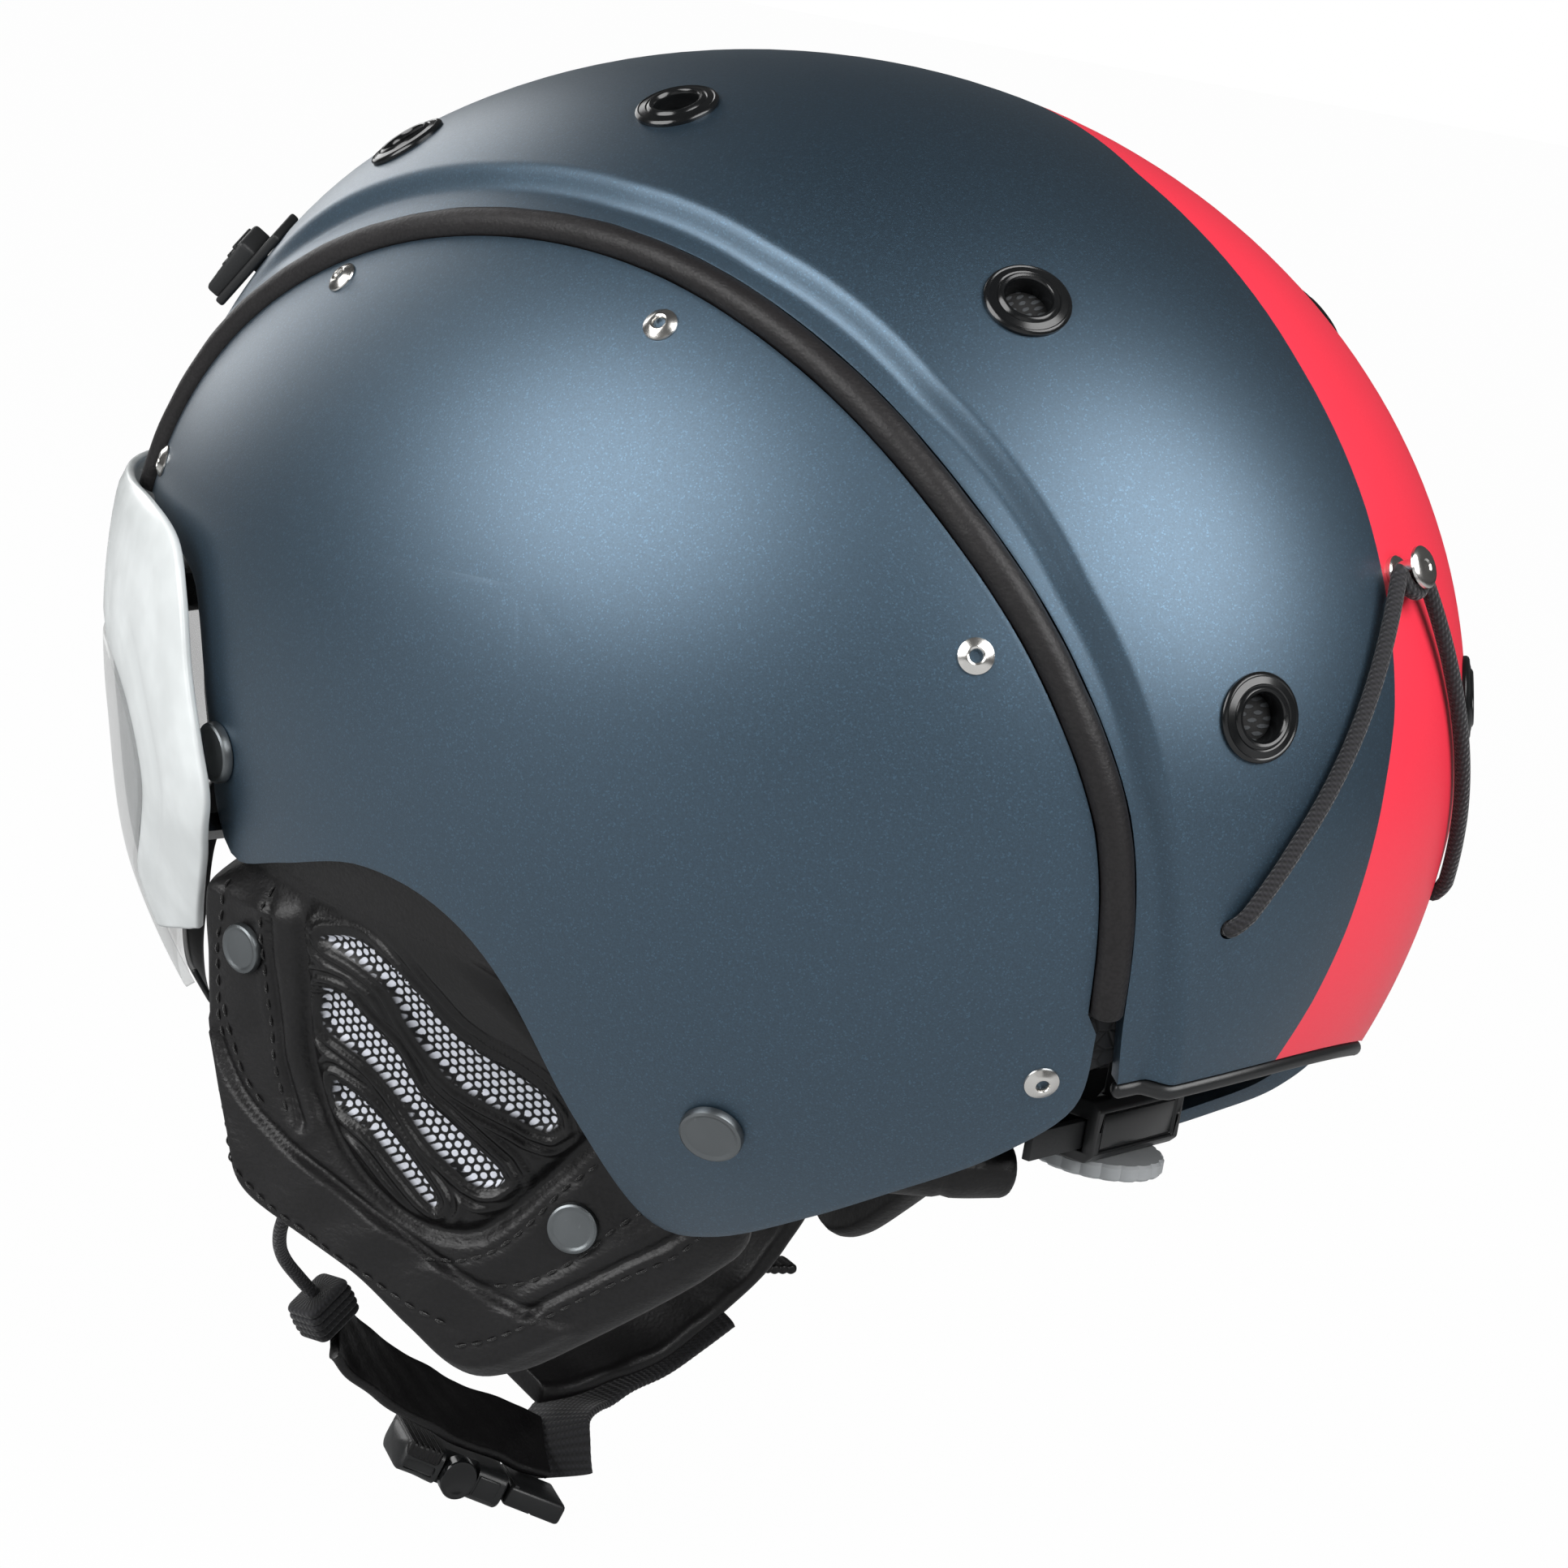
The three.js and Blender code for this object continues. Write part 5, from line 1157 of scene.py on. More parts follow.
class HELMET_OT_panels(HelmetOperator):
    """Side panel of the shell on each side"""
    bl_idname = "helmet.panels"
    bl_label = "Side panels"

    def make(self):
        loop = [side_shares(beside_seam(share * TRIM_SHARE, TRIM_RADIUS + GAP))
                for share in shares(90)]
        lower = [on_spline(PANEL_EDGE, share) for share in shares(400)]
        loop += [tuple(p) for p in even_steps([Vector((p[0], p[1], 0)) for p in lower], 120)]
        p0, q0 = PANEL_MIDDLE
        rows = []
        for share in [k / 18 for k in range(1, 18)] + [0.985, 1.0]:
            rows.append([SHELL.at(side_way(lerp(p0, edge[0], share), lerp(q0, edge[1], share)))
                         for edge in loop])
        rows.insert(0, [SHELL.at(side_way(p0, q0))] * len(loop))
        piece = patch("side_panel_near", rows, looped=True)
        outward(piece, 1e-6)
        walled(piece, SHELL_WALL)
        twin = copied(piece, "side_panel_far", MIRROR)
        for side, one in (("left", piece), ("right", twin)):
            mark = one.data.attributes.new("stripe", "FLOAT", "POINT")
            mark.data.foreach_set("value", [-0.02] * len(one.data.vertices))
            finish(one, LOOKS["shell"], nodes=["side_panel_" + side], angle=38)


def ripple(spot, share, side, up, a, b):
    """Small uneven folds in a padded leather edging."""
    size = math.sin(share * 61) * 0.05 + math.sin(share * 173 + 1.3) * 0.04
    return spot + (side * a + up * b).normalized() * size


class HELMET_OT_edging(HelmetOperator):
    """Padded trim along the seams, and the edging of the brow and the rear rim"""
    bl_idname = "helmet.edging"
    bl_label = "Edging"

    def make(self):
        ways = [seam_way(share * TRIM_SHARE) for share in shares(150)]
        stations = stations_along([SHELL.at(way, -TRIM_SINK) for way in ways],
                                  [SHELL.normal(way) for way in ways])
        ring = [(a, max(b, TRIM_SINK - SHELL_WALL)) for a, b in circle(TRIM_RADIUS, 28)]
        piece = swept("trim_near", stations, lambda share: ring, 0.9, ripple)
        twin = copied(piece, "trim_far", MIRROR)
        finish(piece, LOOKS["trim"], nodes=["trim_arc_left"])
        finish(twin, LOOKS["trim"], nodes=["trim_arc_right"])
        for name, share, look in (("brow_trim", 0, "trim"), ("rear_rim_trim", 1, "satin")):
            foot = lean_and_turn(beside_seam(share, -TRIM_RADIUS - GAP))
            ways = [middle_way(share, lerp(0.98, -0.98, k / 80), foot) for k in range(81)]
            places = [SHELL.at(way, middle_rise(way) - 1.6) - UPWARD * 2.2 for way in ways]
            stations = stations_along(places, [SHELL.normal(way) for way in ways])
            piece = swept(name + "_edge", stations, lambda share: circle(1.6, 16), 1.2)
            finish(piece, LOOKS[look], nodes=[name])


class HELMET_OT_lining(HelmetOperator):
    """Foam liner and the quilted padding in it"""
    bl_idname = "helmet.lining"
    bl_label = "Lining"

    def make(self):
        turns = [360 * k / 144 for k in range(144)]

        def way_at(turn, share):
            rim = along(LINER_RIM, min(turn, 360 - turn))
            return round_way(turn, lerp(90, rim, share))

        down = [k / 26 for k in range(27)]
        rows = [[SHELL.at(way_at(t, s), foam_rise(way_at(t, s))) for t in turns] for s in down]
        rows += [[HEAD.at(way_at(t, s), 5.5) for t in turns] for s in reversed(down)]
        foam = outward(patch("foam_shell", rows, looped=True), 1e-6)
        pins = [rod(way, FOAM_VENT, FOAM_PIN_LOW, 24) for way in vent_ways().values()]
        for sign in (1, -1):
            angles = [math.radians(lerp(*SLOT_TURNS, share)) for share in shares(24)]
            stations = [(Vector(), SIDEWAYS * sign,
                         Vector((0, -math.cos(a), math.sin(a)))) for a in angles]
            ring_rows = [[side * a + up * b for a, b in SLOT_SECTION]
                         for _, side, up in stations]
            slot = patch("slot", ring_rows, looped=True)
            pins.append(outward(capped(slot, len(SLOT_SECTION)), 1e-7))
        cut(foam, joined("pins", pins))
        bevelled(foam, 1.1, 50)
        finish(foam, LOOKS["foam"], nodes=["foam_liner"], angle=45)

        def quilt(way):
            """Channels sewn between the puffs of the padding."""
            lean, turn = lean_and_turn(way)
            depth = 0.0
            for line in (0, 24, 50):
                depth = max(depth, math.exp(-((abs(lean) - line) / 1.5) ** 2))
            for line in range(-20, 220, 30):
                depth = max(depth, math.exp(-((turn - line) / 1.6) ** 2) * 0.9)
            return depth

        down = [k / 60 * 0.955 for k in range(1, 61)]
        wide = [360 * k / 240 for k in range(240)]
        rows = [[HEAD.at(way_at(t, s), 5.2) for t in wide] for s in down[::6]]
        for k in range(1, 8):
            angle = math.pi * k / 8
            rows.append([HEAD.at(way_at(t, 0.955), 2.6 + 2.6 * math.cos(angle))
                         - UPWARD * 2.2 * math.sin(angle) for t in wide])
        rows += [[HEAD.at(way_at(t, s), 2.0 * quilt(way_at(t, s))) for t in wide]
                 for s in reversed(down)]
        pad = patch("quilted_lining", rows, looped=True)
        outward(capped(pad), 1e-6)
        finish(pad, LOOKS["lining"], nodes=["comfort_liner"], angle=0)
        all_smooth(pad)


# Fasteners

def set_on(piece, name, way, rise, look, node=None):
    """A copy of a round piece, set on the shell."""
    turn = Matrix.Translation(SHELL.at(way, rise)) @ facing(SHELL.normal(way))
    one = copied(piece, name, turn)
    return finish(one, look, nodes=[node] if node else (), angle=35)


class HELMET_OT_grommets(HelmetOperator):
    """Vent grommets with their nets"""
    bl_idname = "helmet.grommets"
    bl_label = "Vent grommets"

    def make(self):
        wide = sizes().grommet_radius / MM
        bore = sizes().bore_radius / MM
        profile = [(bore, -2.9), (5.6, -2.9), (5.6, -0.2), (wide, -0.25), (wide + 0.02, 0.35),
                   (wide - 0.25, 0.75), (wide - 0.6, 0.9), (wide - 0.85, 0.8),
                   (wide - 1.1, 0.86), (bore + 1.75, 1.12), (bore + 1.5, 1.0),
                   (bore + 1.25, 1.32), (bore + 0.85, 1.55), (bore + 0.4, 1.45),
                   (bore + 0.1, 1.1), (bore, 0.5), (bore, -2.9)]
        ring = turned("grommet_pattern", profile, 48, closed=True)
        net = turned("net_pattern", [(0.4, -2.1), (1.6, -2.0), (3.2, -2.2), (bore - 0.02, -2.6),
                                     (bore - 0.02, -2.9), (1.0, -2.7)], 32)
        for name, way in vent_ways().items():
            rise = middle_rise(way)
            set_on(ring, "grommet_" + name, way, rise, LOOKS["gloss"], "vent_grommet_" + name)
            set_on(net, "net_" + name, way, rise, LOOKS["net"])
        discard(ring, net)


def stud_profile(radius, proud):
    return [(0.5, -2.6), (2.0, -2.6), (2.0, -0.1), (radius - 0.3, -0.15), (radius, 0.1),
            (radius, proud * 0.55), (radius - 0.2, proud * 0.85), (radius - 0.6, proud),
            (radius - 0.95, proud * 0.95), (radius - 1.25, proud * 0.8),
            (radius - 1.5, proud * 0.78), (radius * 0.5, proud * 0.86), (0.5, proud * 0.9)]


class HELMET_OT_fasteners(HelmetOperator):
    """Hollow rivets, and the studs on the panels and over the visor's arms"""
    bl_idname = "helmet.fasteners"
    bl_label = "Rivets and studs"

    def make(self):
        wide = sizes().rivet_radius / MM
        profile = [(1.05, -2.6), (1.8, -2.6), (1.8, -0.1), (wide - 0.15, -0.15), (wide, 0.05),
                   (wide - 0.1, 0.35), (wide - 0.5, 0.62), (2.35, 0.85), (1.95, 1.1),
                   (1.6, 1.2), (1.3, 1.08), (1.1, 0.75), (1.05, 0.2), (1.05, -2.6)]
        rivet = turned("rivet_pattern", profile, 36, closed=True)
        core = turned("core_pattern", [(0.3, -2.2), (1.04, -2.2), (1.04, -0.9), (0.3, -0.9)], 16)
        stud = turned("stud_pattern", stud_profile(sizes().stud_radius / MM, 1.9), 56)
        for side, sign in SIDES:
            for name, (p, q) in RIVETS.items():
                way = on_side(side_way(p, q), sign)
                label = "{}_{}".format(name, side)
                set_on(rivet, "eyelet_" + label, way, 0, LOOKS["nickel"], "rivet_" + label)
                set_on(core, "eyelet_core_" + label, way, 0, LOOKS["matte"])
            for name, (p, q) in (("panel_stud", PANEL_STUD), ("guide_stud", GUIDE_STUD)):
                way = on_side(side_way(p, q), sign)
                label = "{}_{}".format(name, side)
                set_on(stud, label + "_cap", way, 0, LOOKS["gunmetal"], label)
        discard(rivet, core, stud)


class HELMET_OT_strap_holder(HelmetOperator):
    """Button at the back, and the stretch cord hooked over it"""
    bl_idname = "helmet.strap_holder"
    bl_label = "Strap button and cord"

    def make(self):
        profile = [(0.6, -2.9), (2.2, -2.9), (2.2, -0.1), (3.3, -0.1), (3.4, 0.2), (3.4, 0.9),
                   (3.1, 1.2), (2.2, 1.3), (2.1, 2.4), (2.1, 4.6), (2.4, 5.1), (3.7, 5.3),
                   (4.0, 5.6), (3.95, 6.1), (3.5, 6.5), (2.4, 6.75), (1.4, 6.7), (1.1, 6.45),
                   (0.5, 6.4)]
        way = over_way(0, BUTTON_TURN)
        button = turned("button_pattern", profile, 48)
        set_on(button, "strap_post", way, middle_rise(way), LOOKS["nickel"], "strap_button")
        discard(button)
        foot = SHELL.at(way, middle_rise(way))
        out = SHELL.normal(way)
        up = -SIDEWAYS.cross(out)
        radius = sizes().cord_radius / MM
        rest = radius + GAP
        reach, lift = 2.2 + rest, 1.2 + rest + GAP
        bend = []
        for k in range(1, 12):
            angle = math.pi * k / 12
            bend.append(foot + out * lift + SIDEWAYS * reach * math.cos(angle)
                        + up * reach * math.sin(angle))
        side = math.degrees(math.asin(reach / SHELL.side))
        half = []
        for share in shares(40):
            at = over_way(lerp(CORD_HOLE[0], side, share), lerp(CORD_HOLE[1], BUTTON_TURN, share))
            raised = rest - 0.2 + (lift - rest) * share ** 4 + 0.25
            half.append(SHELL.at(at, middle_rise(at) + raised * smooth(share * 14 + 0.3)))
        hole = over_way(*CORD_HOLE)
        half.insert(0, SHELL.at(hole, middle_rise(hole) - 2.4))
        far = [Vector((-p.x, p.y, p.z)) for p in reversed(half)]
        route = even_steps(half + bend + far, 260)
        ups = [SHELL.normal(SHELL.way_to(p)) for p in route]
        ring = circle(radius, 14)
        cord = swept("stretch_cord", stations_along(route, ups), lambda share: ring, 0.6)
        finish(cord, LOOKS["braid"], nodes=["elastic_cord"], angle=60)


class HELMET_OT_sliders(HelmetOperator):
    """Sliding covers of the two forehead vents"""
    bl_idname = "helmet.sliders"
    bl_label = "Vent sliders"

    def make(self):
        for side, sign in SIDES:
            way = on_side(over_way(*SLIDER_PLACE), sign)
            place = surface_frame(way, middle_rise(way))
            base = block("base", (-6, GAP, -10.5), (6, 2.3, 10.5), 0.6)
            grip = block("grip", (-5, 1.8, -3.5), (5, 6.6, 10.3), 0.9)
            for corner in grip.data.vertices:
                share = (corner.co.z / MM + 3.5) / 13.8
                corner.co.y -= (0.4 + 2.2 * max(0, share - 0.55)) * MM * (corner.co.y > 0.004)
            parts = [base, grip]
            for k in range(5):
                z = -1.8 + 2.3 * k
                low, high = (-4.6, 5.2 - 0.3 * k, z), (4.6, 6.7 - 0.35 * k, z + 1)
                parts.append(block("rib", low, high, 0.3, 2))
            stem = block("stem", (-1.6, -2.6, -1.6), (1.6, 2, 1.6), 0.2, 1)
            piece = joined("slider_" + side + "_cap", parts + [stem])
            placed(piece, place)
            finish(piece, LOOKS["matte"], "slider_" + side, ["vent_slider_" + side], 35)


# Visor

def visor_point(turn, height, depth=0.0):
    return SHELL.at(round_way(turn, height), visor_rise(turn, height) - depth)


def heading(knots, share, step):
    """Direction of a spline at a share of the way along it."""
    ahead = on_spline(knots, min(1, share + step)) - on_spline(knots, max(0, share - step))
    return ahead.normalized()


def opening(share, outward_by=0.0):
    """Edge of the frame's opening, moved towards the frame by some degrees."""
    at = on_spline(FRAME_INNER, share)
    ahead = heading(FRAME_INNER, share, 0.004)
    return at.x + ahead.y * outward_by, at.y - ahead.x * outward_by


def both_ways(half):
    return half + [(-t, h) for t, h in reversed(half[:-1])]


def lens_place(across, row):
    """The lens runs from the opening's top edge to its arched low edge."""
    def top(a):
        if a == 0:
            return 0.0, opening(1.0, -LENS_MARGIN)[1]
        return opening(1 - 0.5 * a, -LENS_MARGIN)

    low0 = on_spline(LENS_LOW, 0)
    low = on_spline(LENS_LOW, 1 - across)
    down = row / LENS_ROWS
    side_rows = LENS_ROWS - 1
    if row < side_rows:
        edge = opening(0.5 * (1 - row / side_rows), -LENS_MARGIN)
    else:
        last = opening(0, -LENS_MARGIN)
        share = row - side_rows
        edge = (lerp(last[0], low0.x, share), lerp(last[1], low0.y, share))
    here = top(across)
    inside = (lerp(here[0], low.x, down), lerp(here[1], low.y, down))
    corner = top(1)
    shift = (edge[0] - lerp(corner[0], low0.x, down), edge[1] - lerp(corner[1], low0.y, down))
    return inside[0] + shift[0] * across, inside[1] + shift[1] * across


class HELMET_OT_visor(HelmetOperator):
    """Visor frame, lens, gasket, nose edging and the two arms"""
    bl_idname = "helmet.visor"
    bl_label = "Visor"

    def make(self):
        ends = []
        for share in shares(84):
            outer, inner = on_spline(FRAME_OUTER, share), on_spline(FRAME_INNER, share)
            ends.append(((outer.x, outer.y), (inner.x, inner.y)))
        rows = []
        for band in shares(16):
            half = both_ways([(lerp(a[0], b[0], band), lerp(a[1], b[1], band)) for a, b in ends])
            row = []
            for turn, height in half:
                roll = 0.9 * smooth(1 - band / 0.16) + 0.5 * smooth(1 - (1 - band) / 0.14)
                side = smooth((abs(turn) - 50) / 5)
                bevel = 1.0 * smooth((-height - 17) / 5) * side
                mould = 0.45 * math.exp(-((band - 0.62) / 0.05) ** 2) * side
                depth = max(0, roll + bevel * (1 - band) + mould)
                row.append(visor_point(turn, height, depth))
            rows.append(row)
        piece = walled(patch("frame_shell", rows), VISOR_WALL, 0.7)
        finish(piece, LOOKS["frame"], "visor", ["visor_frame"], 40)

        rows = []
        for row in [k / 4 for k in range(41)]:
            half = [lens_place(1 - k / 40, row) for k in range(41)]
            rows.append([visor_point(t, h) for t, h in both_ways(half)])
        piece = walled(patch("clear_lens", rows), VISOR_WALL, 0.4, 2)
        finish(piece, LOOKS["lens"], "visor", ["visor_lens"], 40)

        rows = []
        for k in range(7):
            side = lerp(2, -2, k / 6)
            half = [opening(share, side - 0.15) for share in shares(84)]
            half[-1] = (0.0, half[-1][1])
            rows.append([visor_point(t, h, BEHIND_VISOR) for t, h in both_ways(half)])
        piece = walled(patch("lens_gasket", rows), GASKET_WALL, 0.4, 2)
        finish(piece, LOOKS["gloss"], "visor", ["visor_gasket"], 40)

        rows = []
        for k in range(6):
            reach = lerp(-1.0, 2.3, k / 5)
            half = []
            for share in shares(48):
                at = on_spline(LENS_LOW, share)
                ahead = heading(LENS_LOW, share, 0.01)
                half.append((max(0.0, at.x - ahead.y * reach), at.y + ahead.x * reach))
            rows.append([visor_point(t, h, BEHIND_VISOR) for t, h in both_ways(half)])
        piece = walled(patch("nose_edging", rows), GASKET_WALL, 0.4, 2)
        finish(piece, LOOKS["satin"], "visor", ["nose_guard"], 40)

        for side, _ in SIDES:
            piece = merged_copy("visor_arm_" + side, "swing_arm_" + side)
            bevelled(piece, 0.5, 40)
            finish(piece, LOOKS["gloss"], "visor", ["visor_arm_" + side], 35)


# Soft parts

def near_line(line, y, z):
    """Distance from a place to a line of points, in millimetres, and on which side of it
    the place lies: 1 or -1."""
    best, side = math.inf, -1
    for (y0, z0), (y1, z1) in zip(line, line[1:]):
        dy, dz = y1 - y0, z1 - z0
        share = ((y - y0) * dy + (z - z0) * dz) / (dy * dy + dz * dz)
        share = min(1.0, max(0.0, share))
        gap = math.hypot(y - y0 - share * dy, z - z0 - share * dz)
        if gap < best:
            best = gap
            side = -1 if dy * (z - z0) - dz * (y - y0) > 0 else 1
    return best, side


def gap_to(line, y, z):
    return near_line(line, y, z)[0]


def inside_of(ring, y, z):
    """Distance to a closed outline, positive inside it."""
    inside = False
    for (y0, z0), (y1, z1) in zip(ring, ring[1:] + ring[:1]):
        if (z0 > z) != (z1 > z) and y < (y1 - y0) * (z - z0) / (z1 - z0) + y0:
            inside = not inside
    near = gap_to(ring + ring[:1], y, z)
    return near if inside else -near


def fine_line(knots, count):
    dense = [on_spline(knots, share) for share in shares(count * 4)]
    return [tuple(p[:2]) for p in even_steps(dense, count)]


WINDOW_RIMS = [
    [(-26.5, -56.6), (-18.1, -54.7), (-10.3, -57.2), (-3.7, -61.9), (1.9, -67.8), (7.7, -71.3),
     (13.4, -73.4), (18.1, -76.9), (19.4, -82), (16.5, -84.5), (11.9, -82.9), (5.9, -81.1),
     (-.2, -78.6), (-4.5, -73.9), (-8.6, -67.5), (-11.2, -62.4), (-18.3, -58.9), (-24, -57.8)],
    [(-27.2, -67.2), (-21.5, -67.1), (-16.3, -71.4), (-11.5, -75.1), (-7.1, -83.1),
     (-2.2, -86.7), (4.4, -91.5), (9.5, -95.1), (9.6, -97.6), (5.4, -98.6), (.2, -95.9),
     (-5, -92.4), (-8.7, -88.5), (-12.1, -84.5), (-17.1, -80), (-22.5, -77.4), (-27, -75.3),
     (-28, -71)],
    [(-25.1, -85.6), (-18.8, -88), (-13.2, -92.2), (-7.5, -97.1), (-1.8, -102.9), (-2.3, -104.7),
     (-8.6, -99.9), (-14.5, -95), (-19.3, -92.3), (-24.9, -89.7)],
]
BOSS = [(-34.8, -44.9), (-33, -54.8), (-32.4, -66.1), (-31.9, -79.3), (-28.4, -89.9),
        (-22.7, -98.1), (-14.6, -104.9), (-5.7, -108.9), (2.2, -109.2), (8, -106.4),
        (15.6, -96.7), (21.9, -87.8), (25.9, -82.5), (25.8, -74), (20, -60), (4, -48), (-18, -42)]
SEAM_FRONT = [(-46.6, -49.2), (-41.7, -55.6), (-40.8, -68.6), (-38.7, -79.6), (-36, -88.8),
              (-31.7, -96.6)]
SEAM_FLAP = [(-54.6, -86), (-52.1, -89.4), (-45.9, -95.3), (-36.1, -100.7), (-25, -105.4),
             (-15.8, -109.3), (-6.8, -112.9), (1.7, -116.4), (9.9, -119.8), (17.5, -121.2)]
SEAM_EDGE = [(45.4, -94), (43.4, -96.4), (38.7, -102.1), (32.7, -107.1), (26.5, -112.7),
             (21.3, -117.3), (17.5, -121.2)]
STITCH_LINES = [
    [(-56, -54), (-55.8, -61.4), (-56.1, -69.7), (-54.7, -79.3), (-52.6, -86)],
    [(-43.6, -52), (-43.4, -57), (-42.8, -68.6), (-40.7, -79.6), (-38.2, -88.8), (-34.7, -96)],
    [(-53.2, -78.4), (-50.3, -86), (-46.2, -91.3), (-39.7, -95.8)],
    [(-53.6, -95.1), (-48.5, -104.1), (-43.3, -110.8), (-32.6, -115.3), (-19.2, -119.9),
     (-6.8, -124.3), (4.8, -127.3)],
    [(27.8, -87.1), (23.6, -91.8), (19.9, -96.5), (16.4, -102.2), (12.8, -107.5), (8.8, -111.6),
     (3, -114.7), (-3.3, -115.7)],
    [(34.6, -96.1), (30.5, -100.8), (25.7, -107.2), (20.7, -112.2), (15.4, -116), (9.5, -117.9)],
    [(45, -98.5), (40.5, -104.4), (34.4, -109.4), (26.9, -115.8), (19.2, -122.8), (10.9, -128.7),
     (5.1, -131.2)],
]


STITCH_THICK = 0.32
PAD_POINTS = 260
PAD_RINGS = 92
PAD_GROWTH = 1.012
PAD_WALL = 16
PAD_CROWN = 1.4
PAD_RIM_WALL = 9.6
BACK_RINGS = (0.992, 0.97, 0.92, 0.84, 0.74, 0.6, 0.45, 0.3, 0.15, 0.0)
# What window and island marks say far outside both.
OUTSIDE = -9


class PadRelief:
    """How the seams, the pressed island and the windows shape the ear pad's face."""

    def __init__(self):
        self.windows = [fine_line(rim + rim[:1], 40)[:-1] for rim in WINDOW_RIMS]
        self.boss = fine_line(BOSS + BOSS[:1], 60)[:-1]
        self.seams = [fine_line(line, 24) for line in (SEAM_FRONT, SEAM_EDGE)]
        self.flap = fine_line(SEAM_FLAP, 30)
        self.stitches = [fine_line(line, 24) for line in STITCH_LINES]

    def window(self, y, z):
        return max(inside_of(rim, y, z) for rim in self.windows)

    def lift(self, y, z):
        """Height over the plain pad, whether it is a window, and whether it is pressed."""
        window = self.window(y, z)
        island = inside_of(self.boss, y, z)
        height = 0.0
        for line in self.seams:
            near = gap_to(line, y, z)
            height -= 0.9 * math.exp(-(near / 0.7) ** 2)
            height += 0.5 * math.exp(-((near - 2.4) / 1.6) ** 2)
        reach, side = near_line(self.flap, y, z)
        below = reach * side
        height += 1.5 * smooth(0.5 + below / 1.6) * smooth(1.2 - abs(below) / 22)
        height -= 0.8 * math.exp(-((below + 0.6) / 0.9) ** 2)
        for line in self.stitches:
            height -= 0.28 * math.exp(-(gap_to(line, y, z) / 0.8) ** 2)
        height -= 2.0 * math.exp(-((island + 0.4) / 1.7) ** 2) * (1 if z < -50 else 0.3)
        height += 1.4 * smooth(island / 4) * smooth((-44 - z) / 8)
        if window > -7:
            puff = 0.55 * math.cos((window + 2.0) * 2 * math.pi / 2.5) * smooth((7 + window) / 2)
            height += puff * smooth(-window / 0.8) * smooth(island / 2)
        height -= 2.3 * smooth((window + 0.5) / 1.0)
        height += 0.35 * math.sin(y * 0.31 + math.sin(z * 0.19) * 2.1) * smooth(-island / 8)
        return height, window, island


def stitches(name, line, place, length, gap):
    """Stitches along a line: place gives a point and the way out of the leather."""
    points = [place(a, b) for a, b in line]
    total = sum((b[0] - a[0]).length for a, b in zip(points, points[1:]))
    count = max(2, int(total / (length + gap)))
    spots = even_steps([p[0] for p in points], count * 8)
    verts, faces = [], []
    ring = [(1, 0), (0.6, 0.8), (-0.6, 0.8), (-1, 0), (0, -0.6)]
    fill = length / (length + gap) * 8
    steps = 5
    for k in range(count):
        start = len(verts)
        for i in range(steps + 1):
            share = i / steps
            place_at = k * 8 + share * fill
            low = int(place_at)
            here, onward = spots[min(low, len(spots) - 2)], spots[min(low + 1, len(spots) - 1)]
            at = here.lerp(onward, place_at - low)
            out = min(points, key=lambda p: (p[0] - at).length_squared)[1]
            ahead = (onward - here).normalized()
            side = ahead.cross(out).normalized()
            arch = math.sin(math.pi * share)
            for a, b in ring:
                size = STITCH_THICK * (0.55 + 0.45 * arch)
                verts.append((at + side * a * size + out * (b * size + arch * 0.3 - 0.12)) * MM)
        for i in range(steps):
            for j in range(5):
                a, b = start + i * 5 + j, start + i * 5 + (j + 1) % 5
                faces.append((a, b, b + 5, a + 5))
        faces.append([start + j for j in reversed(range(5))])
        faces.append([start + steps * 5 + j for j in range(5)])
    body = bpy.data.meshes.new(name)
    body.from_pydata(verts, [], faces)
    layer = body.uv_layers.new(name="UVMap")
    for loop in body.loops:
        at = body.vertices[loop.vertex_index].co / MM
        layer.data[loop.index].uv = (at.y + at.x, at.z)
    piece = bpy.data.objects.new(name, body)
    bpy.context.scene.collection.objects.link(piece)
    return outward(piece, 1e-8)


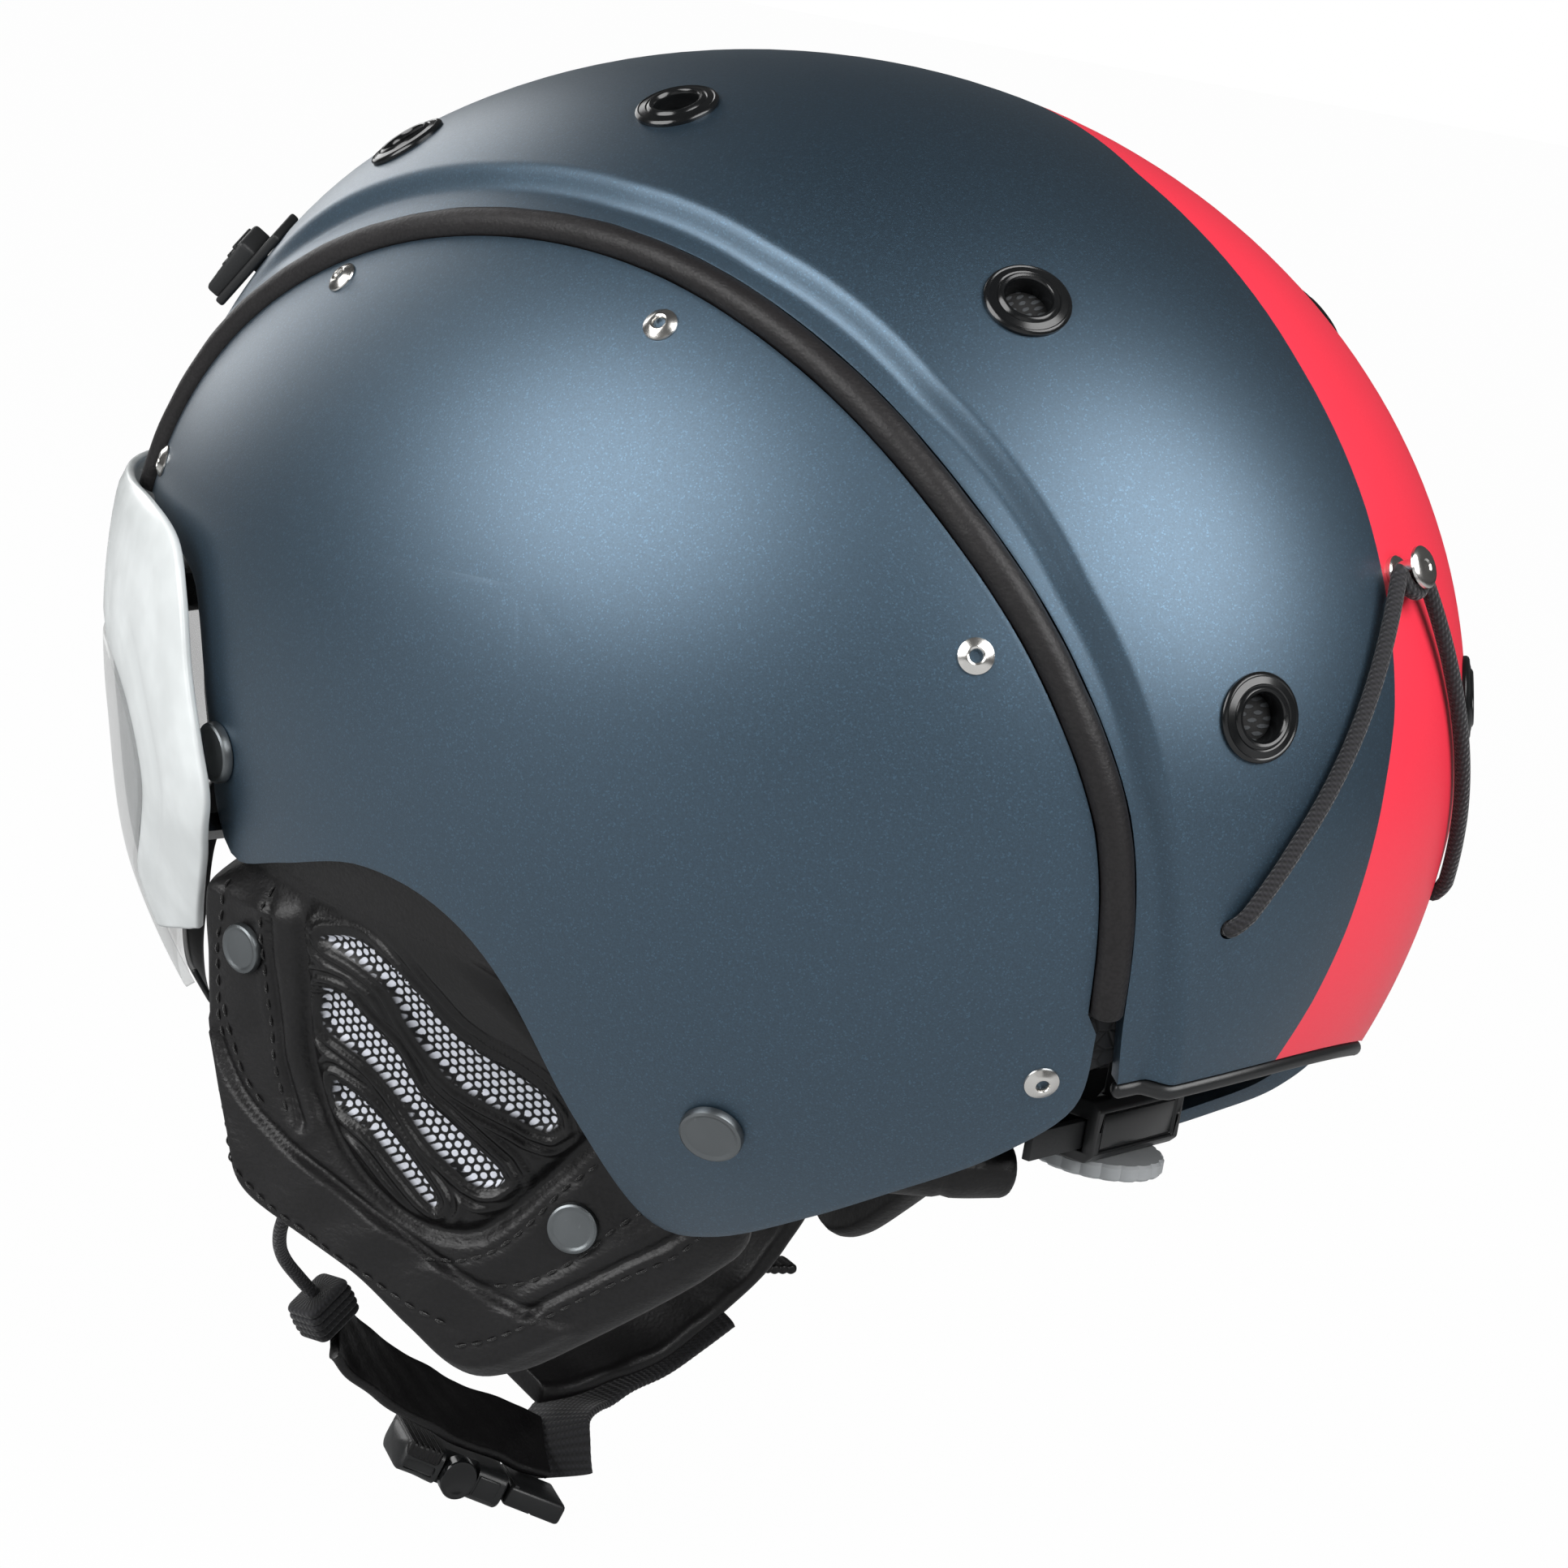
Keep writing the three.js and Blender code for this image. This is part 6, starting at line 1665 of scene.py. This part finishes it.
class HELMET_OT_ear_pads(HelmetOperator):
    """Ear pads with their seams, stitches, sound windows and press studs"""
    bl_idname = "helmet.ear_pads"
    bl_label = "Ear pads"

    def make(self):
        relief = PadRelief()
        outline = [on_spline(PAD_OUTLINE, share, closed=True) for share in shares(720)]
        edge = even_steps(outline, PAD_POINTS)[:-1]
        y0, z0 = PAD_MIDDLE
        outer, marks = [], []
        for share in shares(PAD_RINGS):
            row = []
            for at in edge:
                wide = share * PAD_GROWTH
                y, z = lerp(y0, at.x, wide), lerp(z0, at.y, wide)
                height, window, island = 0.0, OUTSIDE, OUTSIDE
                if share < 0.97:
                    height, window, island = relief.lift(y, z)
                fade = smooth((0.985 - share) / 0.05)
                tuck = smooth((-z - 50) / 8)
                sink = 3.0 * (1 - math.sqrt(max(0.0, 1 - smooth((share - 0.93) / 0.07) ** 2)))
                spot = Vector((pad_x(y, z) - sink, y, z))
                row.append(spot + pad_normal(y, z) * height * fade * tuck)
                marks.append((window, island if tuck > 0 else OUTSIDE))
            outer.append(row)
        inner = []
        for share in BACK_RINGS:
            row = []
            for at in edge:
                y, z = lerp(y0, at.x, share), lerp(z0, at.y, share)
                crown = PAD_WALL + PAD_CROWN * (1 - share * share)
                depth = lerp(crown, PAD_RIM_WALL, smooth((share - 0.7) / 0.3))
                row.append(Vector((pad_x(y, z) - depth, y, z)))
            inner.append(row)
        middle = []
        for share in (0.35, 0.7):
            middle.append([a.lerp(b, share) + (a - Vector((a.x, y0, z0))).normalized() * 0.5
                           for a, b in zip(outer[-1], inner[0])])
        rows = outer + middle + inner
        piece = patch("ear_cover_near", rows, looped=True)
        rest = [OUTSIDE] * (len(piece.data.vertices) - len(marks))
        for kind, name in enumerate(("window", "island")):
            mark = piece.data.attributes.new(name, "FLOAT", "POINT")
            mark.data.foreach_set("value", [at * MM for at in [m[kind] for m in marks] + rest])
        outward(piece, 1e-6)
        look = self.cover()
        twin = copied(piece, "ear_cover_far", PAD_ROLL)
        for side, one in (("left", piece), ("right", twin)):
            finish(one, look, nodes=["ear_pad_" + side], angle=0)
            all_smooth(one)

        def on_pad(y, z):
            hit, at, out, _ = piece.ray_cast(Vector((120, y, z)) * MM, -SIDEWAYS)
            if not hit:
                _, at, out, _ = piece.closest_point_on_mesh(Vector((pad_x(y, z), y, z)) * MM)
            return at / MM + out * 0.12, out

        length, gap = sizes().stitch / MM, sizes().stitch_gap / MM
        rows = [stitches("row", line, on_pad, length, gap) for line in relief.stitches]
        sewn = joined("pad_stitching_near", rows)
        far = copied(sewn, "pad_stitching_far", PAD_ROLL)
        for one in (sewn, far):
            finish(one, LOOKS["thread"], angle=60)
        radius = sizes().pad_stud_radius / MM
        for name, (y, z) in PAD_STUDS.items():
            stud = turned("pad_stud", stud_profile(radius, 1.5), 48)
            turn = Matrix.Translation((pad_x(y, z), y, z)) @ facing(pad_normal(y, z))
            lift = Matrix.Translation(pad_normal(y, z) * 0.3)
            placed(stud, lift @ turn)
            stud.name = "ear_cap_{}_near".format(name)
            twin = copied(stud, "ear_cap_{}_far".format(name), PAD_ROLL)
            finish(stud, LOOKS["gunmetal"], nodes=["ear_stud_{}_left".format(name)], angle=35)
            finish(twin, LOOKS["gunmetal"], nodes=["ear_stud_{}_right".format(name)], angle=35)

    def cover(self):
        """Leather outside, pressed leather on the island and dotted mesh in the windows."""
        craft = Craft("ear_pad_cover", Specular_IOR_Level=0.38)
        hide = tuple(colours().leather)
        dots = tuple(colours().dots)
        at = craft.place()
        island = craft.attribute("island").ramp(-0.0012, 0.0012)
        window = craft.attribute("window").ramp(-0.0003, 0.0003)
        pebble = craft.cells(at, 1500, "SMOOTH_F1")
        fine = craft.noise(at, 2900, 3.0, 0.6)
        folds = craft.noise(craft.mapped(at, (1.0, 0.7, 1.6)), 95, 4.0, 0.62)
        broad = craft.noise(at, 22, 2.0)
        pale = scaled(hide, 2.2, 0.004)
        tone = craft.mix(broad.ramp(0.4, 0.8) * 0.6, hide, pale)
        tone = craft.mix(pebble.ramp(0.32, 0.62) * 0.5, tone, scaled(hide, 0.45))
        tone = craft.mix(island * 0.75, tone, scaled(hide, 0.42))
        _, y, z = craft.parts(at)
        on = honeycomb(y, z, WINDOW_PITCH, WINDOW_DOT, (fine - 0.5) * 0.12)
        mesh = craft.mix(on, linear("070708"), dots)
        tone = craft.mix(window, tone, mesh)
        gloss = 0.34 + fine * 0.12 + pebble * 0.12 - island * 0.1 + window * 0.3
        skin = craft.bump(pebble * -0.7 + fine * 0.4 + on * window * 1.5, 0.00012, 0.55)
        skin = craft.bump(folds.ramp(0.3, 0.75) * (1 - island), 0.0007, 0.3, skin)
        return craft.feed(Base_Color=tone, Roughness=gloss, Normal=skin)


# Nape

TOOTH_HEIGHT = 0.28


def strap(name, knots, count, up, section, closing, wave=None):
    """A strap or cord swept along its route in equal steps."""
    points = route_points(knots, count)
    return swept(name, stations_along(points, [up] * len(points)), section, closing, wave)


class HELMET_OT_nape(HelmetOperator):
    """Neck pads, fit housing, dial and racks"""
    bl_idname = "helmet.nape"
    bl_label = "Nape and fit dial"

    def make(self):
        def roll(share):
            seams = sum(math.exp(-((share - at) / 0.02) ** 2) for at in (0.25, 0.5, 0.75))
            pinch = 1 - 0.07 * seams
            return [(a * pinch, b * pinch) for a, b in circle(5.9, 26)]

        piece = strap("neck_roll_near", NECK_ROUTE, 60, UPWARD, roll, 2.4)
        twin = copied(piece, "neck_roll_far", MIRROR)
        finish(piece, LOOKS["leather"], nodes=["neck_pad_left"], angle=60)
        finish(twin, LOOKS["leather"], nodes=["neck_pad_right"], angle=60)

        housing = merged_copy("fit_housing", "nape_housing")
        bevelled(housing, 0.45, 30)
        plate = block("plate", (-12.8, 99.2, -70.9), (12.8, 99.75, -64.2), 0.25, 2)
        finish(housing, LOOKS["satin"], nodes=["fit_housing"], angle=35)
        finish(plate, LOOKS["gloss"], angle=35)
        plate.name = "nape_plate"
        plate.data.name = "nape_plate"

        profile = [(0.5, -3.4), (4, -3.5), (8.5, -3.55), (9.2, -3.3), (11.4, -3.5), (12.5, -3.3),
                   (12.95, -2.8), (12.95, -0.7), (12.5, -0.15), (3.05, -0.05), (3.0, 0.3),
                   (3.0, 8.3), (0.4, 8.3)]
        dial = turned("fit_wheel", profile, 80)
        for corner in dial.data.vertices:
            radius = math.hypot(corner.co.x, corner.co.y)
            if radius > 0.012:
                angle = math.atan2(corner.co.y, corner.co.x)
                scale = 1 - 0.035 * smooth((math.cos(angle * 20) - 0.1) / 0.6)
                corner.co.x *= scale
                corner.co.y *= scale
        placed(dial, Matrix.Translation((0, 92, -74)))
        finish(dial, LOOKS["pale"], "dial", ["fit_dial"], 30)

        for side, sign in SIDES:
            low, high = (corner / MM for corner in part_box("fit_rack_" + side))
            strip = block("strip", low, high, 0.25, 2)
            parts = [strip]
            wall_y = low[1] if sign > 0 else high[1]
            for k in range(14):
                x = low[0] + 3 + k * 2.6
                near, far = sorted((wall_y, wall_y - sign * TOOTH_HEIGHT))
                corners = (x, near, low[2] + 0.6), (x + 1.2, far, high[2] - 0.6)
                parts.append(block("tooth", *corners, 0.1, 1))
            piece = joined("fit_strip_" + side, parts)
            finish(piece, LOOKS["matte"], "rack_" + side, ["fit_rack_" + side], 35)


# Chin strap

class HELMET_OT_chin_strap(HelmetOperator):
    """Chin cord with its ribbed keeper, leather band, webbing and sleeve"""
    bl_idname = "helmet.chin_strap"
    bl_label = "Chin strap"

    def make(self):
        cord = strap("chin_cord", CHIN_CORD, 60, BACKWARD, lambda share: circle(1.4, 14), 0.4)
        finish(cord, LOOKS["braid"], nodes=["chin_loop"], angle=60)

        def ribbed(share):
            rib = 0.55 * abs(math.sin(share * math.pi * 5)) ** 0.6
            swell = 0.93 + 0.07 * math.sin(math.pi * share)
            return [(a * swell, b * swell) for a, b in slab(5.5 + rib, 3.9 + rib, 1.7, 5)]

        keeper = strap("chin_keeper", KEEPER, 44, BACKWARD, ribbed, 0.3)
        finish(keeper, LOOKS["web"], angle=50)

        def band(share):
            wide = (8.9 - 1.4 * math.exp(-((share - 0.03) / 0.05) ** 2)
                    - 0.8 * math.exp(-((share - 1) / 0.05) ** 2))

            def lip(x):
                return 0.35 * math.exp(-((abs(x) - wide + 1.6) / 0.5) ** 2)

            ring = [(a, b - math.copysign(lip(a), b) * (abs(b) > 1.0))
                    for a, b in slab(wide, 1.25, 1.2, 5)]
            fine = []
            for (a, b), (c, d) in zip(ring, ring[1:] + ring[:1]):
                fine.append((a, b))
                if abs(a - c) > 4:
                    for k in range(1, 12):
                        x, y = lerp(a, c, k / 12), lerp(b, d, k / 12)
                        fine.append((x, y - math.copysign(lip(x), y)))
            return fine

        def creased(spot, share, side, up, a, b):
            fold = math.sin(share * 23 + a * 0.45) * 0.22 + math.sin(share * 41 - a * 0.7) * 0.1
            return spot + up * fold * 0.7

        up = Vector(CHIN_BAND_UP).normalized()
        piece = strap("leather_band", CHIN_BAND, 90, up, band, 0.5, creased)
        finish(piece, LOOKS["strap"], nodes=["chin_band"], angle=50)

        slanted = Vector((1, 0, 1)).normalized()

        def tape(share):
            rib = 0.12 * math.sin(share * 260)
            return [(a, b * (1 + rib)) for a, b in slab(7.9, 0.88, 0.7, 3)]

        piece = strap("strap_webbing", WEBBING, 150, slanted, tape, 0.4)
        finish(piece, LOOKS["web"], nodes=["chin_webbing"], angle=50)

        def tube(share):
            pull = 1 + 0.05 * math.sin(share * 19) + 0.035 * math.sin(share * 43 + 1)
            mouth = math.exp(-(share / 0.035) ** 2)
            ring = []
            for a, b in slab(8.3, 2.75 + mouth * 0.3, 2.7, 8):
                swell = 0.92 + 0.08 * math.cos(a * 0.5)
                ring.append((a * (1 - 0.02 * (pull - 1)), b * pull * swell))
            return ring

        piece = strap("strap_sleeve", SLEEVE, 110, slanted, tube, 0.7, creased)

        def ribs(share):
            rib = 0.35 * abs(math.sin(share * math.pi * 6)) * smooth((share - 0.35) * 6)
            return slab(3.2 + rib * 0.4, 0.85 + rib, 0.8, 4)

        tab = strap("tab", SLEEVE_TAB, 40, UPWARD, ribs, 0.4)
        piece = joined("strap_sleeve", [piece, tab])
        finish(piece, LOOKS["strap"], nodes=["chin_sleeve"], angle=55)


def buckle_frame():
    ahead = Vector(BUCKLE_ALONG).normalized()
    side = UPWARD.cross(ahead).normalized()
    turn = Matrix((ahead, side, ahead.cross(side))).transposed().to_4x4()
    return Matrix.Translation(BUCKLE_MIDDLE) @ turn


class HELMET_OT_buckle(HelmetOperator):
    """Buckle body with the strap wrapped on it, the tongue pushed into it and the side release"""
    bl_idname = "helmet.buckle"
    bl_label = "Buckle"

    def make(self):
        place = buckle_frame()
        stations = [(Vector((lerp(4.6, -18.4, share), 0, 0)), BACKWARD, UPWARD)
                    for share in shares(26)]

        def case(share):
            waist = 1 - 0.1 * math.exp(-((share - 0.8) / 0.16) ** 2)
            return slab(8 * waist, 3.8 * (1 - 0.08 * smooth(share * 3 - 2)), 2.5, 6)

        shell = swept("buckle_case", stations, case, 1.5)
        for tools in ([block("mouth", (-2.9, -2.9, -1.2), (20, 2.9, 1.2), 0),
                       block("notch", (-10.1, -12, -4.6), (-1.9, -3.9, 4.6), 0),
                       block("slot", (-16.2, -5.6, -9.5), (-12.4, 5.6, 9.5), 0.4, 2)],
                      [block("near_side", (-18, -12, -2.3), (-11, -6.6, 0.1), 0.5, 2),
                       block("far_side", (-18, 6.6, -2.3), (-11, 12, 0.1), 0.5, 2)]):
            cut(shell, joined("tools", tools))
        ridges = [block("ridge", (0.6 + 1.5 * k, -6.2, 3.3), (1.3 + 1.5 * k, 6.2, 3.75), 0.15, 1)
                  for k in range(3)]
        latch = block("latch", (-1.7, -8.15, -2.6), (3.6, -6.4, 2.3), 0.5, 3)
        placed(joined("buckle_case", [shell, latch] + ridges), place)
        finish(bpy.data.objects["buckle_case"], LOOKS["satin"], nodes=["buckle_body"], angle=35)

        wrap = [block("wrap", (-18.9, -8.1, 0.5), (-10.8, 8.1, 3.95), 1.0, 3)]
        for k in range(6):
            low, high = (-18.6 + 1.32 * k, -8.2, 0.9), (-17.9 + 1.32 * k, 8.2, 4.05)
            wrap.append(block("rib", low, high, 0.25, 2))
        wrap = joined("buckle_wrap", wrap)
        placed(wrap, place)
        finish(wrap, LOOKS["strap"], angle=35)

        root = block("root", (6.3, -6.5, -2.35), (20, 6.5, 2.35), 1.0)
        groove = block("groove", (12.8, -8, -3), (13.6, 8, -2.0), 0)
        cut(root, groove)
        tip = block("tip", (-2.5, -2.6, -0.9), (19, 2.6, 0.9), 0.3, 2)
        lip = block("lip", (7.2, -6.2, 1.9), (8.4, 6.2, 2.65), 0.25, 2)
        tongue = joined("buckle_catch", [root, tip, lip])
        placed(tongue, place)
        finish(tongue, LOOKS["satin"], nodes=["buckle_tongue"], angle=35)

        profile = [(0.4, 0.55), (2.6, 0.35), (3.2, 0.1), (3.6, 0.15), (3.8, 0.5), (3.8, 3.6),
                   (3.5, 3.95), (0.4, 4.0)]
        pad = turned("release_pad", profile, 40)
        press = Matrix.Translation((-6, -9.5, 0)) @ Matrix.Rotation(math.radians(-90), 4, "X") \
            @ Matrix.Diagonal((1, 4.4 / 3.8, 1, 1))
        placed(pad, place @ press)
        finish(pad, LOOKS["gloss"], "release", ["buckle_release"], 30)


# Stage

# Places on the stage are in metres.
FLOOR_SIZE = 80
FLOOR_DROP = 0.004
FLOOR_GLOW = 0.985
WORLD_GLOW = 0.07
LIGHTS = (("side", (1.12, -0.4, 0.6), 1.05, 18.0), ("back", (0.15, 1.05, 0.86), 1.2, 24.0),
          ("fill", (1.3, 1.0, -0.05), 1.2, 1.6), ("front", (-0.3, -1.4, 0.5), 1.0, 6.0))
CAMERA_PLACE = (0.64, 0.4561, 0.1313)
CAMERA_AHEAD = (-0.8017, -0.5648, -0.1957)
CAMERA_RIGHT = (-0.5946, 0.787, 0.1647)
CAMERA_LENS = 90.95
SENSOR_WIDTH = 36
CLIP_START = 0.01


class HELMET_OT_stage(HelmetOperator):
    """Floor, soft studio lights and the camera"""
    bl_idname = "helmet.stage"
    bl_label = "Stage"

    def make(self):
        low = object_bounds()[0][2]
        deselect()
        bpy.ops.mesh.primitive_plane_add(size=FLOOR_SIZE, location=(0, 0, low - FLOOR_DROP))
        floor = take("studio_floor")
        bpy.ops.object.transform_apply(location=True, rotation=True, scale=True)
        craft = Craft("studio_floor", Roughness=0.9, Specular_IOR_Level=0.1)
        broad = craft.noise(craft.place(), 1.2, 2.0)
        tone = craft.mix(broad, (0.44, 0.45, 0.46), (0.48, 0.48, 0.48))
        craft.feed(Base_Color=tone)
        glow = craft.named("ShaderNodeEmission", "Emission", {},
                           {"Color": (1, 1, 1), "Strength": 1.0})
        seen = craft.named("ShaderNodeLightPath", "Is Camera Ray")
        mixed = craft.node("ShaderNodeMixShader", {}, {0: seen * FLOOR_GLOW})
        made = craft.tree.nodes[-1]
        craft.tree.links.new(craft.shader.outputs[0], made.inputs[1])
        craft.tree.links.new(glow.socket, made.inputs[2])
        out = craft.tree.nodes["Material Output"]
        craft.tree.links.new(mixed[0].socket, out.inputs[0])
        floor.data.materials.append(craft.material)
        floor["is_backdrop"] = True

        world = bpy.data.worlds.new("studio")
        bpy.context.scene.world = world
        world.use_nodes = True
        tree = world.node_tree
        back = tree.nodes["Background"]
        back.inputs[0].default_value = (1, 1, 1, 1)
        rays = tree.nodes.new("ShaderNodeLightPath")
        level = tree.nodes.new("ShaderNodeMapRange")
        tree.links.new(rays.outputs["Is Camera Ray"], level.inputs["Value"])
        level.inputs["To Min"].default_value = WORLD_GLOW
        level.inputs["To Max"].default_value = 1.0
        tree.links.new(level.outputs[0], back.inputs[1])

        for name, at, width, power in LIGHTS:
            deselect()
            bpy.ops.object.light_add(type="AREA", location=at)
            lamp = take("light_" + name)
            lamp.data.shape = "DISK"
            lamp.data.size = width
            lamp.data.energy = power
            lamp.rotation_euler = (-Vector(at)).to_track_quat("-Z", "Y").to_euler()

        camera = bpy.data.cameras.new("camera")
        view = bpy.data.objects.new("camera", camera)
        bpy.context.scene.collection.objects.link(view)
        camera.sensor_width = SENSOR_WIDTH
        camera.lens = CAMERA_LENS
        camera.clip_start = CLIP_START
        ahead = Vector(CAMERA_AHEAD).normalized()
        right = Vector(CAMERA_RIGHT)
        up = right.cross(ahead).normalized()
        right = ahead.cross(up).normalized()
        turn = Matrix((right, up, -ahead)).transposed().to_4x4()
        view.matrix_world = Matrix.Translation(CAMERA_PLACE) @ turn
        bpy.context.scene.camera = view
        bpy.context.scene.view_settings.view_transform = "Standard"


OPERATORS = (HELMET_OT_finishes, HELMET_OT_middle, HELMET_OT_panels, HELMET_OT_edging,
             HELMET_OT_lining, HELMET_OT_grommets, HELMET_OT_fasteners,
             HELMET_OT_strap_holder, HELMET_OT_sliders, HELMET_OT_visor,
             HELMET_OT_ear_pads, HELMET_OT_nape, HELMET_OT_chin_strap, HELMET_OT_buckle,
             HELMET_OT_stage)


class HELMET_PT_panel(bpy.types.Panel):
    """Lists the helmet's pieces, sizes and colours"""
    bl_idname = "HELMET_PT_panel"
    bl_label = "Ski Helmet"
    bl_space_type = "VIEW_3D"
    bl_region_type = "UI"
    bl_category = "Helmet"

    def draw(self, context):
        for settings in (context.scene.helmet_colours, context.scene.helmet_sizes):
            column = self.layout.column()
            for name in settings.bl_rna.properties.keys():
                if name not in ("rna_type", "name"):
                    column.prop(settings, name)
        for one in OPERATORS:
            self.layout.operator(one.bl_idname)


CLASSES = (HelmetColours, HelmetSizes, *OPERATORS, HELMET_PT_panel)


def register():
    for one in CLASSES:
        bpy.utils.register_class(one)
    bpy.types.Scene.helmet_colours = bpy.props.PointerProperty(type=HelmetColours)
    bpy.types.Scene.helmet_sizes = bpy.props.PointerProperty(type=HelmetSizes)


def unregister():
    del bpy.types.Scene.helmet_sizes
    del bpy.types.Scene.helmet_colours
    for one in reversed(CLASSES):
        bpy.utils.unregister_class(one)


def main():
    register()
    for one in OPERATORS:
        group, name = one.bl_idname.split(".")
        getattr(getattr(bpy.ops, group), name)()


if __name__ == "__main__":
    main()
